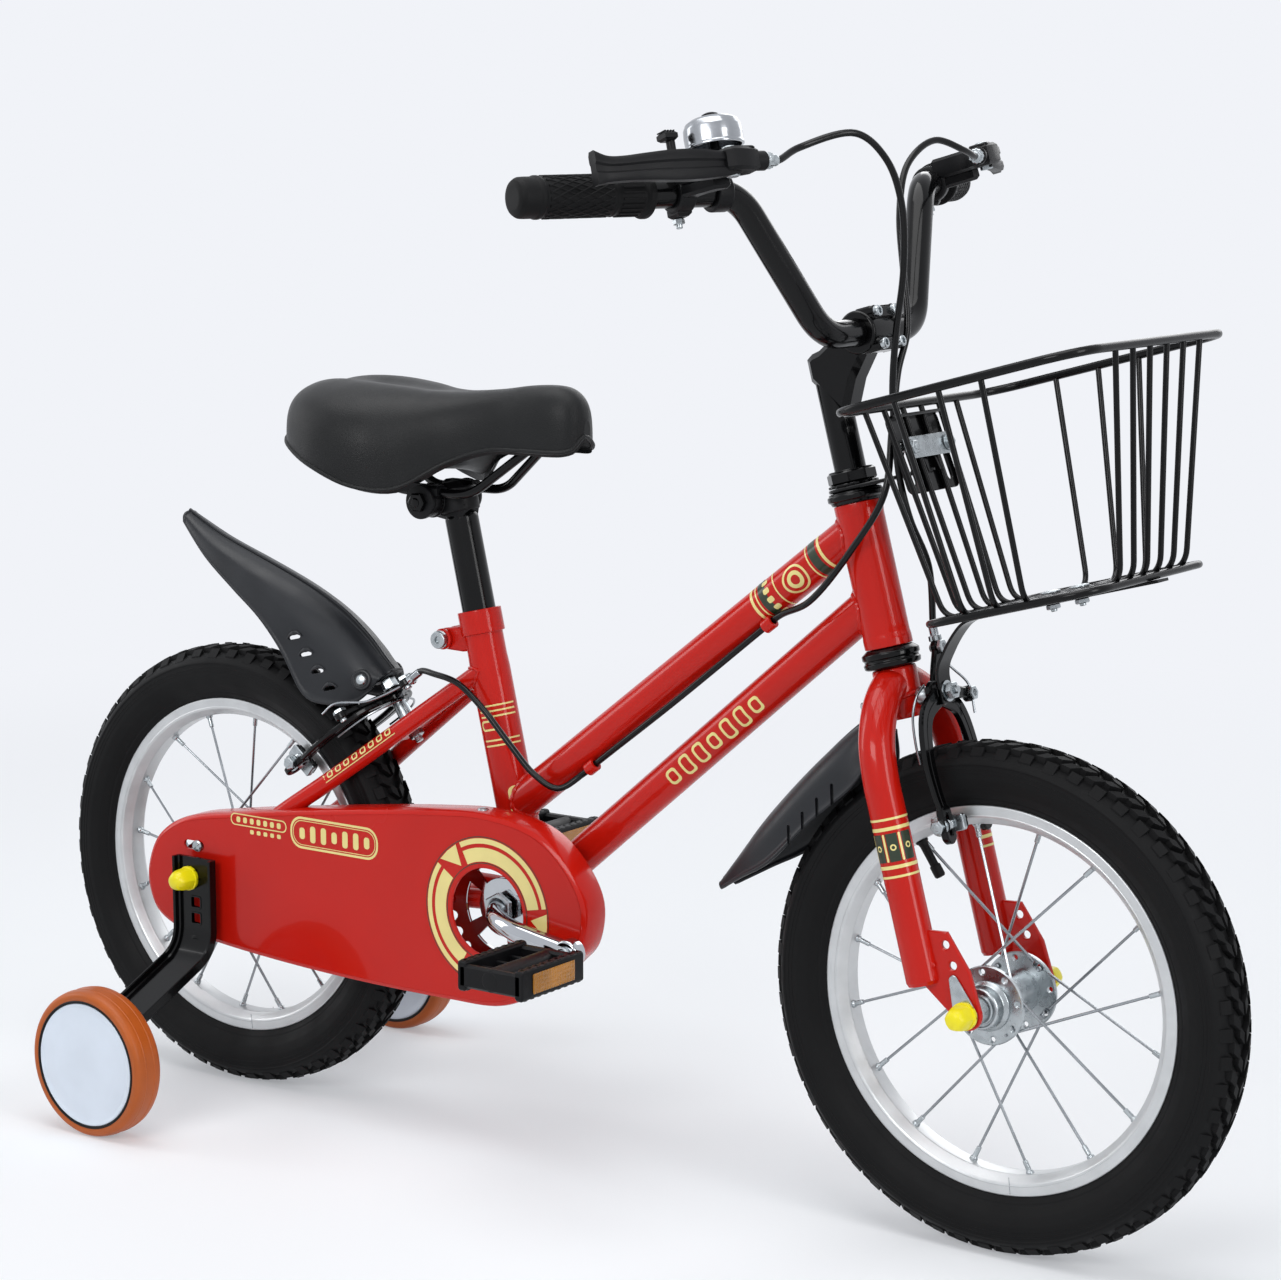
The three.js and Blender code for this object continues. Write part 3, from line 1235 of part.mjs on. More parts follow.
// The screw through the guard's flange into the tab on the seat tube.
function guardTopScrew() {
  const seat = onAxle(tabCentre, -guardScrew.side);
  const { radius, head } = guardScrew;
  const flange = block(
    at(seat.x - guardScrew.flangeHalf, -guard.outer + guard.wall / 2, seat.z - guardScrew.flangeDrop),
    at(seat.x + guardScrew.flangeHalf, seat.y + guardScrew.flangeIn,
      seat.z - guardScrew.flangeDrop + guardScrew.flangeRise + guard.wall));
  return join(flange,
    upBar(seat.x, seat.y, seat.z - guardScrew.length, seat.z + head, radius, tubeSides),
    upBar(seat.x, seat.y, seat.z - guardScrew.headDeep, seat.z + head, 2 * radius, tubeSides));
}

// The boss and screw that hold the guard to the rear eyelet.
function guardRearScrew() {
  const centre = at(rearAxle.x + eyelet.forward, 0, rearAxle.z + eyelet.rise);
  const face = -guard.outer + guardScrew.sunk;
  const head = -guard.outer - guardScrew.proud;
  return join(
    crossBar(centre, face, -rearSpacer, guard.boss),
    crossBar(centre, head, -dropout.inner, eyelet.screw, tubeSides),
    crossBar(centre, head, face, 2 * eyelet.screw, tubeSides));
}

function guardBody() {
  const stayNotch = block(
    at(rearAxle.x - guardLength, guard.notchIn - dropout.inner, 0),
    at(rearAxle.x + guard.notchAhead, 0, 2 * wheelRadius));
  const through = -guard.outer - overrun;
  return cut(join(guardShell(), guardTopScrew(), guardRearScrew()),
    stayNotch, seatStay(-1, tube.stay + guard.stayRoom),
    crossBar(crankCentre, through, guard.wall - guard.outer + overrun, guard.window, smallWheelSides),
    crossBar(rearAxle, through, overrun - rearSpacer, boreRadius(axle.radius)));
}

// Drive

// A crank arm from the spindle to the pedal: how far along it, and how far out.
const crankShares = [[0, 0.329], [0, 0.575], [0.101, 0.781], [0.36, 0.945], [0.674, 0.986], [1, 1]];
const crankOut = at(Math.cos(crank.lean), 0, -Math.sin(crank.lean));
const pedalCentre = (side) =>
  crankCentre.clone().addScaledVector(crankOut, -side * crank.arm).setY(side * pedal.centre);

function crankArm(side) {
  const points = crankShares.map(([reach, across]) => crankCentre.clone()
    .addScaledVector(crankOut, -side * reach * crank.arm).add(at(0, side * across * crank.across, 0)));
  const end = pedalCentre(side);
  const half = crank.bossWidth / 2;
  const pinEnd = pedal.centre + pedal.width / 2 - pedal.pinShort;
  const coneStart = shell.half + shell.lip + 2 * gap;
  return join(
    wire(smooth(points, 8), crank.rod, tubeSides),
    crossBar(end, side * (crank.across - half), side * (crank.across + half), crank.boss, tubeSides),
    crossBar(end, side * crank.across, side * pinEnd, pedal.spindle),
    crossBar(crankCentre, side * coneStart, side * (shell.half + crank.coneEnd), crank.cone));
}

function crankBody() {
  const end = shell.half + crank.spindleEnd;
  return join(crossBar(crankCentre, -end, end, crank.spindle), ...ends.map(crankArm));
}

function bottomBracketCup(side) {
  const inside = crank.spindle + crank.clearance;
  const lip = shell.radius - shell.lipInset;
  const inner = shell.half - shell.thread;
  const profile = [
    [inside, inner], [shell.bore - gap, inner], [shell.bore - gap, shell.half + gap],
    [lip, shell.half + gap], [lip, shell.half + shell.lip], [inside, shell.half + shell.lip],
  ].map(([radius, place]) => [radius, side * place]);
  return turned(closed(profile), crankCentre, at(0, 1, 0));
}

function chainring() {
  const count = 5;
  const windows = [];
  for (let i = 0; i < count; i++) {
    const angle = (2 * Math.PI * i) / count;
    const centre = crankCentre.clone()
      .add(at(chain.windowPlace * Math.cos(angle), 0, chain.windowPlace * Math.sin(angle)));
    windows.push(crossBar(centre, -chain.line - chain.plate, chain.plate - chain.line, chain.window, nutSides));
  }
  const tip = toothTip(chain.ringTeeth);
  return cut(toothed(crankCentre, chain.ringTeeth, tip, boreRadius(crank.spindle)), ...windows);
}

function chainBody() {
  const loop = (offset) => oblong(
    [rearAxle.x, rearAxle.z, pitchRadius(chain.sprocketTeeth) + offset],
    [crankCentre.x, crankCentre.z, pitchRadius(chain.ringTeeth) + offset], 14);
  const low = -chain.line - chain.width / 2;
  return slab(loop(chainHalf), "xz", low, low + chain.width, [loop(-chainHalf)]);
}

// A block about a pedal's centre, between two corners that may be given in any order.
function pedalBlock(centre, from, to) {
  return block(centre.clone().add(from.clone().min(to)), centre.clone().add(from.clone().max(to)));
}

const barrelShare = 0.7;

function pedalBody(side) {
  const centre = pedalCentre(side);
  const half = at(pedal.length / 2, pedal.width / 2, pedal.height / 2);
  const inner = at(half.x - pedal.rail, half.y - pedal.rail, half.z + overrun);
  const cuts = ends.flatMap((end) => [
    pedalBlock(centre, at(end * pedal.barrel * barrelShare, -inner.y, -inner.z),
      at(end * inner.x, inner.y, inner.z)),
    pedalBlock(centre, at(-inner.x, -inner.y, end * (half.z - pedal.dish)), at(inner.x, inner.y, end * inner.z)),
  ]);
  const reflectors = ends.map((end) => pedalBlock(centre,
    at(end * (half.x - reflector.sunk), -reflector.half, -reflector.rise),
    at(end * (half.x + reflector.proud), reflector.half, reflector.rise)));
  const inside = centre.y - half.y;
  const outside = centre.y + half.y;
  return cut(
    join(cut(pedalBlock(centre, half.clone().negate(), half), ...cuts),
      crossBar(centre, inside, outside, pedal.barrel, tubeSides), ...reflectors),
    bore(onAxle(centre, inside), onAxle(centre, outside), pedal.spindle));
}

// Training wheels

const trainerCentre = (side) => at(rearAxle.x + trainer.forward, side * trainer.track, trainer.radius);
const lipShare = 0.417;

function bracketPlate() {
  const line = bracket.outer + bracket.thickness / 2;
  const foot = bracket.tab + bracket.thickness / 2;
  const profile = [
    [-line, rearAxle.z + bracket.above], [-line, rearAxle.z - bracket.straight],
    [bracket.kinkIn - foot, trainer.radius + bracket.kinkRise],
    [-foot, trainer.radius + bracket.footRise], [-foot, trainer.radius - bracket.footDrop],
  ];
  const lipLine = profile.map(([y, z], i) => (i < 2
    ? [y - bracket.lip / 2, z]
    : [y - bracket.lip * lipShare, z + bracket.lip * lipShare]));
  const x = rearAxle.x + trainer.forward;
  const half = bracket.width / 2;
  const lips = [x - half, x + half - bracket.thickness].map((low) =>
    slab(ribbon(lipLine, bracket.lip), "yz", low, low + bracket.thickness));
  return join(slab(ribbon(profile, bracket.thickness), "yz", x - half, x + half), ...lips);
}

function trainerBolt() {
  const centre = trainerCentre(-1);
  const start = -bracket.tab + trainerNut.thick;
  const end = -trainer.track - trainer.width / 2 - trainerNut.proud;
  const shoulder = trainer.width / 2 - trainer.track - trainer.discInset + gap;
  const plateFace = trainerNut.sunk - bracket.tab - bracket.thickness;
  return join(
    crossBar(centre, start, end, trainer.bolt),
    crossBar(centre, plateFace, shoulder, trainerNut.radius, tubeSides),
    crossBar(centre, start, start - trainerNut.inner, trainerNut.radius, nutSides),
    crossBar(centre, end + trainerNut.thick, end, trainerNut.radius, nutSides));
}

function trainingBracket() {
  const outside = -bracket.outer - bracket.lip - overrun;
  const inside = overrun - bracket.outer;
  const adjuster = oblong(
    [rearAxle.x, rearAxle.z - bracket.slotTop, bracket.slot],
    [rearAxle.x, rearAxle.z - bracket.slotLow, bracket.slot]);
  return cut(join(bracketPlate(), trainerBolt()),
    crossBar(rearAxle, outside, inside, boreRadius(axle.radius)),
    crossBar(rearAxle, outside, -bracket.outer - bracket.thickness, boreRadius(cap.radius, tubeSides), tubeSides),
    slab(adjuster, "xz", outside, inside));
}

// Half profile of a training tyre: from the disc outward, and from the middle to its side.
const trainerTyreShares = [[0, 0.857], [0.268, 1], [0.756, 0.786], [1, 0.5]];

function trainerTyre(side) {
  const inside = trainer.disc + gap;
  const right = trainerTyreShares.map(([up, out]) =>
    [inside + up * (trainer.radius - inside), (out * trainer.width) / 2]);
  const left = right.map(([radius, place]) => [radius, -place]).reverse();
  return turned(closed([...right, ...left]), trainerCentre(side), at(0, 1, 0), smallWheelSides);
}

// Profile of a training disc from its hub's inner end round the rim, in shares of its radius and half width.
const discShares = [
  [0.289, -1], [0.289, -0.615], [0.897, -0.615], [0.918, -1], [1, -1], [1, 1], [0.938, 1], [0.918, 0.846],
  [0.289, 0.769],
];

function trainerDisc(side) {
  const half = trainer.width / 2 - trainer.discInset;
  const inside = boreRadius(trainer.bolt);
  const face = discShares.map(([out, across]) => [out * trainer.disc, side * across * half]);
  const profile = [[inside, -side * half], ...face, [inside, face[face.length - 1][1]]];
  return turned(closed(profile), trainerCentre(side), at(0, 1, 0), smallWheelSides);
}

// Seat

const postTop = seatTubeLength + seatPost.show + seatPost.thinLength;
const shoulder = seatTubeLength + seatPost.show;
const clampCentre = onSeat(postTop - saddleClamp.sunk).add(at(-saddleClamp.back, 0, -saddleClamp.drop));

function seatPostBody() {
  const foot = seatTubeLength - seatPost.insert;
  return turned([
    [0, foot], [seatPost.radius, foot], [seatPost.radius, shoulder - seatPost.taper],
    [seatPost.thin, shoulder], [seatPost.thin, postTop], [0, postTop],
  ], crankCentre, seatUp);
}

function saddleRails(radius) {
  const { x, z } = clampCentre;
  const low = z + rail.above;
  const half = (side) => [
    at(x - rail.tailBack, side * rail.tailSide, low + rail.tailRise),
    at(x - rail.back, side * rail.side, low),
    at(x + rail.front, side * rail.side, low),
    at(x + rail.noseForward, side * rail.noseSide, low + rail.noseRise),
  ];
  return wire(bent([...half(-1), ...half(1).reverse()], rail.bend, 2), radius, tubeSides);
}

function saddleClampBody() {
  const boltEnd = saddleClamp.half + saddleClamp.boltProud;
  return cut(
    join(
      crossBar(clampCentre, -saddleClamp.half, saddleClamp.half, saddleClamp.radius),
      rod(onSeat(shoulder + saddleClamp.lap), onSeat(postTop + saddleClamp.lap), seatPost.thin + saddleClamp.sleeve),
      crossBar(clampCentre, -boltEnd, boltEnd, saddleClamp.bolt, nutSides),
    ),
    rod(onSeat(seatTubeLength), onSeat(postTop + gap), boreRadius(seatPost.thin)),
    saddleRails(rail.radius + rail.room));
}

// Stations of the saddle from tail to nose: place along it, half width, top, lower edge, as shares.
const saddleShares = [
  [0, 0.3, 0.76, 0.5], [0.03, 0.62, 0.88, 0.44], [0.1, 0.86, 0.96, 0.36], [0.22, 1, 0.98, 0.22],
  [0.36, 0.95, 0.95, 0.07], [0.47, 0.74, 0.91, 0.06], [0.58, 0.47, 0.9, 0.27], [0.7, 0.32, 0.93, 0.4],
  [0.82, 0.28, 0.98, 0.42], [0.92, 0.25, 0.99, 0.42], [0.975, 0.18, 0.9, 0.46], [1, 0.09, 0.74, 0.56],
];
// A station's curve from one lower edge over the crown to the other.
const crownShares = [
  [-1, 0], [-1.03, 0.28], [-0.97, 0.6], [-0.78, 0.85], [-0.42, 0.97], [0, 0.99],
  [0.42, 0.97], [0.78, 0.85], [0.97, 0.6], [1.03, 0.28], [1, 0],
];
const roofShare = 0.66;
const hollowShare = 0.9;

function saddleBody() {
  const tail = clampCentre.x - saddle.back;
  const base = onSeat(postTop).z + saddle.seat;
  const loops = saddleShares.map(([forward, out, top, low]) => {
    const x = tail + forward * saddle.length;
    const half = (out * saddle.width) / 2;
    const lowZ = base + low * saddle.height;
    const height = (top - low) * saddle.height;
    const roof = Math.min(1, Math.max(0, (top - roofShare) / (top - low)));
    const thin = Math.min(saddle.wall, half / 3);
    const hollow = Math.max(half - thin, half / 4) * hollowShare;
    const outer = crownShares.map(([across, up]) => at(x, across * half, lowZ + up * height));
    const inner = crownShares.map(([across, up]) => at(x, across * hollow, lowZ + up * height * roof));
    return [...outer, ...inner.reverse()];
  });
  return loft(loops);
}

// Cables. Their routes are chosen by hand between the ends that the levers, guides and brakes give.

const frontCableRoute = [
  [80, -105, 330], [104, -72, 333], [109, -50, 315], [103, -32, 286], [88, -22, 245], [68, -16, 205],
  [54, -13, 168], [48, -13, 135], [45, -13, 111], [43, -8, 82], [41, 6, 48],
];
const rearCableSteeredRoute = [
  [78, 110, 327], [71, 85, 336], [63, 55, 321], [60, 36, 288], [58, 27, 245], [55, 21, 208], [49, 8, 182],
  [43, -6, 144], [34, -19, 102], [2, -24, 70],
];
// From the rear axle: into the first guide, between the guides, and from the second to the brake.
const rearCableRoute = {
  into: [[547, -21, 263]],
  sag: [0, -3, -2],
  outOf: [
    [328, -19, 104], [309, -22, 112], [287, -24, 133], [262, -25, 158], [238, -24, 174], [212, -20, 178],
  ],
};
// The bare wire from the housing to the pinch bolt, in the brake's frame from its two ends.
const frontWireRoute = { barrel: [[0, 0, 8], [8, 6, 5]], pinch: [[5, 1, 8], [5, 3, -14]] };
const rearWireRoute = { barrel: [[0, 0, 10.5], [9, 0, 0]], pinch: [[9, 0, 0], [9, 0, -22]] };
const housingEnds = { front: [12, 6.5], rear: [18, 8.5] };

const offsets = (origin, route) => route.map((place) => origin.clone().add(at(...place)));

// The end of the housing above a brake's barrel and the bare wire past it, in the brake's frame.
function brakeEnd(frame, anchors, wireRoute, housingEnd) {
  const barrel = at(armMiddle - brake.thick / 2, ...anchorPlace(anchors.barrel));
  const pinch = at(armMiddle + brake.thick, ...anchorPlace(anchors.pinch));
  const placed = (points) => points.map((point) => point.applyMatrix4(frame));
  const bare = placed([...offsets(barrel, wireRoute.barrel), ...offsets(pinch, wireRoute.pinch)]);
  return {
    housing: placed(housingEnd.map((up) => barrel.clone().add(at(0, 0, up)))),
    core: wire(bare, cable.inner, cableCoreSides),
  };
}

const leverEnd = fromGrip(cableEnd.along, cableEnd.forward, cableEnd.rise);

function frontCable() {
  const end = brakeEnd(frontBrakeFrame, frontAnchorShares, frontWireRoute, housingEnds.front);
  const route = [leverEnd, ...offsets(at(0, 0, 0), frontCableRoute), ...end.housing];
  return join(wire(smooth(route, 24), cable.radius, tubeSides), end.core);
}

function rearCable() {
  const end = brakeEnd(rearBrakeFrame, rearAnchorShares, rearWireRoute, housingEnds.rear);
  const steeredPart = [leverEnd.clone().multiply(at(1, -1, 1)), ...offsets(at(0, 0, 0), rearCableSteeredRoute)];
  const line = guideLine(guide.half + guide.past);
  const guided = guideShares.map(guideCentre);
  const through = (centre) => [centre.clone().add(line), centre.clone().sub(line)];
  const route = [
    ...steeredPart.map((point) => point.applyMatrix4(steeredMatrix)),
    ...offsets(rearAxle, rearCableRoute.into),
    ...through(guided[0]), along(guided, 0.5).add(at(...rearCableRoute.sag)), ...through(guided[1]),
    ...offsets(rearAxle, rearCableRoute.outOf),
    ...end.housing,
  ];
  return join(wire(smooth(route, 40), cable.radius, tubeSides), end.core);
}

// Assembly

const toSteered = (body) => moved(body, steeredInverse);

piece(fixed, "frame", frameBody(), "redPaint");
piece(fixed, "headset_upper_cup", upperCup(), "blackPaint");
piece(fixed, "headset_lower_cup", lowerCup(), "blackPaint");
piece(fixed, "seat_clamp_bolt", seatClampBolt(), "steel");
piece(fixed, "chain_guard", guardBody(), "redPaint");
piece(fixed, "chain", chainBody(), "steel");
piece(fixed, "rear_mudguard", rearMudguardBody(), "blackPlastic");
piece(fixed, "rear_brake_bolt", rearBrakeBolt(), "steel");
piece(fixed, "rear_axle", axleBody(rearAxle, rearNuts), "steel");
piece(fixed, "rear_brake_cable", rearCable(), "rubber");
piece(fixed, "rear_tyre", tyreBody(rearAxle), "tyreRubber");
piece(fixed, "rear_wheel", rearWheel(), "aluminium");
piece(fixed, "crank", crankBody(), "chrome");
piece(fixed, "chainring", chainring(), "steel");
piece(fixed, "seat_post", seatPostBody(), "blackPaint");
piece(fixed, "saddle_clamp", saddleClampBody(), "blackPaint");
piece(fixed, "saddle_rails", saddleRails(rail.radius), "blackPaint");
piece(fixed, "saddle", saddleBody(), "vinyl");
const rearArm = (layer, side, anchor) => brakeArm(rearBrakeFrame, layer, side, rearPads, anchor);
piece(fixed, "rear_brake_arm_left", rearArm(1, -1, rearAnchorShares.pinch), "blackPaint");
piece(fixed, "rear_brake_arm_right", rearArm(0, 1, rearAnchorShares.barrel), "blackPaint");

piece(steered, "fork", forkBody(), "redPaint");
piece(steered, "headset_locknut", locknut(), "blackPaint");
piece(steered, "stem", stemBody(), "blackPaint");
piece(steered, "handlebar", barTube(bar.radius), "blackPaint");
piece(steered, "bell_base", bellMount(), "blackPlastic");
piece(steered, "bell_dome", bellDome(), "chrome");
piece(steered, "bell_thumb_lever", bellThumb(), "blackPlastic");
piece(steered, "basket", basketBody(), "blackPaint");
piece(steered, "basket_bracket", basketBracket(), "blackPaint");
piece(steered, "basket_strip", basketStrip(), "chrome");
piece(steered, "basket_stay", basketStay(), "blackPaint");
piece(steered, "front_mudguard", frontMudguardBody(), "blackPlastic");
piece(steered, "front_brake_bolt", frontBrakeBolt(), "steel");
const frontArm = (layer, side, anchor) => brakeArm(frontBrakeFrame, layer, side, frontPads, anchor);
piece(steered, "front_brake_arm_right", frontArm(1, -1, frontAnchorShares.pinch), "blackPaint");
piece(steered, "front_brake_arm_left", frontArm(0, 1, frontAnchorShares.barrel), "blackPaint");
piece(steered, "front_brake_cable", frontCable(), "rubber");
piece(steered, "front_axle", toSteered(axleBody(frontAxle, frontNuts)), "steel");
piece(steered, "front_tyre", toSteered(tyreBody(frontAxle)), "tyreRubber");
piece(steered, "front_wheel", toSteered(frontWheel()), "aluminium");

for (const [name, side] of sides) {
  piece(steered, `grip_${name}`, onSide(gripBody(), side), "rubber");
  piece(steered, `brake_lever_bracket_${name}`, onSide(leverBracket(), side), "blackPlastic");
  piece(steered, `brake_lever_${name}`, onSide(leverBlade(), side), "blackPlastic");
  piece(steered, `front_axle_cap_${name}`, toSteered(capBody(frontAxle, frontNut, side)), "yellowPlastic");
  piece(fixed, `rear_axle_cap_${name}`, capBody(rearAxle, rearNut, side), "yellowPlastic");
  piece(fixed, `bottom_bracket_cup_${name}`, bottomBracketCup(side), "steel");
  piece(fixed, `pedal_${name}`, pedalBody(side), "blackPlastic");
  piece(fixed, `training_bracket_${name}`, onSide(trainingBracket(), side), "blackPaint");
  piece(fixed, `training_tyre_${name}`, trainerTyre(side), "orangeRubber");
  piece(fixed, `training_disc_${name}`, trainerDisc(side), "whitePlastic");
}

const bike = new THREE.Group();
bike.add(fixed, steered);

export default bike;
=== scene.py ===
"""Looks of a child's bike with training wheels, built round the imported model.

Lengths in this file are millimetres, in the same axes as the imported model; piece() turns them into metres."""

import math
from math import cos, pi, radians, sin

import bmesh
import bpy
from mathutils import Matrix, Vector
from mathutils.geometry import tessellate_polygon


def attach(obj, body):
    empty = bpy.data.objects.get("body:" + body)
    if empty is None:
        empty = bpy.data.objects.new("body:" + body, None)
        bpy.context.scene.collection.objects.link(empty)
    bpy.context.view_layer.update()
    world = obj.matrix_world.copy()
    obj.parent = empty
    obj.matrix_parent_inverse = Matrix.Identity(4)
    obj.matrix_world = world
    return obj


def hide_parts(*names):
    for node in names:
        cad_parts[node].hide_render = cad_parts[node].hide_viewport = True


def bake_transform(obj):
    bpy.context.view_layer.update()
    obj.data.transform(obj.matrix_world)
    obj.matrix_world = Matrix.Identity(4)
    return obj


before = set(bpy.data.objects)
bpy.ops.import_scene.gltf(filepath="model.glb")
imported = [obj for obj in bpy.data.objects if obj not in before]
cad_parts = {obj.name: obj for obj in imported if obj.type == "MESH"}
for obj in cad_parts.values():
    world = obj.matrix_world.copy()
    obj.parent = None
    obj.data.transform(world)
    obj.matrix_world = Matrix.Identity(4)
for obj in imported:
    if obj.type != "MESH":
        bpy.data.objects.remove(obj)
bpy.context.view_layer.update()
MM = 0.001
V = Vector
X, Y, Z = V((1, 0, 0)), V((0, 1, 0)), V((0, 0, 1))
ORIGIN = V((0, 0, 0))
SIDES = (-1, 1)
NAMED_SIDES = ((-1, "right"), (1, "left"))

# Places on the bike

WHEELBASE, WHEEL_R = 694.0, 178.0
REAR, FRONT = V((-WHEELBASE / 2, 0, WHEEL_R)), V((WHEELBASE / 2, 0, WHEEL_R))
LEAN, SEAT_LEAN = radians(15.2), radians(13.1)
FORK_OFFSET, FORK_REACH = 30.8, 250.6
STEER_UP, STEER_FWD = V((-sin(LEAN), 0, cos(LEAN))), V((cos(LEAN), 0, sin(LEAN)))
HEAD = FRONT - FORK_OFFSET * STEER_FWD + FORK_REACH * STEER_UP
CRANK_AHEAD, CRANK_RISE = 290.0, 12.0
BB = REAR + V((CRANK_AHEAD, 0, CRANK_RISE))
SEAT_UP = V((-sin(SEAT_LEAN), 0, cos(SEAT_LEAN)))


def basis(x, y, z, origin):
    m = Matrix((x, y, z)).transposed().to_4x4()
    m.translation = origin
    return m


STEER = basis(STEER_FWD, Y, STEER_UP, HEAD)
MIRROR = Matrix.Diagonal((1, -1, 1, 1))


def on_head(s):
    return HEAD + STEER_UP * s


def on_seat(s):
    return BB + SEAT_UP * s


def local(x, y, z):
    """A point that turns with the bar: x ahead of the steering axis, z along it from the head tube's foot."""
    return STEER @ V((x, y, z))


# Shapes are (points, faces)


def moved(shape, matrix):
    points, faces = shape
    flip = matrix.determinant() < 0
    return [matrix @ p for p in points], [f[::-1] if flip else f for f in faces]


def placed(shapes, matrix):
    return [moved(shape, matrix) for shape in shapes]


def mirrored(shape):
    return moved(shape, MIRROR)


def inside_out(shape):
    points, faces = shape
    return points, [f[::-1] for f in faces]


def merged(shapes):
    points, faces = [], []
    for p, f in shapes:
        start = len(points)
        points += p
        faces += [[i + start for i in face] for face in f]
    return points, faces


def grid(rows, wrap_rows=False, wrap_columns=True):
    """Quads between rows of equally many points."""
    n, m = len(rows), len(rows[0])
    points = [p for row in rows for p in row]
    faces = []
    for i in range(n if wrap_rows else n - 1):
        for j in range(m if wrap_columns else m - 1):
            k, l = (i + 1) % n, (j + 1) % m
            faces.append([i * m + j, i * m + l, k * m + l, k * m + j])
    return points, faces


def fill(loop, away):
    """A cap on a loop, facing away."""
    points = list(loop)
    tris = [list(t) for t in tessellate_polygon([points])]
    if tris:
        a, b, c = (points[i] for i in tris[0])
        if (b - a).cross(c - a).dot(away) < 0:
            tris = [t[::-1] for t in tris]
    return points, tris


def side_vectors(direction):
    d = direction.normalized()
    first = d.cross(Z if abs(d.z) < 0.9 else X).normalized()
    return first, d.cross(first).normalized()


def tube(points, radius, sides=20, closed=False):
    """A round tube through points, with one radius or one for each point."""
    count = len(points)
    radii = radius if isinstance(radius, (list, tuple)) else [radius] * count
    tangents = []
    for i in range(count):
        before = points[i] - points[i - 1] if (i or closed) else points[1] - points[0]
        after = points[(i + 1) % count] - points[i] if (i < count - 1 or closed) else before
        tangents.append((before.normalized() + after.normalized()).normalized())
    across = side_vectors(tangents[0])[0]
    rings = []
    for i, (point, tangent) in enumerate(zip(points, tangents)):
        across = (across - tangent * across.dot(tangent)).normalized()
        other = tangent.cross(across)
        ring = []
        for k in range(sides):
            a = 2 * pi * k / sides
            ring.append(point + (across * cos(a) + other * sin(a)) * radii[i])
        rings.append(ring)
    shapes = [grid(rings, wrap_rows=closed)]
    if not closed:
        shapes += [fill(rings[0], -tangents[0]), fill(rings[-1], tangents[-1])]
    return merged(shapes)


def lathe(profile, origin, axis=Y, sides=48):
    """(radius, along) pairs turned about an axis."""
    a, b = side_vectors(axis)
    d = axis.normalized()
    rows = []
    for k in range(sides):
        t = 2 * pi * k / sides
        out = a * cos(t) + b * sin(t)
        rows.append([origin + d * s + out * r for r, s in profile])
    return grid(rows, wrap_rows=True, wrap_columns=False)


def rounded(profile, size, steps=3):
    """A profile with its inner corners rounded."""
    made = [profile[0]]
    for p, q, r in zip(profile, profile[1:], profile[2:]):
        p, q, r = V(p), V(q), V(r)
        near = min(size, (q - p).length * 0.45, (r - q).length * 0.45)
        start, end = q + (p - q).normalized() * near, q + (r - q).normalized() * near
        for i in range(steps + 1):
            t = i / steps
            made.append(tuple(start * (1 - t) ** 2 + q * 2 * t * (1 - t) + end * t * t))
    return [*made, profile[-1]]


def turned(profile, edge, origin, axis=Y, sides=48):
    """A lathe shape with softened edges."""
    return lathe(rounded(profile, edge), origin, axis, sides)


def rod(start, end, radius, sides=24, edge=0.6):
    """A solid bar with softened edges, between two points."""
    length = (end - start).length
    e = min(edge, length / 3, radius / 3)
    profile = [(0, 0), (radius - e, 0), (radius, e), (radius, length - e), (radius - e, length), (0, length)]
    return lathe(profile, start, end - start, sides)


def washer(place, axis, radius, thick, sides):
    return lathe([(0, 0), (radius, 0), (radius, thick), (0, thick)], place, axis, sides)


def arc(u, v, r, a0, a1, steps):
    return [(u + r * cos(a0 + (a1 - a0) * i / steps), v + r * sin(a0 + (a1 - a0) * i / steps))
            for i in range(steps + 1)]


def circle(u, v, r, n=28):
    return arc(u, v, r, 0, 2 * pi, n)[:-1]


def polygon(radius, count, turn=0.0):
    return [(radius * cos(2 * pi * (k + turn) / count), radius * sin(2 * pi * (k + turn) / count))
            for k in range(count)]


def toothed(count, low, high):
    """An outline that steps between two radii, for knurls and teeth."""
    ends = zip(polygon(low, count), polygon(high, count))
    return [top if k % 2 else foot for k, (foot, top) in enumerate(ends)]


def oblong(c1, c2, steps=10):
    """The outline round two circles (u, v, radius)."""
    (u1, v1, r1), (u2, v2, r2) = c1, c2
    heading = math.atan2(v2 - v1, u2 - u1)
    opening = math.acos((r1 - r2) / math.hypot(u2 - u1, v2 - v1))
    return arc(u2, v2, r2, heading - opening, heading + opening, steps) + arc(
        u1, v1, r1, heading + opening, heading + 2 * pi - opening, steps)


def round_rect(u, v, length, width, r, steps=6):
    made = []
    for i, (a, b) in enumerate(((1, 1), (-1, 1), (-1, -1), (1, -1))):
        made += arc(u + a * (length / 2 - r), v + b * (width / 2 - r), r, i * pi / 2, (i + 1) * pi / 2, steps)
    return made


def area(outline):
    return sum(a[0] * b[1] - b[0] * a[1] for a, b in zip(outline, outline[1:] + outline[:1])) / 2


def inset(outline, d):
    """A counter-clockwise outline moved inwards."""
    made, n = [], len(outline)
    for i in range(n):
        p, q, r = V(outline[i - 1]), V(outline[i]), V(outline[(i + 1) % n])
        a, b = (q - p).normalized(), (r - q).normalized()
        normal = V((-(a.y + b.y), a.x + b.x))
        normal = V((-a.y, a.x)) if normal.length < 1e-6 else normal.normalized()
        made.append(tuple(q + normal * d / max(0.35, normal.dot(V((-a.y, a.x))))))
    return made


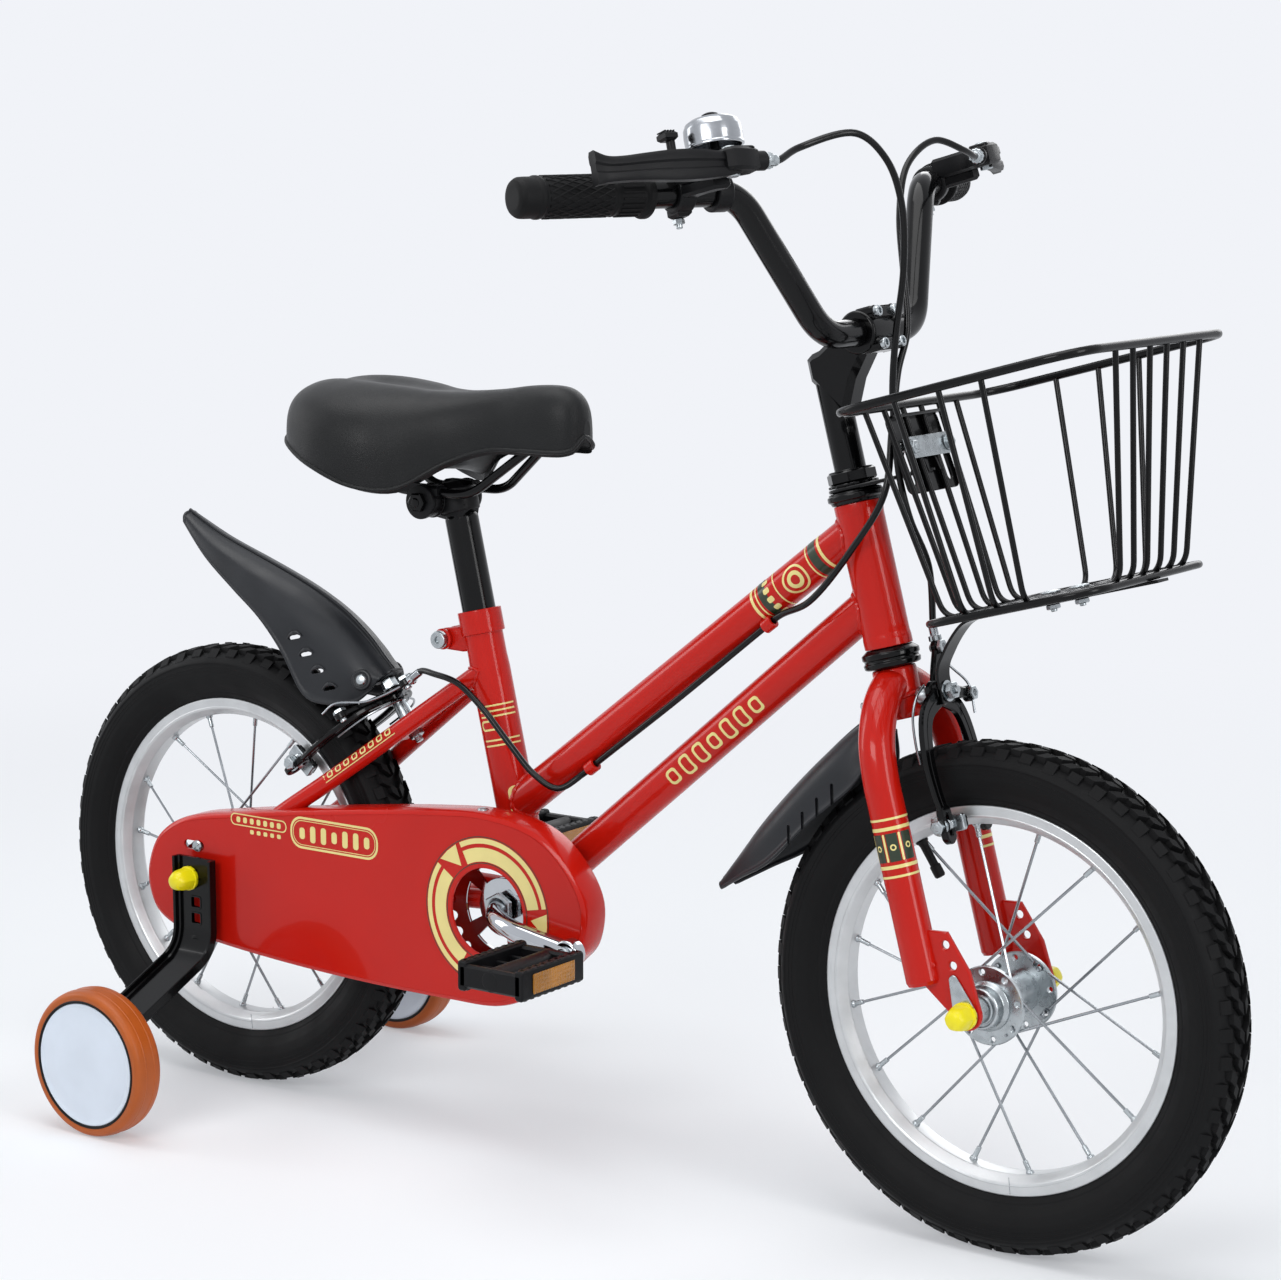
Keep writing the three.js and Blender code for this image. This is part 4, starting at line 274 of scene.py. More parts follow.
def plate(outline, low, high, matrix, holes=(), edge=0.6):
    """A flat plate with softened edges: the outline in the matrix's x and y, low to high along its z."""
    if area(outline) < 0:
        outline = outline[::-1]
    holes = [h if area(h) > 0 else h[::-1] for h in holes]
    e = min(edge, (high - low) / 3)
    shapes = []
    for level, up in ((low, -1), (high, 1)):
        loops = [inset(outline, e)] + [inset(h, -e) for h in holes]
        loops3 = [[V((x, y, level)) for x, y in loop] for loop in loops]
        flat = [p for loop in loops3 for p in loop]
        tris = []
        for t in tessellate_polygon(loops3):
            a, b, c = (flat[i] for i in t)
            tris.append(list(t) if ((b - a).cross(c - a)).z * up > 0 else list(t)[::-1])
        shapes.append((flat, tris))
    for k, loop in enumerate([outline, *holes]):
        sign = 1 if k == 0 else -1
        walls = [(low, sign * e), (low + e, 0), (high - e, 0), (high, sign * e)]
        rows = [[V((x, y, z)) for x, y in (inset(loop, d) if d else loop)] for z, d in walls]
        points, faces = grid(rows)
        shapes.append((points, faces if k == 0 else [f[::-1] for f in faces]))
    return moved(merged(shapes), matrix)


XZ = Matrix(((1, 0, 0, 0), (0, 0, -1, 0), (0, 1, 0, 0), (0, 0, 0, 1)))
YZ = Matrix(((0, 0, 1, 0), (1, 0, 0, 0), (0, 1, 0, 0), (0, 0, 0, 1)))
XY = Matrix.Identity(4)
SWAP_YZ = Matrix(((1, 0, 0, 0), (0, 0, 1, 0), (0, 1, 0, 0), (0, 0, 0, 1)))


def upright(origin):
    """A plane across Y at the origin: its x ahead, its y up."""
    return basis(X, Z, -Y, origin)


def side_plate(outline, y_low, y_high, holes=(), edge=0.6):
    """A plate across Y: its outline is (x, z)."""
    return plate(outline, -y_high, -y_low, XZ, holes, edge)


def block(low, high, matrix=XY, edge=0.8):
    return plate([(low[0], low[1]), (high[0], low[1]), (high[0], high[1]), (low[0], high[1])], low[2],
                 high[2], matrix, (), edge)


def ribbon(line, thick):
    """The outline of a strip along a bent line."""
    pts, left, right = [V(p) for p in line], [], []
    for i, p in enumerate(pts):
        after = (pts[i + 1] - p if i < len(pts) - 1 else p - pts[i - 1]).normalized()
        before = (p - pts[i - 1] if i else after).normalized()
        normal = V((-(before.y + after.y), before.x + after.x)).normalized()
        reach = thick / 2 / max(0.3, normal.dot(V((-after.y, after.x))))
        left.append(tuple(p + normal * reach))
        right.append(tuple(p - normal * reach))
    return left + right[::-1]


def smooth(points, per=8, closed=False):
    """A smooth line through points."""
    made, n = [], len(points)
    spans = n if closed else n - 1
    for i in range(spans):
        p1, p2 = points[i], points[(i + 1) % n]
        p0 = points[i - 1] if (i or closed) else p1 * 2 - p2
        p3 = points[(i + 2) % n] if (i + 2 < n or closed) else p2 * 2 - p1
        t0 = 0.0
        t1 = t0 + max((p1 - p0).length, 1e-6) ** 0.5
        t2 = t1 + max((p2 - p1).length, 1e-6) ** 0.5
        t3 = t2 + max((p3 - p2).length, 1e-6) ** 0.5
        for k in range(per):
            t = t1 + (t2 - t1) * k / per
            a1 = p0 * ((t1 - t) / (t1 - t0)) + p1 * ((t - t0) / (t1 - t0))
            a2 = p1 * ((t2 - t) / (t2 - t1)) + p2 * ((t - t1) / (t2 - t1))
            a3 = p2 * ((t3 - t) / (t3 - t2)) + p3 * ((t - t2) / (t3 - t2))
            b1 = a1 * ((t2 - t) / (t2 - t0)) + a2 * ((t - t0) / (t2 - t0))
            b2 = a2 * ((t3 - t) / (t3 - t1)) + a3 * ((t - t1) / (t3 - t1))
            made.append(b1 * ((t2 - t) / (t2 - t1)) + b2 * ((t - t1) / (t2 - t1)))
    return made if closed else [*made, points[-1]]


def bent(points, rounding, steps=8):
    """A line with rounded corners."""
    made = [points[0]]
    for p, q, r in zip(points, points[1:], points[2:]):
        start, end = q + (p - q).normalized() * rounding, q + (r - q).normalized() * rounding
        for i in range(steps + 1):
            t = i / steps
            made.append(start * (1 - t) ** 2 + q * (2 * t * (1 - t)) + end * (t * t))
    return [*made, points[-1]]


def even_points(line, steps, closed=False):
    """A line cut into even steps; a closed one ends one step before its start."""
    line = [*line, line[0]] if closed else line
    lengths = [0.0]
    for a, b in zip(line, line[1:]):
        lengths.append(lengths[-1] + (b - a).length)
    made, j = [], 0
    for k in range(steps if closed else steps + 1):
        s = lengths[-1] * k / steps
        while j < len(line) - 2 and lengths[j + 1] < s:
            j += 1
        made.append(line[j].lerp(line[j + 1], (s - lengths[j]) / max(1e-9, lengths[j + 1] - lengths[j])))
    return made


def blend_values(values, t):
    """A list of number rows read at t from 0 to 1, smoothly."""
    place = t * (len(values) - 1)
    i = min(int(place), len(values) - 2)
    f = place - i
    rows = [values[max(i - 1, 0)], values[i], values[i + 1], values[min(i + 2, len(values) - 1)]]
    made = []
    for a, b, c, d in zip(*rows):
        made.append(0.5 * (2 * b + (c - a) * f + (2 * a - 5 * b + 4 * c - d) * f * f
                           + (3 * b - a - 3 * c + d) * f ** 3))
    return made


# Materials


def srgb(code):
    """A hex colour as linear red, green, blue and alpha."""
    parts = [int(code[i:i + 2], 16) / 255 for i in (1, 3, 5)]
    return (*[c / 12.92 if c <= 0.04045 else ((c + 0.055) / 1.055) ** 2.4 for c in parts], 1.0)


def add(tree, kind, inputs=(), **settings):
    """A node with its settings, and its inputs as values or links."""
    node = tree.nodes.new(kind)
    for key, value in settings.items():
        setattr(node, key, value)
    for key, value in dict(inputs).items():
        if isinstance(value, bpy.types.NodeSocket):
            tree.links.new(value, node.inputs[key])
        else:
            node.inputs[key].default_value = value
    return node


def surface(name, colour, roughness, metallic=0.0, coat=0.0, shine=0.5, grain_mm=1.0, grain=0.15,
            depth_mm=0.2, cloud_mm=25.0, shade=0.85, spread=0.06, sheen=0.0):
    """A finish with a fine relief, and with tone and roughness that drift in soft clouds (sizes in mm)."""
    material = bpy.data.materials.new(name)
    material.use_nodes = True
    tree = material.node_tree
    shader = tree.nodes["Principled BSDF"]
    place = add(tree, "ShaderNodeTexCoord").outputs["Object"]
    clouds = add(tree, "ShaderNodeTexNoise", {"Vector": place, "Scale": 1000 / cloud_mm, "Detail": 3.0})
    fine = add(tree, "ShaderNodeTexNoise", {"Vector": place, "Scale": 1000 / grain_mm, "Detail": 4.0})
    light = srgb(colour)
    tone = add(tree, "ShaderNodeValToRGB", {"Fac": clouds.outputs["Fac"]})
    dark_end, light_end = tone.color_ramp.elements
    dark_end.position, light_end.position = 0.35, 0.68
    dark_end.color, light_end.color = (*[c * shade for c in light[:3]], 1.0), light
    gloss = add(tree, "ShaderNodeMapRange", {
        "Value": clouds.outputs["Fac"], "From Min": 0.3, "From Max": 0.7,
        "To Min": max(0.02, roughness - spread), "To Max": roughness + spread})
    bump = add(tree, "ShaderNodeBump", {"Height": fine.outputs["Fac"], "Strength": grain,
                                        "Distance": depth_mm * MM})
    tree.links.new(tone.outputs["Color"], shader.inputs["Base Color"])
    tree.links.new(gloss.outputs["Result"], shader.inputs["Roughness"])
    tree.links.new(bump.outputs["Normal"], shader.inputs["Normal"])
    shader.inputs["Metallic"].default_value = metallic
    shader.inputs["Specular IOR Level"].default_value = shine
    shader.inputs["Coat Weight"].default_value = coat
    shader.inputs["Coat Roughness"].default_value = 0.04
    shader.inputs["Sheen Weight"].default_value = sheen
    return material


# Enamel sprayed on steel and stoved: a deep even red under a clear gloss, with a faint ripple 4 mm across.
RED = surface("red_enamel_sprayed", "#c0180c", 0.24, coat=0.3, shine=0.12, grain_mm=4, grain=0.12,
              cloud_mm=110, shade=0.92)
# Black enamel sprayed on steel tube: nearly mirror-black, the same ripple a little finer.
BLACK = surface("black_enamel_sprayed", "#060607", 0.18, coat=0.2, shine=0.12, grain_mm=3.3, grain=0.12,
                shade=0.8)
# Wire dipped in plastic: a soft thick black skin with small sags, 1.5 mm across.
WIRE = surface("black_dip_coated_wire", "#060607", 0.26, coat=0.12, shine=0.15, grain_mm=1.5,
               grain=0.25, shade=0.8)
# Nylon moulded in an etched tool: an even dull black with a pebbled skin, 0.7 mm across.
PLASTIC = surface("black_moulded_nylon", "#0c0c0e", 0.42, shine=0.18, grain_mm=0.7, grain=0.35,
                  shade=0.75, spread=0.08)
# Polypropylene moulded thin: greyer and waxier, with cloudy flow marks 40 mm long.
GUARD_PLASTIC = surface("grey_moulded_polypropylene", "#1f2125", 0.4, shine=0.32, grain_mm=1.1,
                        grain=0.3, cloud_mm=40, shade=0.75, spread=0.1)
# Rubber moulded soft: matt and a little dusty, with the tool's grit of 0.6 mm.
GRIP = surface("grip_moulded_rubber", "#09090a", 0.55, shine=0.15, grain_mm=0.6, grain=0.4, shade=0.75)
# Rubber cured in a steel mould: matt charcoal black, with dust clouds 30 mm wide and a 0.8 mm skin.
TYRE = surface("tyre_cured_rubber", "#0a0a0b", 0.6, shine=0.16, grain_mm=0.8, grain=0.35, cloud_mm=30,
               shade=0.7, spread=0.08)
# Aluminium rolled and etched: a pale satin white-grey, the rolling haze 16 mm wide.
ALLOY = surface("rim_rolled_aluminium", "#cfd1d2", 0.36, metallic=0.75, grain_mm=1.1, grain=0.3,
                cloud_mm=16, shade=0.9)
# Steel barrel-plated with zinc: bluish grey, its spangle in patches 8 mm wide.
ZINC = surface("zinc_plated_steel", "#b7bdc0", 0.28, metallic=1.0, grain_mm=1.4, grain=0.25, cloud_mm=8,
               shade=0.75)
# Steel wire drawn through a die: thin bright grey lines.
SPOKE = surface("spoke_drawn_steel", "#9da1a5", 0.24, metallic=1.0, grain_mm=0.7, grain=0.2, shade=0.85)
# Chrome on polished steel: a mirror with the least haze, its waves 16 mm long.
CHROME = surface("chrome_plate_polished", "#b9bcc0", 0.07, metallic=1.0, grain_mm=16, grain=0.03,
                 shade=0.93, spread=0.03)
# Chrome over a dome spun and brushed round: silver, with highlights drawn out soft instead of mirrored.
BELL_CHROME = surface("bell_chrome_spun", "#a9acb0", 0.2, metallic=1.0, grain_mm=16, grain=0.03,
                      cloud_mm=12, shade=0.8, spread=0.04)
# Cable housing extruded in PVC: a tight smooth black skin with a narrow shine.
CABLE = surface("cable_extruded_pvc", "#050506", 0.24, coat=0.1, shine=0.2, grain_mm=1.1, grain=0.15,
                shade=0.8)
# Vinyl calendered with a leather grain: soft satin charcoal; its pebbles are 0.9 mm wide and 0.4 mm high.
VINYL = surface("saddle_grained_vinyl", "#121314", 0.44, shine=0.22, grain_mm=0.9, grain=0.5,
                depth_mm=0.4, shade=0.8, sheen=0.04)
# Polyethylene moulded in bright yellow: waxy, slightly see-through at its edges.
YELLOW = surface("yellow_moulded_polyethylene", "#efe00c", 0.34, grain_mm=2, grain=0.2, shade=0.93)
# ABS moulded in a polished tool: a cold white with a wet gloss that mirrors softly.
WHITE = surface("white_polished_abs", "#dde6f2", 0.14, coat=0.5, grain_mm=11, grain=0.06, shade=0.9,
                cloud_mm=60)
# Polyurethane cast round the wheel: a dull warm orange with faint swirls 29 mm wide.
ORANGE = surface("orange_cast_urethane", "#b4581b", 0.42, shine=0.35, grain_mm=2, grain=0.3,
                 cloud_mm=29, shade=0.86)
# Acrylic moulded over prisms: a deep amber that breaks the light up in points, 2.4 mm apart.
AMBER = surface("amber_prism_acrylic", "#b9791a", 0.2, coat=0.4, grain_mm=2.4, grain=0.9, depth_mm=0.6,
                shade=0.7)
# Film printed in pale gold: thin, smooth and a little metallic.
GOLD = surface("gold_print_film", "#ead98c", 0.34, coat=0.3, shine=0.4, grain_mm=3.3, grain=0.1, shade=0.93)
# Film printed in dark green, nearly black.
INK = surface("dark_green_print_film", "#1a2a14", 0.4, coat=0.3, shine=0.4, grain_mm=3.3, grain=0.1,
              shade=0.9)
# Rubber pressed hard for a brake block: dead matt, with grit of 1.1 mm.
PAD = surface("brake_block_rubber", "#0b0b0c", 0.7, shine=0.2, grain_mm=1.1, grain=0.4, shade=0.75)


def piece(name, body, material, shapes, replaces=(), angle=32, weld=True):
    """One object from shapes. It rides on a body of the model; without one it is left unattached."""
    points, faces = merged(shapes)
    mesh = bpy.data.meshes.new(name)
    mesh.from_pydata([p * MM for p in points], [], faces)
    if weld:
        work = bmesh.new()
        work.from_mesh(mesh)
        bmesh.ops.remove_doubles(work, verts=work.verts, dist=2e-6)
        work.to_mesh(mesh)
        work.free()
    mesh.validate()
    mesh.materials.append(material)
    mesh.shade_smooth()
    mesh.set_sharp_from_angle(angle=radians(angle))
    obj = bpy.data.objects.new(name, mesh)
    bpy.context.scene.collection.objects.link(obj)
    if body:
        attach(obj, body)
    if replaces:
        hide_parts(*replaces)
    return obj


def carve(obj, shapes):
    """Cuts shapes out of an object."""
    points, faces = merged(shapes)
    mesh = bpy.data.meshes.new("cutter")
    mesh.from_pydata([p * MM for p in points], [], faces)
    cutter = bpy.data.objects.new("cutter", mesh)
    bpy.context.scene.collection.objects.link(cutter)
    step = obj.modifiers.new("carve", "BOOLEAN")
    step.operation, step.solver, step.object = "DIFFERENCE", "EXACT", cutter
    step.use_self = True
    bpy.context.view_layer.update()
    made = bpy.data.meshes.new_from_object(obj.evaluated_get(bpy.context.evaluated_depsgraph_get()))
    obj.modifiers.clear()
    obj.data = made
    obj.data.set_sharp_from_angle(angle=radians(32))
    bpy.data.objects.remove(cutter)


def decal(outline, holes, mapping, step=2.0):
    """A thin film of the outline laid on a curved surface: mapping turns (u, v) into a point."""
    if area(outline) < 0:
        outline = outline[::-1]
    loops = [[V((u, v, 0)) for u, v in loop] for loop in [outline, *holes]]
    flat = [p for loop in loops for p in loop]
    work = bmesh.new()
    corners = [work.verts.new(p) for p in flat]
    for t in tessellate_polygon(loops):
        a, b, c = (flat[i] for i in t)
        order = t if (b - a).cross(c - a).z > 0 else t[::-1]
        if abs((b - a).cross(c - a).z) > 1e-9:
            work.faces.new([corners[i] for i in order])
    for axis in (0, 1):
        low, high = min(p[axis] for p in flat), max(p[axis] for p in flat)
        pace = step if axis else step * 4
        for k in range(1, int((high - low) / pace) + 1):
            place, normal = V((0, 0, 0)), V((0, 0, 0))
            place[axis], normal[axis] = low + k * pace, 1
            bmesh.ops.bisect_plane(work, geom=work.verts[:] + work.edges[:] + work.faces[:],
                                   plane_co=place, plane_no=normal)
    work.verts.ensure_lookup_table()
    work.verts.index_update()
    made = [mapping(v.co.x, v.co.y) for v in work.verts], [[v.index for v in f.verts] for f in work.faces]
    work.free()
    return made


def stripe(u, wide, reach):
    return [(u, -reach), (u + wide, -reach), (u + wide, reach), (u, reach)]


def on_tube(start, end, radius, facing, lift=0.18):
    """A mapping onto a straight tube: u along it, v round it from the side that faces the given way."""
    d = (end - start).normalized()
    out = (facing - d * facing.dot(d)).normalized()
    other = d.cross(out)

    def mapping(u, v):
        a = v / radius
        return start + d * u + (out * cos(a) + other * sin(a)) * (radius + lift)

    return mapping


def bead(start, end, radius, other_start, other_end, other_radius, size, far=False, count=72):
    """A weld bead where one tube meets another: on its near side, or on its far one."""
    d, e = (end - start).normalized(), (other_end - other_start).normalized()
    a, b = side_vectors(d)
    line = []
    for i in range(count):
        t = 2 * pi * i / count
        p = start + (a * cos(t) + b * sin(t)) * radius - other_start
        pp, dd = p - e * p.dot(e), d - e * d.dot(e)
        qa, qb, qc = dd.dot(dd), 2 * pp.dot(dd), pp.dot(pp) - other_radius ** 2
        root = (-qb + (1 if far else -1) * math.sqrt(qb * qb - 4 * qa * qc)) / (2 * qa)
        line.append(p + d * root + other_start)
    radii = [size * (1 + 0.16 * sin(t * 2 * pi / 4)) for t in range(count)]
    return tube(line, radii, 8, closed=True)


def hex_head(centre, axis, radius, thick, corners=6):
    """A hexagon head or nut with a turned chamfer, from centre along axis."""
    m = basis(*side_vectors(axis), axis.normalized(), centre)
    return plate(polygon(radius, corners), 0, thick, m, (), radius * 0.12)


def screw_head(centre, axis, radius, thick):
    """A domed screw head."""
    profile = [(radius, 0), (radius, thick * 0.35), (radius * 0.82, thick * 0.8), (radius * 0.45, thick),
               (0, thick)]
    return lathe(profile, centre, axis, 24)


# Camera and studio


def set_camera():
    """The camera solved on the photograph's two wheels."""
    yaw, pitch = radians(35.48), radians(9.33)
    ahead = V((-sin(yaw) * cos(pitch), cos(yaw) * cos(pitch), -sin(pitch)))
    right = V((cos(yaw), sin(yaw), 0))
    data = bpy.data.cameras.new("camera")
    data.lens, data.sensor_width = 90.26, 36
    camera = bpy.data.objects.new("camera", data)
    camera.matrix_world = basis(right, right.cross(ahead), -ahead, V((1375.8, -1871.5, 773.7)) * MM)
    bpy.context.scene.collection.objects.link(camera)
    bpy.context.scene.camera = camera


BACKGROUND = "#f1f3f8"


def seen_rays(tree):
    """1 for rays that show the background: those from the camera, off gloss and through glass."""
    rays = add(tree, "ShaderNodeLightPath")
    first = add(tree, "ShaderNodeMath", {0: rays.outputs["Is Camera Ray"], 1: rays.outputs["Is Glossy Ray"]},
                operation="MAXIMUM")
    return add(tree, "ShaderNodeMath", {0: first.outputs[0], 1: rays.outputs["Is Transmission Ray"]},
               operation="MAXIMUM").outputs[0]


def set_world():
    """A dim even fill, with the photograph's plain background where rays see it."""
    world = bpy.data.worlds.new("studio")
    world.use_nodes = True
    tree = world.node_tree
    tree.nodes.clear()
    fill_light = add(tree, "ShaderNodeBackground", {"Color": srgb("#e9eef5"), "Strength": 0.34})
    shown = add(tree, "ShaderNodeBackground", {"Color": srgb(BACKGROUND), "Strength": 1.0})
    both = add(tree, "ShaderNodeMixShader", {0: seen_rays(tree), 1: fill_light.outputs[0],
                                             2: shown.outputs[0]})
    add(tree, "ShaderNodeOutputWorld", {"Surface": both.outputs[0]})
    bpy.context.scene.world = world


def set_floor():
    """A pale floor that keeps the bike's shadow and turns into the background away from it."""
    mesh = bpy.data.meshes.new("floor")
    rings_of_floor = [(r, 0) for r in (0.001, 400, 900, 2000, 5000, 12000, 40000)]
    points, faces = lathe(rings_of_floor, ORIGIN, Z, 48)
    mesh.from_pydata([p * MM for p in points], [], faces)
    floor = bpy.data.objects.new("floor", mesh)
    bpy.context.scene.collection.objects.link(floor)
    material = bpy.data.materials.new("studio_paper_matt")
    material.use_nodes = True
    tree = material.node_tree
    shader = tree.nodes["Principled BSDF"]
    shader.inputs["Base Color"].default_value = srgb("#f4f6f8")
    shader.inputs["Roughness"].default_value = 0.9
    shader.inputs["Specular IOR Level"].default_value = 0.1
    place = add(tree, "ShaderNodeTexCoord")
    out = add(tree, "ShaderNodeVectorMath", {0: place.outputs["Object"]}, operation="LENGTH")
    fade = add(tree, "ShaderNodeMapRange", {"Value": out.outputs["Value"], "From Min": 0.75, "From Max": 2.3,
                                            "To Min": 0.35, "To Max": 1.0}, interpolation_type="SMOOTHSTEP")
    part = add(tree, "ShaderNodeMath", {0: fade.outputs["Result"], 1: seen_rays(tree)}, operation="MULTIPLY")
    shown = add(tree, "ShaderNodeEmission", {"Color": srgb(BACKGROUND), "Strength": 1.0})
    both = add(tree, "ShaderNodeMixShader", {0: part.outputs[0], 1: shader.outputs[0], 2: shown.outputs[0]})
    tree.links.new(both.outputs[0], tree.nodes["Material Output"].inputs["Surface"])
    mesh.materials.append(material)


def softbox(name, place, target, width, height, power):
    """A rectangular studio lamp turned to its target."""
    data = bpy.data.lights.new(name, "AREA")
    data.shape, data.size, data.size_y, data.energy = "RECTANGLE", width * MM, height * MM, power
    lamp = bpy.data.objects.new(name, data)
    lamp.location = V(place) * MM
    lamp.rotation_euler = (V(target) - V(place)).to_track_quat("-Z", "Y").to_euler()
    bpy.context.scene.collection.objects.link(lamp)


bpy.context.scene.view_settings.view_transform = "Standard"
set_camera()
set_world()
set_floor()
softbox("overhead_softbox", (-100, -300, 2600), (0, 0, 250), 2600, 1500, 38)
softbox("front_softbox", (300, -2700, 1700), (0, 0, 300), 1500, 900, 27)
softbox("left_softbox", (-2700, -900, 1300), (-50, 0, 300), 700, 1800, 13)
softbox("right_softbox", (2600, -500, 1300), (100, 0, 300), 700, 1800, 22)
softbox("back_softbox", (-300, 2400, 1500), (0, 0, 350), 2000, 1200, 15)

# Frame

TOP_R, DOWN_R, SEAT_R, HEAD_R, STAY_R, CHAIN_STAY_R = 13.5, 13.5, 15.2, 16.5, 7.0, 7.5
SHELL_R = 22.0
CLAMP_BOLT = V((-133.4, 0, 381.7))
TOP_START, TOP_END = on_seat(70), on_head(85)
DOWN_START, DOWN_END = BB, on_head(34)
STAY_SLOPE = V((-175, 0, -128)).normalized()
STAY_NORMAL = V((STAY_SLOPE.z, 0, -STAY_SLOPE.x))
SEAT_TOP, HEAD_TOP = on_seat(200), on_head(101)
SHELL_RIGHT, SHELL_LEFT = BB - Y * 28, BB + Y * 28
STAY_TOP = on_seat(176)
BRIDGE_DOWN = 93
DROPOUT_IN, DROPOUT_OUT = 50.3, 54.3
EYE_AHEAD, EYE_UP = 0.4, 24
AXLE_R = 4.9


def on_stays(a, y, c):
    return STAY_TOP + STAY_SLOPE * a + Y * y + STAY_NORMAL * c


def seat_stay(side):
    line = [on_stays(0, side * 8.2, 0), on_stays(160, side * 32, 0), on_stays(214, side * 45, 0),
            V((-321, side * 47, 197))]
    return smooth(line, 12)


def chain_stay(side):
    stations = ((-6, 18), (-55, 24), (-112, 33), (-180, 42), (-245, 47), (-264, 47))
    return smooth([BB + V((x, side * y, x * 12 / 290)) for x, y in stations], 8)


def dropout(side):
    """The flat tip that joins both stays and holds the axle."""
    cx, cz = REAR.x, REAR.z
    corners = ((12, -13), (34, -13), (44, -10), (46, -2), (34, 3), (27, 12), (38, 24), (34, 32), (24, 32),
               (10, 30))
    outline = (arc(cx, cz, 15, radians(100), radians(300), 18) + [(cx + x, cz + z) for x, z in corners]
               + arc(cx + EYE_AHEAD, cz + EYE_UP, 6, radians(60), radians(200), 8))
    hole = circle(cx + EYE_AHEAD, cz + EYE_UP, 2.7, 16)
    low, high = sorted((side * DROPOUT_IN, side * DROPOUT_OUT))
    return side_plate(outline, low, high, [hole, circle(cx, cz, 5.4, 20)], 0.9)


def stay_bridge():
    """The triangular plate between the seat stays that the rear brake bolts to."""
    outline = [(16, -23), (16, 23), (-77.8, 12), (-77.8, -12)]
    m = basis(STAY_SLOPE, Y, STAY_SLOPE.cross(Y), STAY_TOP + STAY_SLOPE * BRIDGE_DOWN)
    return plate(outline, -1.5, 1.5, m, [circle(2, 0, 3.4, 18)], 0.7)


def clamp_ears():
    """The collar and the two ears at the top of the seat tube."""
    centre = CLAMP_BOLT
    shapes = [turned([(14.6, 0), (16.6, 0), (16.6, 18), (14.6, 18)], 1.4, on_seat(203), SEAT_UP, 48)]
    for side in SIDES:
        outline = oblong((centre.x, centre.z, 8.0), (centre.x + 17, centre.z + 1, 9.5))
        low, high = sorted((side * 3, side * 9))
        shapes.append(side_plate(outline, low, high, [circle(centre.x, centre.z, 3.2, 16)], 1.2))
        shapes.append(rod(centre + Y * side * 8.6, centre + Y * side * 13, 8.0, 28, 1.2))
    return shapes


def guide_places():
    """The top tube's direction, the way the cable guides stand off it, and their two centres."""
    d = (TOP_END - TOP_START).normalized()
    away = V((d.z, -0.6, -d.x)).normalized()
    return d, away, [TOP_START + (TOP_END - TOP_START) * share + away * 17.6 for share in (0.737, 0.226)]


def cable_guides():
    """The two small barrels under the top tube that carry the rear brake cable."""
    d, away, centres = guide_places()
    shapes = []
    for centre in centres:
        profile = rounded([(2.9, -4.5), (5.2, -4.5), (5.2, 4.5), (2.9, 4.5)], 0.8)
        shapes.append(lathe([*profile, profile[0]], centre, d, 24))
        root = centre - away * 4.8
        shapes.append(tube([root - d * 4, root, root + d * 4], [1.0, 2.4, 1.0], 10))
    return shapes


def frame_shapes():
    """The welded tubes: head, top, down and seat tube, bracket shell, stays with tips, bridges and beads."""
    head = [(12.6, 0), (16.9, 0), (16.9, 6), (16.5, 9), (16.5, 92), (16.9, 95), (16.9, 101), (12.6, 101)]
    seat = [(0, 0), (SEAT_R, 0), (SEAT_R, 176), (14.7, 186), (14.6, 221), (12.9, 221), (12.9, 190), (0, 190)]
    shell = [(17.5, -28), (20.6, -28), (22.0, -26.6), (22.0, 26.6), (20.6, 28), (17.5, 28)]
    shapes = [turned(head, 0.8, HEAD, STEER_UP, 72), tube([TOP_START, TOP_END], TOP_R, 56),
              tube([DOWN_START, DOWN_END], DOWN_R, 56), turned(seat, 0.9, BB, SEAT_UP, 64),
              turned(shell, 0.8, BB, Y, 64)]
    for side in SIDES:
        stay, lower = seat_stay(side), chain_stay(side)
        shapes += [tube(stay, [STAY_R] * (len(stay) - 4) + [6.6, 6.2, 5.9, 5.6], 28),
                   tube(lower, CHAIN_STAY_R, 28), dropout(side)]
        shapes.append(bead(stay[0], stay[3], STAY_R, BB, SEAT_TOP, SEAT_R, 1.3, far=True, count=40))
        shapes.append(tube(lower[-3:], [8.0, 8.3, 7.6], 20))
    shapes += [stay_bridge(), *clamp_ears(), *cable_guides()]
    shapes += [
        bead(TOP_START, TOP_END, TOP_R, BB, SEAT_TOP, SEAT_R, 1.7, far=True),
        bead(TOP_START, TOP_END, TOP_R, HEAD, HEAD_TOP, HEAD_R, 1.7),
        bead(DOWN_START, DOWN_END, DOWN_R, SHELL_RIGHT, SHELL_LEFT, SHELL_R, 1.8, far=True),
        bead(DOWN_START, DOWN_END, DOWN_R, HEAD, HEAD_TOP, HEAD_R, 1.8),
        bead(BB, SEAT_TOP, SEAT_R, SHELL_RIGHT, SHELL_LEFT, SHELL_R, 1.8, far=True),
    ]
    shapes.append(tube([BB + V((-62, y, -2.5)) for y in (-25, 0, 25)], 5.0, 20))
    return shapes


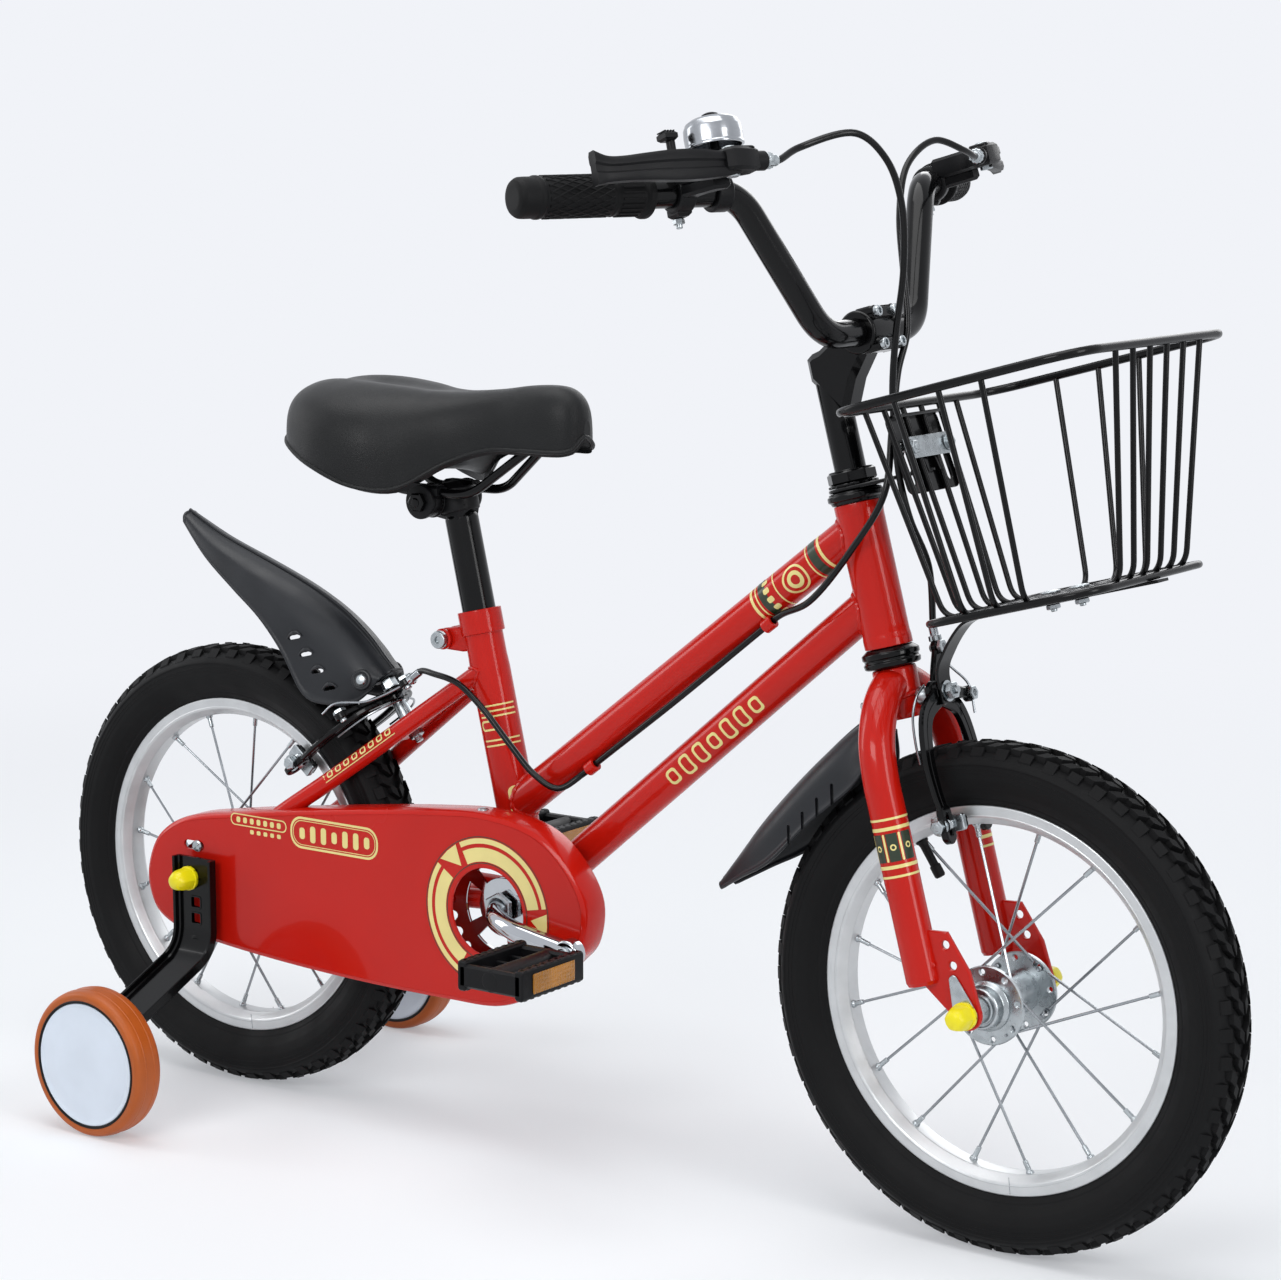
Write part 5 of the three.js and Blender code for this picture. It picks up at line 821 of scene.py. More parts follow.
def frame_decals():
    """Printed film: plain bands, pinstripes and a row of bars, in gold edged with dark ink."""
    gold, ink = [], []
    right = V((sin(radians(35)), -cos(radians(35)), 0.2))
    top = on_tube(TOP_START, TOP_END, TOP_R, right)
    length = (TOP_END - TOP_START).length
    for u, wide in ((length - 102, 2.4), (length - 97, 1.2), (length - 79, 1.2), (length - 45, 1.2),
                    (length - 33, 2.4)):
        gold.append(decal(stripe(u, wide, 20), [], top))
    for u in (length - 94, length - 42):
        ink.append(decal(stripe(u, 7, 20), [], top))
    for k in range(5):
        gold.append(decal(round_rect(length - 86.5, -14 + 7 * k, 5.6, 4.2, 1.4), [], top))
    gold.append(decal(circle(length - 61, 0, 11, 36), [circle(length - 61, 0, 9.2, 36)], top))
    gold.append(decal(circle(length - 61, 0, 6.6, 30), [circle(length - 61, 0, 3.6, 24)], top))
    down = on_tube(DOWN_START, DOWN_END, DOWN_R, right)
    length = (DOWN_END - DOWN_START).length
    for k in range(7):
        u = length - 216 + k * 15.4
        gold.append(decal(round_rect(u, 0, 10.5, 16 if k % 3 else 12, 3.6),
                          [round_rect(u, 0, 6.3, 11.6 if k % 3 else 7.6, 2.1)], down))
    seat = on_tube(BB, SEAT_TOP, SEAT_R, right)
    for u in (118, 122, 140, 144, 148):
        gold.append(decal(stripe(u, 1.3, 15), [], seat))
    gold.append(decal(round_rect(134, -9, 8, 14, 3), [round_rect(134, -9, 5, 11, 2)], seat))
    for u in (30, 74):
        gold.append(decal(round_rect(u, 2, 26, 11, 5), [round_rect(u, 2, 20, 5, 2.4)], seat))
    line = seat_stay(-1)
    stay = on_tube(line[2], line[12], STAY_R, V((0.3, -1, 0.55)))
    gold.append(decal([(62, -3.4), (146, -3.4), (146, -2.7), (62, -2.7)], [], stay, 1.0))
    for k in range(9):
        gold.append(decal(round_rect(68 + 9 * k, 1.2, 6, 5.4, 1.6),
                          [round_rect(68 + 9 * k, 1.2, 3.6, 3, 0.9)], stay, 1.0))
    return gold, ink


piece("frame_tubes", "frame", RED, frame_shapes(), ["frame"])
gold_film, ink_film = frame_decals()
piece("frame_gold_film", "frame", GOLD, gold_film, weld=False)
piece("frame_ink_film", "frame", INK, ink_film, weld=False)


def headset_cups():
    """Black pressed cups with a stepped lip, at both ends of the head tube."""
    upper = [(15.6, 0), (17.6, 0), (18.4, 2.2), (20.0, 3.0), (20.0, 6.4), (18.6, 7.0), (18.6, 8.2),
             (15.0, 9.0), (13.0, 9.0)]
    lower = [(13.0, 0), (16.0, 0), (18.0, -1.6), (20.2, -3.2), (20.2, -6.6), (19.0, -7.4), (19.0, -9.0),
             (20.2, -9.8), (19.6, -13.0), (17.6, -13.9), (13.0, -13.9)]
    for end, profile, place in (("upper", upper, 101.3), ("lower", lower, -0.3)):
        cup = turned(profile, 0.7, on_head(place), STEER_UP, 64)
        piece(f"headset_{end}", "frame", BLACK, [cup], [f"headset_{end}_cup"])


def seat_clamp():
    """The bolt through the clamp's ears: a socket head on the right, a nut on the left."""
    head = [(0, 2.4), (2.6, 2.4), (2.6, 5.0), (6.4, 5.0), (6.9, 3.8), (6.9, 0), (0, 0)]
    shapes = [rod(CLAMP_BOLT - Y * 16.5, CLAMP_BOLT + Y * 16.5, 3.0, 20),
              turned(head, 0.6, CLAMP_BOLT - Y * 13.1, -Y, 28),
              hex_head(CLAMP_BOLT + Y * 13.1, Y, 6.2, 4.6)]
    piece("seat_clamp_screw", "frame", ZINC, shapes, ["seat_clamp_bolt"])


def bottom_bracket_cups():
    """A pressed cup at each end of the shell, with six dimples for the tool."""
    dimple = [(0, 0), (1.6, 0), (1.9, 0.7), (1.6, 0.7), (0, 0.5)]
    for side, name in NAMED_SIDES:
        profile = [(9.5, 20), (17.2, 20), (17.2, 28.3), (20.4, 28.5), (20.6, 31.0), (14.0, 31.0),
                   (12.5, 30.2), (9.5, 30.2)]
        shapes = [turned([*profile, profile[0]], 0.5, BB, Y * side, 48)]
        for k in range(6):
            a = 2 * pi * k / 6
            c = BB + V((cos(a) * 17.6, side * 31.2, sin(a) * 17.6))
            shapes.append(lathe(dimple, c - Y * side * 0.6, Y * side, 12))
        piece(f"bottom_bracket_{name}", "frame", ZINC, shapes, [f"bottom_bracket_cup_{name}"])


headset_cups()
seat_clamp()
bottom_bracket_cups()

# Wheels

RIM_FLOOR = 121.5


def rim_profile(side):
    """Half of the rim's section as (radius, across), from the inner floor out to the bead."""
    return [(RIM_FLOOR, 0), (RIM_FLOOR, side * 6.5), (122.4, side * 7.4), (126.6, side * 12.6),
            (128.0, side * 13.1), (134.6, side * 13.1), (135.4, side * 12.6), (135.4, side * 11.2),
            (131.5, side * 10.6), (125.6, side * 6.5), (124.4, 0)]


def rim(centre):
    """The rim with the wear line on each side."""
    right, left = rim_profile(-1), rim_profile(1)
    profile = rounded(right + left[::-1][1:-1] + [right[0]], 0.7, 2)
    shapes = [lathe(profile, centre, Y, 144)]
    for side in SIDES:
        ridge = [(127.4, side * 13.05), (128.1, side * 13.3), (128.8, side * 13.05)]
        shapes.append(lathe(ridge, centre, Y, 120))
    return shapes


FLANGE_HOLES_R = 23.4
SPOKES = 16
SPOKE_HEAD = [(0, 1.6), (1.5, 1.5), (2.1, 0.8), (2.1, 0.2), (1.2, 0)]
NIPPLE = [(0.9, 0), (1.75, 0.3), (1.85, 7.5), (2.7, 8.6), (2.9, 11.0), (2.9, 12.6), (0.9, 12.6)]
EYELET = [(3.0, -0.3), (3.6, 0.4), (3.0, 1.3), (2.6, 1.4)]


def spokes(centre, half_gap, turn):
    """Sixteen spokes from drilled flanges to nipples in the rim, crossing once on each side."""
    wires, nipples = [], []
    for k in range(SPOKES):
        side = 1 if k % 2 else -1
        lean = 1 if (k // 2) % 2 else -1
        at_rim = 2 * pi * (k + 0.5) / SPOKES + turn
        at_hub = at_rim + lean * radians(62)
        inner = centre + V((cos(at_hub) * FLANGE_HOLES_R, side * half_gap, sin(at_hub) * FLANGE_HOLES_R))
        outer = centre + V((cos(at_rim) * 123.5, side * 1.8, sin(at_rim) * 123.5))
        d = (outer - inner).normalized()
        out = Y * side * lean
        bend = [inner - out * 2.4, inner + d * 0.6, inner + d * 3.5 + out * 0.7, outer - d * 4]
        wires.append(tube(bend, [1.05, 1.1, 1.05, 1.05], 10))
        head_at = inner + (out * 2.6 if lean < 0 else -out * 2.4)
        wires.append(lathe(SPOKE_HEAD, head_at, -out, 12))
        nipples.append(turned(NIPPLE, 0.3, outer - d * 12, d, 12))
        nipples.append(lathe(EYELET, outer - d * 1.2, d, 14))
    return wires, nipples


def hub(centre, flange_at, half):
    """A zinc-plated steel hub: barrel, two drilled flanges, bearing cups and the cone's neck."""
    shapes = []
    half_barrel = [(14.6, 8), (15.0, flange_at - 3.5), (15.4, flange_at - 1), (0, flange_at)]
    barrel = [(r, -y) for r, y in half_barrel[::-1]] + half_barrel
    shapes.append(turned(barrel, 1.0, centre, Y, 56))
    for side in SIDES:
        m = upright(centre)
        holes = [circle(u, v, 1.9, 14) for u, v in polygon(FLANGE_HOLES_R, 8, 0.25)]
        low = -side * flange_at - 1.5
        shapes.append(plate(circle(0, 0, 27.5, 64), low, low + 3, m, holes, 0.7))
        s0 = side * (flange_at + 1.4)
        neck = half - flange_at - 2.6
        cup = [(17.6, 0), (17.6, 1.2), (15.2, 3.2), (14.6, 4.0), (14.6, 10.5), (13.6, 11.8), (12.4, 12.0),
               (12.4, 10.6), (10.6, 10.2), (10.6, 11.6), (9.5, 12.2), (9.5, neck - 1.4), (6.5, neck),
               (5.2, neck)]
        shapes.append(lathe(rounded(cup, 0.5, 2), centre + Y * s0, Y * side, 48))
    return shapes


def wheel(name, centre, flange_at, half, turn, valve_at):
    """Rim, spokes, nipples, hub, valve and the rim's welded seam."""
    body = f"{name}_wheel"
    piece(f"{name}_rim", body, ALLOY, rim(centre), [body], angle=38)
    wires, nipples = spokes(centre, flange_at, turn)
    piece(f"{name}_spokes", body, SPOKE, wires)
    piece(f"{name}_nipples", body, ZINC, nipples)
    piece(f"{name}_hub", body, ZINC, hub(centre, flange_at, half))
    stem_root = centre + V((cos(valve_at) * RIM_FLOOR, 0, sin(valve_at) * RIM_FLOOR))
    inward = (centre - stem_root).normalized()
    valve = [(4.6, 0), (4.6, 1.4), (3.6, 2.2), (3.1, 4), (3.0, 19), (3.9, 19.6), (3.9, 27), (3.2, 28.4),
             (0, 28.8)]
    piece(f"{name}_valve", body, PLASTIC, [turned(valve, 0.4, stem_root, inward, 20)])
    seam, turn_down = [], Matrix.Rotation(radians(84) + pi / 2, 4, "Y")
    for side in SIDES:
        joint = Matrix.Translation(centre + Y * side * 13.15) @ turn_down @ SWAP_YZ
        seam.append(moved(block((-0.25, 122.2, -0.12), (0.25, 134, 0.12), XY, 0.1), joint))
    piece(f"{name}_rim_seam", body, SPOKE, seam)


TREAD_BLOCKS = 58
CROWN_FALL = 0.0145
SHOULDER_START, SHOULDER_FALL = 13, 0.07


def tyre(name, centre, turn):
    """A smooth-sided tyre with four rows of moulded blocks and fine ribs below the shoulder."""
    body = f"{name}_wheel"
    section = [(133.4, 11.0), (136.8, 12.9), (139.5, 15.2), (140.6, 15.4), (141.6, 16.3), (147.5, 20.2),
               (154.5, 22.5), (161.5, 22.6), (164, 22.4), (164.6, 22.9), (166.2, 22.4), (169.2, 19.6),
               (171.8, 15.0), (173.2, 9.0), (173.8, 3.0)]
    profile = [(r, -y) for r, y in section] + section[::-1]
    inner = [(134.6, 9.4), (142, 14), (155, 18.6), (166, 14.5), (170.2, 6)]
    inside = inner + [(r, -y) for r, y in inner[::-1]]
    shapes = [lathe([*rounded(profile, 1.1, 2), *inside, profile[0]], centre, Y, 160)]
    blocks = []

    def knob(a0, a1, y0, y1, foot, top, taper, skew=0.0):
        """One block of tread between two angles and two places across."""
        corners = []
        for r0, shrink in ((foot, 0.0), (top - 0.7, taper * 0.8), (top, taper)):
            ring_points = []
            for a, y in ((a0, y0), (a1, y0), (a1, y1), (a0, y1)):
                mid_a, mid_y = (a0 + a1) / 2, (y0 + y1) / 2
                aa = mid_a + (a - mid_a) * (1 - shrink)
                yy = mid_y + (y - mid_y) * (1 - shrink)
                rr = r0 - CROWN_FALL * yy * yy - SHOULDER_FALL * max(0.0, abs(yy) - SHOULDER_START) ** 2
                aa += skew * (yy - mid_y)
                ring_points.append(centre + V((cos(aa) * rr, yy, sin(aa) * rr)))
            corners.append(ring_points)
        blocks.extend((grid(corners), (corners[-1], [[0, 1, 2, 3]])))

    pace = 2 * pi / TREAD_BLOCKS
    for k in range(TREAD_BLOCKS):
        a = turn + k * pace
        for side in SIDES:
            knob(a + pace * 0.02, a + pace * 0.50, side * 1.1, side * 7.4, 173.0, 178.0, 0.16, side * 0.006)
            knob(a + pace * 0.52, a + pace * 0.98, side * 5.9, side * 13.2, 172.6, 178.4, 0.16, side * 0.005)
            wide = 19.4 if k % 2 else 20.6
            knob(a + pace * 0.06, a + pace * 0.60, side * 13.9, side * wide, 171.5, 178.5, 0.12)
            knob(a + pace * 0.10, a + pace * 0.50, side * 19.8, side * 22.3, 169.4, 174.6, 0.10)
    ribs = []
    for side in SIDES:
        for radius, across in ((158.5, 22.75), (161.2, 22.8)):
            foot = side * (across - 0.5)
            rib = [(radius - 0.5, foot), (radius, side * across), (radius + 0.5, foot)]
            ribs.append(lathe(rib, centre, Y, 144))
    tread = []
    for points, faces in blocks:
        mid = sum(points, V()) / len(points)
        a, b, c = (points[i] for i in faces[0][:3])
        tread.append(inside_out((points, faces)) if (b - a).cross(c - a).dot(a - mid) < 0
                     else (points, faces))
    piece(f"{name}_tyre_casing", body, TYRE, shapes + ribs, [f"{name}_tyre"], angle=40)
    piece(f"{name}_tyre_tread", body, TYRE, tread, angle=28, weld=False)


for wheel_name, wheel_centre, half_width, spoke_turn, valve_turn in (
        ("front", FRONT, 48.7, 0.0, radians(123.75)), ("rear", REAR, 50.0, 0.11, radians(17.5))):
    wheel(wheel_name, wheel_centre, 23, half_width, spoke_turn, valve_turn)
    tyre(wheel_name, wheel_centre, spoke_turn)

# Fork, stem and bar

BLADE_R = 12.5
FORK_PATH = [(3, 51, -224), (3, 51, -178), (3, 51, -132), (3, 51, -104), (3, 50.8, -86), (2.7, 45.9, -62),
             (1.9, 32, -41), (0.8, 14.3, -28), (0, 0, -24)]
TIP_TOP = [(40, -222.4), (29.3, -193.6), (15.4, -190.6), (-4, -197.8), (1.5, -225.4)]
TIP_HOLES = [circle(26.1, -202, 3.0, 18), circle(28.3, -216.7, 3.0, 18),
             circle(FORK_OFFSET, -FORK_REACH, 5.3, 20)]
TIP_WELD = ((-8, 54, -215), (-3, 57, -208), (4, 58, -204), (11, 57, -208), (15, 54, -215))


def fork_shapes():
    """The crown, both blades bent from one tube, flattened tips with their holes, and the weld beads."""
    crown = [(12.5, -14.5), (15.0, -14.9), (15.5, -16.5), (15.5, -47), (14.0, -50.4), (0, -51)]
    shapes = [turned([(0, -14.5), *crown], 0.8, HEAD, STEER_UP, 56)]
    left, right = (smooth([local(x, side * y, z) for x, y, z in FORK_PATH], 10) for side in (1, -1))
    shapes.append(tube(left + right[::-1][1:], BLADE_R, 36))
    tip = arc(FORK_OFFSET, -FORK_REACH, 11, pi, 2 * pi, 14) + TIP_TOP
    for side in SIDES:
        low, high = sorted((-side * 49, -side * 53))
        shapes.append(plate(tip, low, high, STEER @ XZ, TIP_HOLES, 0.9))
        foot = [local(3, side * 51, -224), local(3.0, side * 51, -226.5)]
        shapes.append(tube(foot, [BLADE_R, 11.4], 36))
        shapes.append(tube(smooth([local(x, side * y, z) for x, y, z in TIP_WELD], 5), 1.5, 8))
    ring_line = [local(15.2 * cos(t), 15.2 * sin(t), -38 + 4 * abs(cos(t)))
                 for t in (2 * pi * k / 48 for k in range(48))]
    shapes.append(tube(ring_line, 1.6, 8, closed=True))
    return shapes


def fork_film():
    """A band with three dark fields and rings between pinstripes, on the outside of both blades."""
    gold, ink = [], []
    for side in SIDES:
        blade = on_tube(local(3, side * 51, -85), local(3, side * 51, -224), BLADE_R,
                        STEER.to_3x3() @ V((0.5, side, 0)))
        for u, wide in ((26, 1.6), (32, 2.4), (58, 2.4), (65, 1.6)):
            gold.append(decal(stripe(u, wide, 22), [], blade))
        for v in (-15, -4, 7):
            ink.append(decal([(36.4, v), (55.6, v), (55.6, v + 8), (36.4, v + 8)], [], blade))
        for v in (-5.5, 5.5, 16.5):
            gold.append(decal(round_rect(46, v, 19, 1.6, 0.7), [], blade))
            gold.append(decal(circle(46, v - 5.5, 2.2, 20), [circle(46, v - 5.5, 1.2, 16)], blade))
    return gold, ink


piece("fork_blades", "steering", RED, fork_shapes(), ["fork"])
gold_film, ink_film = fork_film()
piece("fork_gold_film", "steering", GOLD, gold_film, weld=False)
piece("fork_ink_film", "steering", INK, ink_film, weld=False)


def locknut_shapes():
    """The eight-sided locknut over a toothed washer."""
    m = basis(STEER_FWD, Y, STEER_UP, on_head(113.3))
    bore = [circle(0, 0, 12.9, 36)]
    lip = [(12.9, 10.2), (15.4, 10.2), (15.4, 11.2), (12.9, 11.2)]
    return [plate(polygon(17.2, 8, 0.5), 2.0, 10.4, m, bore, 1.1),
            plate(toothed(40, 16.8, 17.6), 0, 1.8, m, bore, 0.4),
            turned(lip, 0.4, on_head(113.3), STEER_UP, 40)]


piece("headset_nut", "steering", BLACK, locknut_shapes(), ["headset_locknut"])

STEM_REACH, STEM_RISE = 38, 212.5


def stem_shapes():
    """The quill, its forged neck and the four-bolt clamp."""
    quill = [(0, 48), (10.6, 48), (11.1, 49), (11.1, 196), (10.4, 200.2), (8.6, 201), (5.2, 201),
             (5.2, 197.5), (0, 197.5)]
    shapes = [turned(quill, 0.7, HEAD, STEER_UP, 48)]
    neck = [(-11.1, 189), (-11.1, 204), (-6, 207), (0, 208), (12, 214), (26, 222), (38, 226.5), (38, 198.5),
            (24, 183), (11.1, 159)]
    shapes.append(plate(neck, -11.1, 11.1, STEER @ XZ, (), 4.2))
    clamp_at = local(STEM_REACH, 0, STEM_RISE)
    shapes.append(turned([(9.7, -17), (13.6, -17), (15.0, -15.4), (15.0, 15.4), (13.6, 17), (9.7, 17)],
                         0.9, clamp_at, Y, 56))
    for y in (-11, 11):
        for z in (-11, 11):
            shapes.append(rod(local(STEM_REACH, y, STEM_RISE + z), local(54, y, STEM_RISE + z), 4.6, 24, 1.2))
    for z in (-11, 11):
        shapes.append(plate(round_rect(46, STEM_RISE + z, 15, 9, 2.5), -15.4, 15.4, STEER @ XZ, (), 1.4))
    return shapes


def stem_bolts():
    """The quill's hexagon bolt and the clamp's four socket screws."""
    shapes = [hex_head(local(0, 0, 197.6), STEER_UP, 5.4, 4.2)]
    for y in (-11, 11):
        for z in (-11, 11):
            profile = [(3.9, 0), (3.9, 2.6), (3.3, 3.3), (2.0, 3.3), (2.0, 1.2), (0, 1.2)]
            shapes.append(lathe(rounded(profile, 0.3, 2), local(53.6, y, STEM_RISE + z), STEER_FWD, 20))
    return shapes


BAR_ROUTE = [(STEM_REACH, 0, STEM_RISE), (STEM_REACH, 58.5, STEM_RISE), (34, 118, 313), (-26, 271, 327.5)]


def bar_shapes():
    """The bar: straight through the clamp, up to a second bend and out along the grips."""
    right, left = (bent([local(x, side * y, z) for x, y, z in BAR_ROUTE], 20, 12) for side in SIDES)
    return [tube(right[::-1][:-1] + left, 9.5, 36)]


piece("stem_forging", "steering", BLACK, stem_shapes(), ["stem"], angle=38)
piece("stem_screws", "steering", ZINC, stem_bolts())
piece("bar_tube", "steering", BLACK, bar_shapes(), ["handlebar"])


def grip_frame(side):
    """Axes on one end of the bar: x out along it, y ahead, z up; the left is the right one mirrored."""
    out, ahead, up = V((-0.3637, -0.9274, 0.0879)), V((0.9315, -0.3621, 0.0343)), V((0, 0.0944, 0.9956))
    m = STEER @ basis(out, ahead, up, V((34, -118, 313)))
    return m if side < 0 else MIRROR @ m


def grip_shapes():
    """A moulded grip: a ribbed collar, a band of crossed ribs, a plain band and a rounded end."""
    body = [(9.8, 70.3), (15.0, 70.3), (15.7, 71.2), (15.7, 74.6), (14.4, 75.8), (13.3, 76.6), (13.3, 96),
            (13.9, 98), (13.3, 99), (13.3, 150), (13.9, 151), (13.9, 153.4), (13.2, 154.4), (13.2, 160.8),
            (13.0, 164.6), (11.2, 167.4), (8.0, 168.4), (0, 168.6)]
    shapes = [turned(body, 0.8, ORIGIN, X, 64)]
    for k in range(22):
        shapes.append(moved(block((78.5, -0.75, 13.0), (94.5, 0.75, 14.1), XY, 0.35),
                            Matrix.Rotation(2 * pi * k / 22, 4, "X")))
    for turn in (1, -1):
        for k in range(18):
            line = []
            for i in range(15):
                t = i / 14
                a = 2 * pi * k / 18 + turn * (t - 0.5) * 1.5
                line.append(V((101 + 47 * t, 13.35 * cos(a), 13.35 * sin(a))))
            shapes.append(tube(line, 0.62, 6))
    return shapes


def lever_bracket_shapes():
    """The bracket of the brake lever: a band round the bar, a reach to the pivot and the cable's boss."""
    bracket = [(38, 5), (51, 5), (51.5, 12), (47, 20), (42.5, 30), (41, 38), (39, 52), (35, 55), (29, 55),
               (20, 53), (13, 50), (13, 38), (18, 34), (23, 32), (30, 25), (34, 18)]
    shapes = [plate(bracket, 1.4, 16.4, XY, [circle(31, 44, 2.6, 16)], 2.0)]
    web = [(40, 4), (50.6, 4), (50.6, 13), (45, 24), (40, 34), (30, 38), (27, 34), (36, 20)]
    shapes.append(plate(web, -6, 3, XY, (), 2.0))
    shapes.append(turned([(9.6, 38), (12.2, 38), (13.2, 39.2), (13.2, 49.8), (12.2, 51), (9.6, 51)],
                         0.9, ORIGIN, X, 48))
    shapes.append(block((39, -9, -15.4), (50, 3.5, -8), XY, 1.8))
    shapes.append(plate(round_rect(24, 44, 20, 14, 4), 15.2, 17.4, XY, (), 1.2))
    shapes.append(rod(V((3.5, 43, 9)), V((17, 43, 9)), 6.4, 28, 1.6))
    return shapes


def lever_bracket_metal():
    """The cable's adjuster with its knurled ring, the pivot's rivet and nut, and the clamp's screw."""
    adjuster = [(1.0, -1.0), (3.2, -1.0), (3.9, 0.5), (3.9, 4.5), (5.0, 5.0), (5.0, 8.5), (4.2, 9.4),
                (0, 9.4)]
    shapes = [turned(adjuster, 0.4, V((-4.5, 43, 9)), X, 24)]
    shapes.append(plate(toothed(24, 5.0, 5.5), 0, 3.6, basis(Y, Z, X, V((-0.5, 43, 9))), (), 0.5))
    shapes.append(turned([(0, 3), (2.4, 3), (4.6, 2.2), (4.6, 0), (0, 0)], 0.6, V((31, 44, 15.8)), Z, 24))
    shapes.append(hex_head(V((31, 44, 2.0)), -Z, 4.6, 3.4))
    shapes.append(hex_head(V((44.5, -5.5, -15.6)), -Z, 4.0, 3.6))
    shapes.append(rod(V((44.5, -5.5, -22)), V((44.5, -5.5, -15)), 2.2, 16, 0.5))
    return shapes


def lever_blade_shapes():
    """The lever's moulded blade: a deep beam with a groove along it, thinning towards an upturned tip."""
    stations = ((28, 45, 5.0), (44, 46.6, 6.6), (60, 47, 7.6), (78, 46.2, 7.6), (95, 44, 6.8),
                (110, 40.6, 6.2), (121, 38.4, 6.6), (130, 38, 8.6))
    line = smooth([V(s) for s in stations], 6)
    rows = []
    for i, p in enumerate(line):
        after, before = line[min(i + 1, len(line) - 1)], line[max(i - 1, 0)]
        t = V((after.x - before.x, after.y - before.y, 0)).normalized()
        normal = V((-t.y, t.x, 0))
        lift = 1.5 * max(0.0, (p.x - 112) / 18) ** 2
        section = [(1, 0.35), (1, 0.75), (0.7, 1), (-0.7, 1), (-1, 0.75), (-1, 0.35), (-0.8, 0.2),
                   (-0.8, -0.2), (-1, -0.35), (-1, -0.75), (-0.7, -1), (0.7, -1), (1, -0.75), (1, -0.35),
                   (0.72, -0.2), (0.72, 0.2)]
        rows.append([V((p.x, p.y, 6.2 + lift + v * p.z * 1.28)) + normal * (u * 4.3) for u, v in section])
    return [inside_out(grid(rows)), fill(rows[0], -X), fill(rows[-1], X),
            rod(V((31, 44, 4.4)), V((31, 44, 13.6)), 7.2, 28, 1.2)]


def set_grips_and_levers():
    """Both ends of the bar: a grip, and a brake lever in its bracket."""
    for side, name in NAMED_SIDES:
        m = grip_frame(side)

        def put(part_name, body, material, shapes, nodes=(), angle=32):
            piece(part_name, body, material, placed(shapes, m), nodes, angle)

        put(f"grip_sleeve_{name}", "steering", GRIP, grip_shapes(), [f"grip_{name}"])
        put(f"lever_bracket_{name}", "steering", PLASTIC, lever_bracket_shapes(),
            [f"brake_lever_bracket_{name}"], 36)
        put(f"lever_screws_{name}", "steering", ZINC, lever_bracket_metal())
        put(f"lever_blade_{name}", f"brake_lever_{name}", PLASTIC, lever_blade_shapes(),
            [f"brake_lever_{name}"], 36)


set_grips_and_levers()


def set_bell():
    """A chromed dome bell with a thumb lever, on the right of the bar."""
    m = grip_frame(-1)
    centre = V((15, 6, 0))
    band = [(9.6, 9), (12.2, 9), (13.0, 10), (13.0, 20), (12.2, 21), (9.6, 21)]
    post = [(0, 17.8), (8.5, 17.8), (8.5, 23), (5, 24), (3.2, 26), (3.0, 46), (0, 46)]
    base = [turned(band, 0.8, ORIGIN, X, 40), block((9.5, -7, 10), (20.5, 9, 19.8), XY, 1.6),
            turned(post, 0.6, centre, Z, 32), rod(V((29, 0, 12)), V((29, 0, 20.2)), 3.4, 20, 0.8),
            plate(oblong((15, 6, 8.5), (29, 0, 5)), 17.6, 20.0, XY, (), 0.8)]
    dome = [(17.9, 28), (19.6, 28), (19.6, 29.4), (19.2, 30.2), (19.4, 36), (19.0, 41), (17.2, 44.8),
            (13.5, 47.0), (8, 48.0), (3.4, 48.2), (3.4, 46.2), (8, 46), (12.6, 45.1), (15.8, 43.2),
            (17.4, 40.4), (17.7, 36), (17.9, 28)]
    cap = [(0, 51.2), (3.0, 51.0), (5.4, 50.0), (5.6, 48.4), (3, 48.0), (0, 48.0)]
    lever = [plate(oblong((29, 0, 5.4), (45, 0, 4.6)), 20.4, 24.2, XY, (), 1.0),
             rod(V((44.6, 0, 22)), V((44.6, 0, 36)), 3.0, 20, 0.8),
             block((41.5, -5.4, 34.3), (51.2, 5.4, 40.3), XY, 1.6),
             rod(V((29, 0, 24)), V((29, 0, 25.6)), 3.6, 20, 0.6)]
    lever += [block((43.2 + 2.2 * k, -5.0, 40.0), (44.2 + 2.2 * k, 5.0, 40.9), XY, 0.3) for k in range(4)]
    piece("bell_bracket", "steering", PLASTIC, placed(base, m), ["bell_base"])
    shell = moved(turned(dome, 0.5, centre, Z, 72), m)
    piece("bell_shell", "steering", BELL_CHROME, [shell], ["bell_dome"])
    piece("bell_cap_screw", "steering", PLASTIC, [moved(lathe(cap, centre, Z, 32), m)])
    piece("bell_thumb_arm", "bell_lever", PLASTIC, placed(lever, m), ["bell_thumb_lever"])


set_bell()

# Chain drive, cranks and pedals

CHAIN_LINE, PITCH = 36, 12.7
RING_TEETH, SPROCKET_TEETH = 24, 14
CRANK_ARM, PEDAL_OUT = 89, 130
WINDOW_R = 34
GUARD_BACK, GUARD_FOOT, GUARD_LONG, GUARD_HIGH = -403, 117, 436, 147
FILM_FACE = -57.15
# The guard's lower and upper edge, as shares of its length and height
GUARD_LOWER = [(0, 0.31), (0.02, 0.18), (0.076, 0.095), (0.174, 0.054), (0.42, 0.007), (0.7, 0),
               (0.82, 0.02), (0.9, 0.13), (0.96, 0.29), (0.99, 0.39)]
GUARD_UPPER = [(0, 0.42), (0.025, 0.59), (0.083, 0.71), (0.21, 0.79), (0.4, 0.875), (0.66, 0.975),
               (0.79, 1), (0.9, 0.94), (0.965, 0.79), (1, 0.6)]


def guard_outline():
    """The guard's outline, once round, as (x, z) points a few millimetres apart."""
    corners = [V((GUARD_BACK + GUARD_LONG * u, 0, GUARD_FOOT + GUARD_HIGH * v))
               for u, v in GUARD_LOWER + GUARD_UPPER[::-1]]
    line = smooth(corners, 7, closed=True)
    return [(p.x, p.z) for p in line]


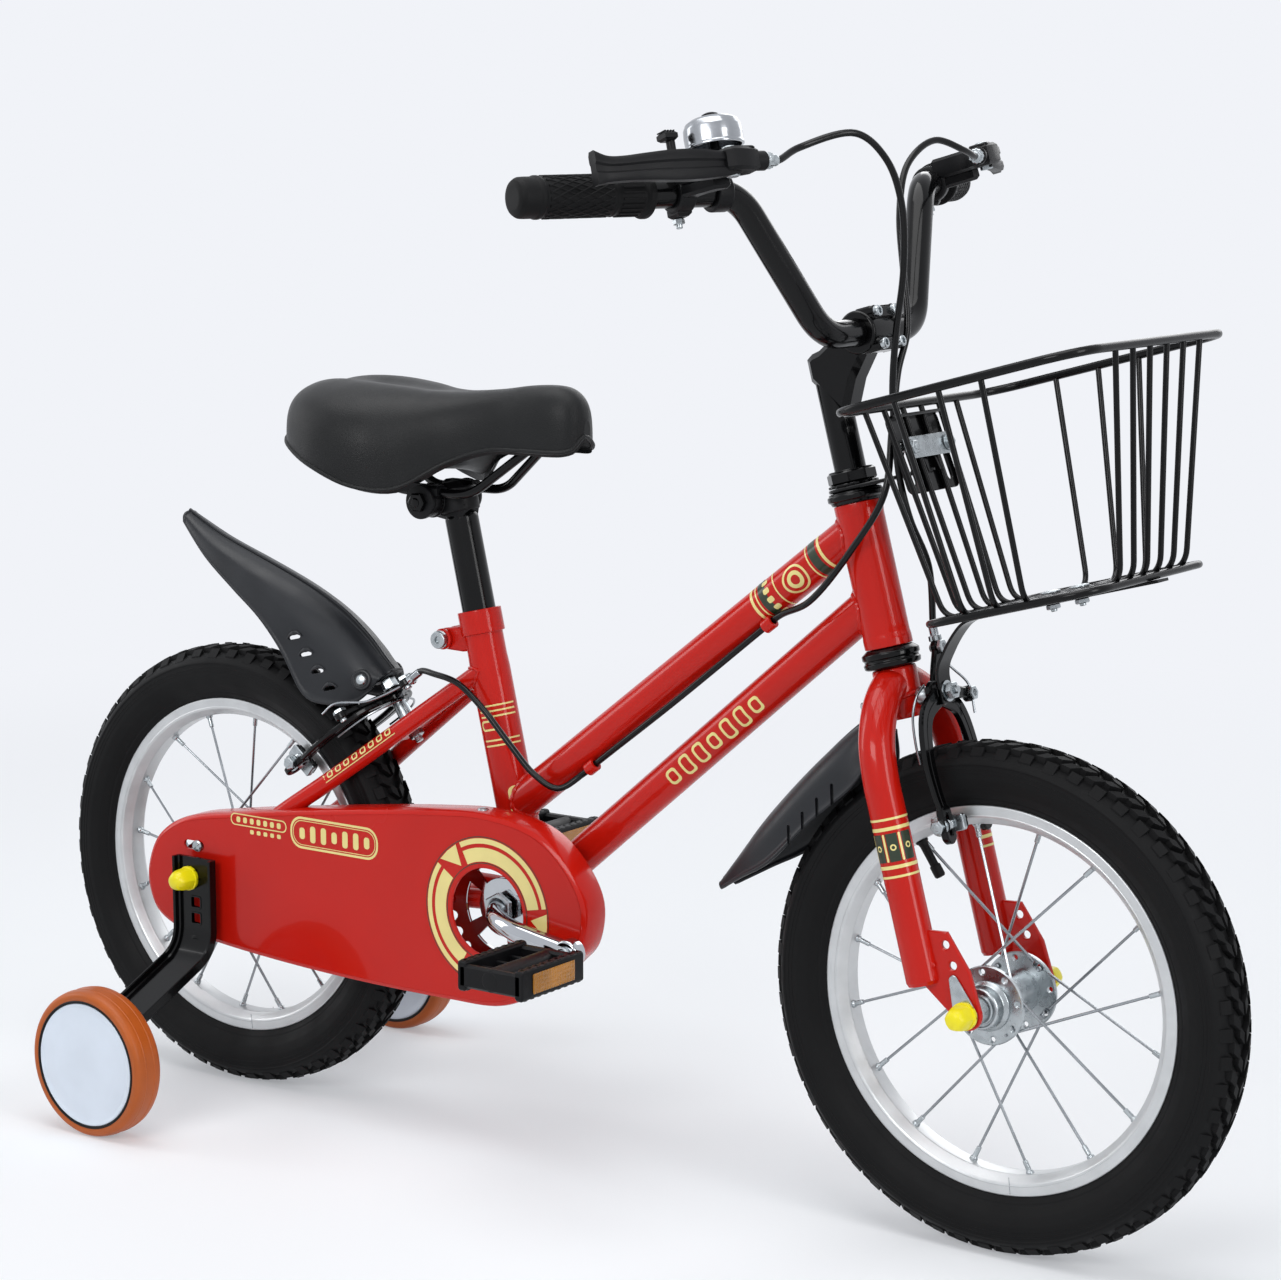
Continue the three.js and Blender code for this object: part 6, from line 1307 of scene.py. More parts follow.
def guard_shell():
    """A pressed steel cover: flat face, bevelled rim, a wall turned back over the chain, and a rolled hem."""
    outline = guard_outline()
    if area(outline) < 0:
        outline = outline[::-1]
    window = circle(BB.x, BB.z, WINDOW_R, 56)
    slot = oblong((-358, 202, 3.6), (-344, 202, 3.6))
    shapes = [grid([[V((x, across, z)) for x, z in slot] for across in (-54.7, -57.0)])]
    section = [(-54.9, 6.5), (-56.6, 4.6), (-57, 3.9), (-56.6, 2.6), (-55.2, 0.7), (-53.2, 0), (-33.4, 0),
               (-32.2, 0.5), (-31.2, 0.9), (-31.0, 1.7), (-31.6, 2.3), (-33, 2.35), (-52.6, 2.35),
               (-54.0, 3.2), (-54.6, 4.6)]
    shapes.append(grid([[V((x, across, z)) for x, z in (inset(outline, d) if d else outline)]
                        for across, d in section]))
    for across, edge in ((-57.0, 4.2), (-54.7, 4.4)):
        loops = [[V((x, z, 0)) for x, z in loop] for loop in (inset(outline, edge), window, slot)]
        flat = [V((p.x, across, p.y)) for loop in loops for p in loop]
        tris = []
        for t in tessellate_polygon(loops):
            a, b, c = (flat[i] for i in t)
            facing = (b - a).cross(c - a).y
            tris.append(list(t) if (facing < 0) == (across < -56) else list(t)[::-1])
        shapes.append((flat, tris))
    lip = [(-56.95, 0), (-56.4, -0.6), (-55.2, -0.6), (-54.7, 0)]
    turns = [2 * pi * k / 56 for k in range(56)]
    shapes.append(grid([[V((BB.x + cos(t) * (WINDOW_R + d), across, BB.z + sin(t) * (WINDOW_R + d)))
                         for t in turns] for across, d in lip]))
    return shapes


def guard_metal():
    """The slotted screw in the guard's face, and the screw with its washer on top."""
    spot, top = V((-346.6, -57.5, 202)), V((-69, -45, 263.2))
    askew = basis(V((0.8, 0, 0.6)), V((-0.6, 0, 0.8)), -Y, spot)
    blade = block((-3.6, -0.5, 2.2), (3.6, 0.5, 3.0), askew, 0.1)
    return [screw_head(spot, -Y, 4.6, 2.6), blade,
            screw_head(top, Z, 4.4, 2.6), washer(top - V((0, 0, 0.7)), Z, 5.6, 0.9, 28)]


def slot_shape(u, v, length, width, turn):
    """A turned slot with round ends."""
    shape = round_rect(0, 0, length, width, width / 2 - 0.01)
    return [(u + x * cos(turn) - y * sin(turn), v + x * sin(turn) + y * cos(turn)) for x, y in shape]


piece("chain_cover", "frame", RED, guard_shell(), ["chain_guard"], angle=30)
piece("chain_cover_screws", "frame", ZINC, guard_metal())


def flat_decal(outline, holes=()):
    """Film on the guard's flat face."""
    return inside_out(decal(outline, list(holes), lambda u, v: V((u, FILM_FACE, v)), 4.0))


def ring_part(start, end, inner, outer):
    """A part of a flat ring round the crank, between two angles in degrees."""
    a0, a1, steps = radians(start), radians(end), max(2, int(abs(end - start) / 4))
    return arc(BB.x, BB.z, outer, a0, a1, steps) + arc(BB.x, BB.z, inner, a1, a0, steps)


def crank_point(angle, radius):
    return BB.x + radius * cos(radians(angle)), BB.z + radius * sin(radians(angle))


def guard_film():
    """Two arcs with pointers round the window, and a framed row of bars, in gold with dark edges."""
    gold = [ring_part(a0, a1, r0, r1)
            for a0, a1 in ((11, 117), (145, 240)) for r0, r1 in ((38.5, 49), (52, 56))]
    gold += [[crank_point(121, 56), crank_point(131, 56), crank_point(141, 56), crank_point(126, 40)]]
    gold += [[crank_point(7, 56), crank_point(-3, 56), crank_point(-12, 56), crank_point(0, 41)]]
    gold += [ring_part(a - 4, a, 41, 56) for a in (-16, -23, -30)]
    gold += [round_rect(-237 + 10.8 * k, 226.5 + 0.1 * k, 5.4, 13 if k % 3 else 9, 2.2) for k in range(7)]
    gold += [round_rect(-303 + 7 * k, 229, 4, 4.6, 1.4) for k in range(7)]
    gold += [round_rect(-289 + 7 * k, 220.5, 4, 3.4, 1.2) for k in range(5)]
    framed = [(round_rect(-205, 227, 88, 25, 11), round_rect(-205, 227, 84.4, 21.4, 9.6)),
              (round_rect(-205, 227, 82.6, 19.6, 9), round_rect(-205, 227, 81.4, 18.4, 8.6)),
              (round_rect(-282, 229, 58, 9.6, 4.4), round_rect(-282, 229, 56, 7.8, 3.8))]
    dark = [(circle(BB.x, BB.z, r + 0.35, 64), circle(BB.x, BB.z, r - 0.35, 64)) for r in (37.4, 57.1)]
    return ([flat_decal(g) for g in gold] + [flat_decal(a, [b]) for a, b in framed],
            [flat_decal(a, [b]) for a, b in dark])


gold_film, ink_film = guard_film()
piece("chain_cover_gold_film", "frame", GOLD, gold_film, weld=False)
piece("chain_cover_ink_film", "frame", INK, ink_film, weld=False)


def pitch_radius(teeth):
    return PITCH / (2 * sin(pi / teeth))


def chain_path():
    """The chain's closed line round both sprockets, from the rear axle."""
    big, small = pitch_radius(RING_TEETH), pitch_radius(SPROCKET_TEETH)
    span = math.hypot(CRANK_AHEAD, CRANK_RISE)
    tilt = math.atan2(CRANK_RISE, CRANK_AHEAD)
    lean = math.asin((big - small) / span)
    line = []
    steps = 40
    for i in range(steps + 1):
        a = tilt + pi / 2 + lean + (pi - 2 * lean) * i / steps
        line.append(V((small * cos(a), 0, small * sin(a))))
    for i in range(steps + 1):
        a = tilt - pi / 2 - lean + (pi + 2 * lean) * i / steps
        line.append(V((CRANK_AHEAD + big * cos(a), 0, CRANK_RISE + big * sin(a))))
    return line


def chain_shapes():
    """Inner and outer links with rollers and rivets."""
    line = chain_path()
    total = sum((b - a).length for a, b in zip(line, [*line[1:], line[0]]))
    count = round(total / PITCH / 2) * 2
    joints = [REAR + V((p.x, -CHAIN_LINE, p.z)) for p in even_points(line, count, closed=True)]
    shapes = []
    for k, (a, b) in enumerate(zip(joints, [*joints[1:], joints[0]])):
        outer = k % 2 == 0
        along = (b - a).normalized()
        length = (b - a).length
        link = arc(0, 0, 3.6, pi / 2, 3 * pi / 2, 8) + arc(length, 0, 3.6, -pi / 2, pi / 2, 8)
        link.insert(9, (length / 2, -2.7))
        link.append((length / 2, 2.7))
        m = basis(along, along.cross(Y), -Y, a)
        for side in SIDES:
            near, far = (2.5, 3.3) if outer else (1.5, 2.3)
            low, high = sorted((side * near, side * far))
            shapes.append(plate(link, low, high, m, (), 0.2))
        if outer:
            for spot in (a, b):
                shapes.append(rod(spot - Y * 3.5, spot + Y * 3.5, 1.7, 10, 0.3))
        shapes.append(rod(a - Y * 1.6, a + Y * 1.6, 3.1, 14, 0.2))
    return shapes


def sprocket(centre, teeth, half, windows, bore_radius):
    """A toothed disc at the chain's line."""
    radius = pitch_radius(teeth)
    tooth = ((0.0, -3.4), (0.16, -2.6), (0.3, 0.4), (0.43, 3.2), (0.57, 3.2), (0.7, 0.4), (0.84, -2.6))
    outline = []
    for k in range(teeth):
        for share, proud in tooth:
            a = 2 * pi * (k + share) / teeth
            outline.append(((radius + proud) * cos(a), (radius + proud) * sin(a)))
    m = upright(V((centre.x, -CHAIN_LINE, centre.z)))
    return plate(outline, -half, half, m, [*windows, circle(0, 0, bore_radius, 40)], 0.4)


def ring_windows():
    """The five openings between the chain wheel's arms."""
    made = []
    for k in range(5):
        a0, a1 = 2 * pi * (k + 0.14) / 5, 2 * pi * (k + 0.86) / 5
        made.append(arc(0, 0, 34.5, a0, a1, 12) + arc(0, 0, 22.5, a1 - 0.02, a0 + 0.02, 10))
    return made


CRANK_OUT = V((cos(radians(9)), 0, -sin(radians(9))))


def crank_end(side):
    """The centre of the pedal's boss, without its place across the bike."""
    return BB + CRANK_OUT * (-side * CRANK_ARM)


def crank_side(side):
    """One arm of the one-piece crank: out of the bracket, round two bends and along to the pedal's boss."""
    stations = [(0, 24), (0, 42), (9, 57), (32, 69), (60, 72), (CRANK_ARM, 73)]
    line = smooth([BB + CRANK_OUT * (-side * r) + Y * side * y for r, y in stations], 10)
    radii = [7.5 if i < 30 else 7.5 + 0.8 * (i - 30) / (len(line) - 30) for i in range(len(line))]
    boss = [(0, 66.4), (9.2, 66.4), (10.6, 67.6), (10.6, 77.6), (9.4, 79), (0, 79)]
    return [tube(line, radii, 32), turned(boss, 0.8, crank_end(side), Y * side, 40)]


def crank_hardware():
    """The bracket's cones and lock nuts, and the pedals' spindles with their shoulders."""
    shapes = []
    for side in SIDES:
        cone = [(10.2, 31.5), (15.0, 31.7), (15.0, 33.0), (13.4, 33.6), (13.4, 34.2), (10.2, 34.2)]
        shapes.append(turned([*cone, cone[0]], 0.4, BB, Y * side, 44))
        low, high = (40, 45) if side < 0 else (34.4, 39)
        across = basis(X, V((0, 0, -side)), Y * side, BB)
        shapes.append(plate(polygon(12.6, 6, 0.5), low, high, across, [circle(0, 0, 8.2, 28)], 0.8))
        end = crank_end(side)
        shapes.append(rod(end + Y * side * 78, end + Y * side * 97, 4.5, 24, 0.6))
        shapes.append(hex_head(end + Y * side * 79.2, Y * side, 6.2, 3.0, 24))
    return shapes


def pedal_cage(side):
    """A moulded cage pedal: two long rails with teeth, two end plates, the barrel and its cap."""
    shapes = []
    for u in (-1, 1):
        rail = u * 25.2
        shapes.append(plate(round_rect(rail, 0, 7.6, 22, 2.6), -36, 36, upright(ORIGIN), (), 1.2))
        for k in range(9):
            y = -31 + k * 7.75
            for z in (-1, 1):
                low, high = sorted((z * 10.2, z * 11.0))
                shapes.append(block((rail - 3.0, y - 1.7, low), (rail + 3.0, y + 1.7, high), XY, 0.4))
    for y0, y1 in ((-36, -30), (28, 36)):
        shapes.append(block((-26, y0, -8.5), (26, y1, 8.5), XY, 1.8))
    shapes.append(rod(V((0, -35.5, 0)), V((0, 35.5, 0)), 8.5, 32, 0.8))
    for y in (-17, 0, 17):
        shapes.append(block((-23, y - 1.4, -4.2), (23, y + 1.4, 4.2), XY, 0.7))
    cap = [(0, 36.2), (6.4, 36.2), (7.6, 35.0), (7.6, 34), (0, 34)]
    shapes.append(turned(cap, 0.5, ORIGIN, Y * side, 28))
    return shapes


def pedal_reflectors():
    """Amber reflectors let into the front and rear rails, with rows of small prisms."""
    shapes = []
    corners = ((-1.3, -1.3), (1.3, -1.3), (1.3, 1.3), (-1.3, 1.3))
    faces = [[0, 1, 4], [1, 2, 4], [2, 3, 4], [3, 0, 4]]
    for u in (-1, 1):
        low, high = sorted((u * 27.6, u * 29.6))
        shapes.append(block((low, -24, -7), (high, 24, 7), XY, 0.8))
        x = u * 29.5
        for i in range(16):
            for j in range(5):
                y, z = -22.5 + 3 * i, -6 + 3 * j
                foot = [V((x, y + dy, z + dz)) for dy, dz in corners]
                prism = ([*foot, V((x + u * 0.55, y, z))], faces)
                shapes.append(prism if u > 0 else inside_out(prism))
    return shapes


piece("drive_chain", "frame", SPOKE, chain_shapes(), ["chain"], weld=False)
crank_core = rod(BB - Y * 30, BB + Y * 30, 9.2, 32, 0.5)
piece("crank_forging", "crank", CHROME, [*crank_side(-1), *crank_side(1), crank_core], ["crank"])
piece("crank_cones_and_spindles", "crank", ZINC, crank_hardware())
piece("chain_wheel", "crank", CHROME, [sprocket(BB, RING_TEETH, 1.2, ring_windows(), 9.4)],
      ["chainring"])
sprocket_boss = turned([(5.4, -31.5), (14.6, -31.5), (14.6, -40), (12, -41), (5.4, -41), (5.4, -31.5)],
                       0.5, REAR, Y, 40)
piece("rear_sprocket", "rear_wheel", ZINC,
      [sprocket(REAR, SPROCKET_TEETH, 1.2, [], 14.0), sprocket_boss])
for pedal_side, pedal_name in NAMED_SIDES:
    pedal_at = Matrix.Translation(crank_end(pedal_side) + Y * pedal_side * PEDAL_OUT)
    pedal_body = f"pedal_{pedal_name}"
    piece(f"pedal_cage_{pedal_name}", pedal_body, PLASTIC,
          placed(pedal_cage(pedal_side), pedal_at), [pedal_body])
    piece(f"pedal_reflectors_{pedal_name}", pedal_body, AMBER,
          placed(pedal_reflectors(), pedal_at), weld=False)

# Axle ends and training wheels


def axle_cap(centre, side, start, end):
    """A push-on plastic cap: six flats, a stepped mouth and a domed end."""
    length = end - start
    # along the axle, radius, and how flat the six sides are
    stations = ((0, 9.6, 0.0), (2.4, 9.6, 0.0), (2.6, 8.9, 0.6), (length * 0.62, 8.3, 0.6),
                (length * 0.8, 7.4, 0.4), (length * 0.93, 5.9, 0.2), (length, 3.4, 0.0), (length, 0.01, 0.0))
    rows = []
    for s, r, flats in stations:
        ring_points = []
        for k in range(48):
            a = 2 * pi * k / 48
            flat = cos(pi / 6) / cos((a % (pi / 3)) - pi / 6)
            rr = r * (1 - flats + flats * flat * 1.04)
            ring_points.append(centre + V((cos(a) * rr, side * (start + s), sin(a) * rr)))
        rows.append(ring_points)
    shell = grid(rows)
    mouth = lathe([(9.6, start), (5.2, start)], centre, Y * side, 40)
    return [shell if side < 0 else inside_out(shell), mouth]


TRAINER_X, TRAINER_OUT, TRAINER_R = REAR.x + 6, 180, 57
STRAP_HOLES = (159, 146)
SQUARE_HOLE = (9, 8, 1.2)


def bracket_strap(side):
    """A channel-section steel strap: a flat web, two lips turned out and a bend above the wheel."""
    line = [V((0, 65.5, 195)), V((0, 65.5, 120)), V((0, 155.5, 79)), V((0, 159.5, 72)), V((0, 159.5, 43))]
    path = bent(line[:3], 20, 10)[:-1] + bent(line[1:], 4.0, 6)[1:]
    section = [(-20, 6.3), (-20, -0.4), (-19.1, -1.5), (19.1, -1.5), (20, -0.4), (20, 6.3), (19.4, 7.0),
               (18.4, 7.0), (17.6, 6.3), (17.6, 2.4), (16.6, 1.5), (-16.6, 1.5), (-17.6, 2.4), (-17.6, 6.3),
               (-18.4, 7.0), (-19.4, 7.0)]
    rows = []
    for i, p in enumerate(path):
        after = path[min(i + 1, len(path) - 1)] - p
        before = p - path[max(i - 1, 0)]
        t = (after.normalized() + before.normalized()).normalized()
        normal = V((0, -t.z, t.y))
        rows.append([V((TRAINER_X + u, p.y + normal.y * v, p.z + normal.z * v)) for u, v in section])
    shapes = [grid(rows), fill(rows[0], Z), fill(rows[-1], -Z)]
    return [mirrored(s) for s in shapes] if side < 0 else shapes


def bracket_marks(side):
    """Raised edges round the strap's square holes, and the dimpled boss at its bend."""
    shapes = []
    low, high = sorted((-side * 67.05, -side * 67.5))
    raised, hole = round_rect(0, 0, 11.6, 10.6, 2), round_rect(0, 0, *SQUARE_HOLE)
    for z in STRAP_HOLES:
        shapes.append(plate(raised, low, high, upright(V((TRAINER_X, 0, z))), [hole], 0.2))
    boss = [(7.5, 0), (6.6, 1.6), (4.4, 2.2), (2.6, 1.4), (0, 1.2)]
    shapes.append(turned(boss, 0.4, V((TRAINER_X, side * 66.6, 126)), Y * side, 28))
    return shapes


def strap_hole(side, z):
    """What is carved out of the strap for one square hole."""
    m = upright(V((TRAINER_X, 0, z)))
    low, high = sorted((-side * 60, -side * 72))
    return plate(round_rect(0, 0, *SQUARE_HOLE), low, high, m, (), 0.05)


def training_wheel(side, name):
    """A small wheel: solid tyre, domed disc and trim rings. Returns its bolt's shapes."""
    centre = V((TRAINER_X, side * TRAINER_OUT, TRAINER_R))
    body = f"training_wheel_{name}"
    half = [(57.0, 7.0), (56.2, 10.6), (54.4, 12.8), (51.5, 13.4), (48.6, 12.4)]
    shapes = [turned([(r, -y) for r, y in half[::-1]] + half + [(48.6, -12.4)], 1.2, centre, Y, 128)]
    for across in (-4.6, 4.6):
        shapes.append(lathe([(57.0, across - 0.6), (57.25, across), (57.0, across + 0.6)], centre, Y, 120))
    piece(f"small_tyre_{name}", body, ORANGE, shapes, [f"training_tyre_{name}"])
    disc = []
    for face in SIDES:
        if face == side:
            profile = [(0, 14.6), (16, 14.3), (32, 13.4), (42, 12.2), (44.4, 12.2), (46, 12.9),
                       (47.4, 12.9), (48.3, 11.6), (48.3, 0)]
        else:
            profile = [(5.3, 12.2), (12.4, 12.2), (13.0, 11.6), (13.4, 9.8), (15.0, 9.2), (30.0, 10.4),
                       (42.2, 12.0), (45.4, 13.1), (47.4, 12.9), (48.3, 11.6), (48.3, 0)]
        disc.append(turned(profile, 0.9, centre, Y * face, 96))
    disc.append(lathe([(5.3, -12.2), (5.3, 11), (0, 11)], centre, Y * side, 32))
    piece(f"small_wheel_disc_{name}", body, WHITE, disc, [f"training_disc_{name}"])
    trim = [turned([(47.6, 12.3), (48.0, 13.3), (49.4, 13.5), (50.2, 12.6)], 0.4, centre, Y * face, 96)
            for face in SIDES]
    piece(f"small_wheel_ring_{name}", body, PLASTIC, trim)
    return [rod(centre + Y * side * -25.6, centre + Y * side * 10.6, 5.0, 28, 0.6),
            hex_head(centre - Y * side * 22.2, -Y * side, 8.0, 4.2),
            washer(centre - Y * side * 18.6, -Y * side, 10.4, 1.2, 32)]


def set_rear_ends():
    """The rear axle with its nuts and caps, and both training wheels on their straps."""
    axle = [rod(REAR - Y * 84, REAR + Y * 84, AXLE_R, 28, 0.6)]
    for side in SIDES:
        axle.append(hex_head(REAR + Y * side * 57.4, Y * side, 8.4, 6.2))
        axle.append(lathe([(5, 0), (9.6, 0), (9.6, 1.2), (5, 1.2)], REAR + Y * side * 54.5, Y * side, 32))
    piece("rear_spindle_and_nuts", "frame", ZINC, axle, ["rear_axle"])
    for side, name in NAMED_SIDES:
        piece(f"rear_cap_{name}", "frame", YELLOW, axle_cap(REAR, side, 67.3, 86.2),
              [f"rear_axle_cap_{name}"])
        bolt = training_wheel(side, name)
        nodes = [f"training_bracket_{name}"]
        strap = piece(f"training_strap_{name}", "frame", BLACK, bracket_strap(side),
                      nodes, angle=36)
        carve(strap, [strap_hole(side, z) for z in STRAP_HOLES])
        piece(f"training_strap_marks_{name}", "frame", BLACK, bracket_marks(side))
        piece(f"training_wheel_bolt_{name}", "frame", WIRE, bolt)


def set_front_ends():
    """The front axle with a teardrop washer on each tip, and its caps."""
    axle = [rod(FRONT - Y * 71, FRONT + Y * 71, AXLE_R, 28, 0.6)]
    teardrop = oblong((FORK_OFFSET, -FORK_REACH, 9.2), (27.4, -226, 3.4), 14)
    for side in SIDES:
        low, high = sorted((-side * 53.1, -side * 54.8))
        axle.append(plate(teardrop, low, high, STEER @ XZ, (), 0.5))
    piece("front_spindle_and_washers", "steering", ZINC, axle, ["front_axle"])
    for side, name in NAMED_SIDES:
        piece(f"front_cap_{name}", "steering", YELLOW, axle_cap(FRONT, side, 55.0, 72.2),
              [f"front_axle_cap_{name}"])


set_rear_ends()
set_front_ends()

# Basket

RIM_X, FLOOR_X, RIM_Z, FLOOR_Z = 153.0, 143.0, 158.0, 11.0
RIM_LONG, RIM_WIDE, FLOOR_LONG, FLOOR_WIDE = 190, 218, 132, 170
SLOT_SIDE = 23.5
WIRES_ALONG, WIRE_PITCH = 6, 24


def wire_loop(x, z, length, width, corner, radius):
    """A closed wire lying across the steering axis."""
    outline = round_rect(x, 0, length, width, corner, 10)
    return tube([local(u, v, z) for u, v in outline], radius, 16, closed=True)


def basket_wire(corners):
    """A light wire from rim to rim, bent round the floor."""
    return tube(bent([local(*corner) for corner in corners], 13, 8), 2.0, 14)


def basket_shapes():
    """A rim and a floor of heavy wire, six wires lengthways and three across, each from rim to rim."""
    shapes = [wire_loop(RIM_X, RIM_Z, RIM_LONG, RIM_WIDE, 28, 3.0),
              wire_loop(FLOOR_X, FLOOR_Z, FLOOR_LONG, FLOOR_WIDE, 24, 2.6)]
    narrow = FLOOR_WIDE / RIM_WIDE
    for k in range(WIRES_ALONG):
        y = (k - (WIRES_ALONG - 1) / 2) * WIRE_PITCH
        shapes.append(basket_wire((
            (RIM_X - RIM_LONG / 2, y, RIM_Z), (FLOOR_X - FLOOR_LONG / 2, y * narrow, FLOOR_Z),
            (FLOOR_X + FLOOR_LONG / 2, y * narrow, FLOOR_Z), (RIM_X + RIM_LONG / 2, y, RIM_Z))))
    for share in (-0.22, -0.042, 0.126):
        top, foot = RIM_X + share * RIM_LONG, FLOOR_X + share * FLOOR_LONG
        shapes.append(basket_wire((
            (top, -RIM_WIDE / 2, RIM_Z), (foot, -FLOOR_WIDE / 2, FLOOR_Z),
            (foot, FLOOR_WIDE / 2, FLOOR_Z), (top, RIM_WIDE / 2, RIM_Z))))
    return shapes


def along_wires(low, high, offset):
    """A line along the rear wires, moved ahead of them by the offset, as (x, z)."""
    top, foot = RIM_X - RIM_LONG / 2, FLOOR_X - FLOOR_LONG / 2
    return [(top + (foot - top) * (RIM_Z - z) / (RIM_Z - FLOOR_Z) + offset, z) for z in (low, high)]


def basket_carrier():
    """The slotted plate behind the wires and its arm down to the headset."""
    (x0, z0), (x1, z1) = along_wires(97, 151, -3.5)
    up = V((x1 - x0, 0, z1 - z0)).normalized()
    ahead = V((up.z, 0, -up.x))
    m = STEER @ basis(Y, up, Y.cross(up), V((x0, 0, z0)))
    holes = [round_rect(side * SLOT_SIDE, 21, 6, 30, 2.95) for side in SIDES]
    tall = V((x1 - x0, 0, z1 - z0)).length
    face = plate(round_rect(0, tall / 2, 66, tall, 5), -1.2, 1.2, m, holes, 0.5)
    fold = STEER @ basis(Y, ahead, up, V((x1, 0, z1)))
    shapes = [face, plate(round_rect(0, 3.2, 64, 7.5, 2), -2.2, 0, fold, (), 0.6)]
    arm = oblong((0, 0, 18), (57, 0, 8), 16)
    shapes.append(plate(arm, 110.3, 112.8, STEER, [circle(0, 0, 12.9, 32)], 0.6))
    for side in SIDES:
        gusset = STEER @ Matrix.Translation(V((0, side * 7.4, 0))) @ XZ
        shapes.append(plate([(50, 110.6), (66, 110.6), (62, 128), (59, 128)], -0.9, 0.9, gusset, (), 0.3))
    return shapes


def basket_clasp():
    """The bright strip inside the rear wires, with its two screws and nuts."""
    (x0, z0), (x1, z1) = along_wires(120.5, 135.5, 3.1)
    up = V((x1 - x0, 0, z1 - z0)).normalized()
    m = STEER @ basis(Y, up, Y.cross(up), V((x0, 0, z0)))
    shapes = [plate(round_rect(0, 7.5, 62, 15, 2), -0.8, 0.8, m, (), 0.4)]
    for side in SIDES:
        start, nut, flat, head, end = (local(x0 + ahead, side * SLOT_SIDE, 128)
                                       for ahead in (-12.5, 0.9, 0.6, -8.4, 4.5))
        shapes += [rod(start, end, 2.2, 16, 0.4), hex_head(nut, STEER_FWD, 5.0, 3.0),
                   washer(flat, STEER_FWD, 5.8, 0.8, 24), hex_head(head, -STEER_FWD, 4.6, 3.0)]
    return shapes


def basket_strut():
    """The flat strap from the brake bolt up and forward under the floor."""
    line = [(36.9, -45.6), (36.9, -22), (52, -4), (66, 7.1), (215, 7.1)]
    path = bent([V((x, z, 0)) for x, z in line], 8, 6)
    outline = ribbon([(p.x, p.y) for p in path], 2)
    return [plate(outline, -8, 8, STEER @ XZ, (), 0.5)]


def basket_strut_screws():
    """The two screws from the floor's wires into the strut."""
    shapes = []
    cup = [(0, 0), (7, 0), (7, 1.2), (4, 2.0), (0, 2.2)]
    for x in (132, 154):
        shapes.append(rod(local(x, 0, 1.0), local(x, 0, 14.8), 2.2, 16, 0.4))
        shapes.append(hex_head(local(x, 0, 6.0), -STEER_UP, 4.8, 3.4))
        shapes.append(turned(cup, 0.3, local(x, 0, 13.4), STEER_UP, 28))
    return shapes


piece("basket_wires", "steering", WIRE, basket_shapes(), ["basket"])
piece("basket_back_plate", "steering", BLACK, basket_carrier(), ["basket_bracket"])
piece("basket_clasp_strip", "steering", ZINC, basket_clasp(), ["basket_strip"])
piece("basket_strut", "steering", BLACK, basket_strut(), ["basket_stay"])
piece("basket_strut_screws", "steering", ZINC, basket_strut_screws())

# Rim brakes

PAD_X = 30.15
PAD_R = 125.5
LAYER_LOW, LAYER_STEP = 25, 5.3
BRAKE_DROP = 37.6


def brake_frame(origin, bolt_axis, away):
    """A caliper's axes: x out along its bolt, z away from the wheel's centre."""
    return basis(bolt_axis, away.cross(bolt_axis), away, origin)


FRONT_BRAKE = STEER @ brake_frame(V((0, 0, -BRAKE_DROP)), X, Z)
REAR_BRAKE = brake_frame(on_stays(BRIDGE_DOWN, 0, 0), STAY_NORMAL, -STAY_SLOPE)


def pad_place(m, centre):
    """How far below the brake's bolt the blocks meet the rim, and their turn to lie along it."""
    hub_at = m.inverted() @ centre
    beside = PAD_X - hub_at.x
    rise = math.sqrt(PAD_R ** 2 - beside ** 2)
    return -hub_at.z - rise, math.atan2(beside, rise)


def arm_shapes(layer, side, reach, anchor):
    """A cast brake arm: round eye, tapering curved beam with a web, slotted end and the cable's anchor."""
    low = LAYER_LOW + layer * LAYER_STEP
    high = low + 5
    bends = ((0, 0), (side * 25, -13), (side * 34, -40), (side * 33, -reach + 24), (side * 29.5, -reach + 8))
    path = [(p.x, p.y) for p in smooth([V((u, v, 0)) for u, v in bends], 8)]
    outline = ribbon(path, 11.5)
    n = len(outline) // 2
    tapered = []
    for i, (u, v) in enumerate(outline):
        k = i if i < n else 2 * n - 1 - i
        cu, cv = path[k]
        factor = 1.25 - 0.45 * k / n
        tapered.append((cu + (u - cu) * factor, cv + (v - cv) * factor))
    end = oblong((side * 29.5, -reach + 8, 6.2), (side * 29, -reach - 7, 6.2), 10)
    slot = oblong((side * 29.4, -reach + 6, 2.3), (side * 29.1, -reach - 5, 2.3), 8)
    lever = ribbon([(0, 0), (anchor[0] * 0.5, anchor[1] * 0.5 + 1.5), anchor], 8)
    return [
        plate(tapered, low + 0.4, high - 0.4, YZ, (), 1.0),
        plate(ribbon(path[2:-2], 3.0), low, high, YZ, (), 0.8),
        plate(end, low - 0.3, high + 0.3, YZ, [slot], 0.9),
        rod(V((low, 0, 0)), V((high, 0, 0)), 9, 36, 1.0),
        plate(lever, low + 0.2, high - 0.2, YZ, (), 1.2),
        rod(V((low, *anchor)), V((high, *anchor)), 5.6, 28, 0.8),
    ]


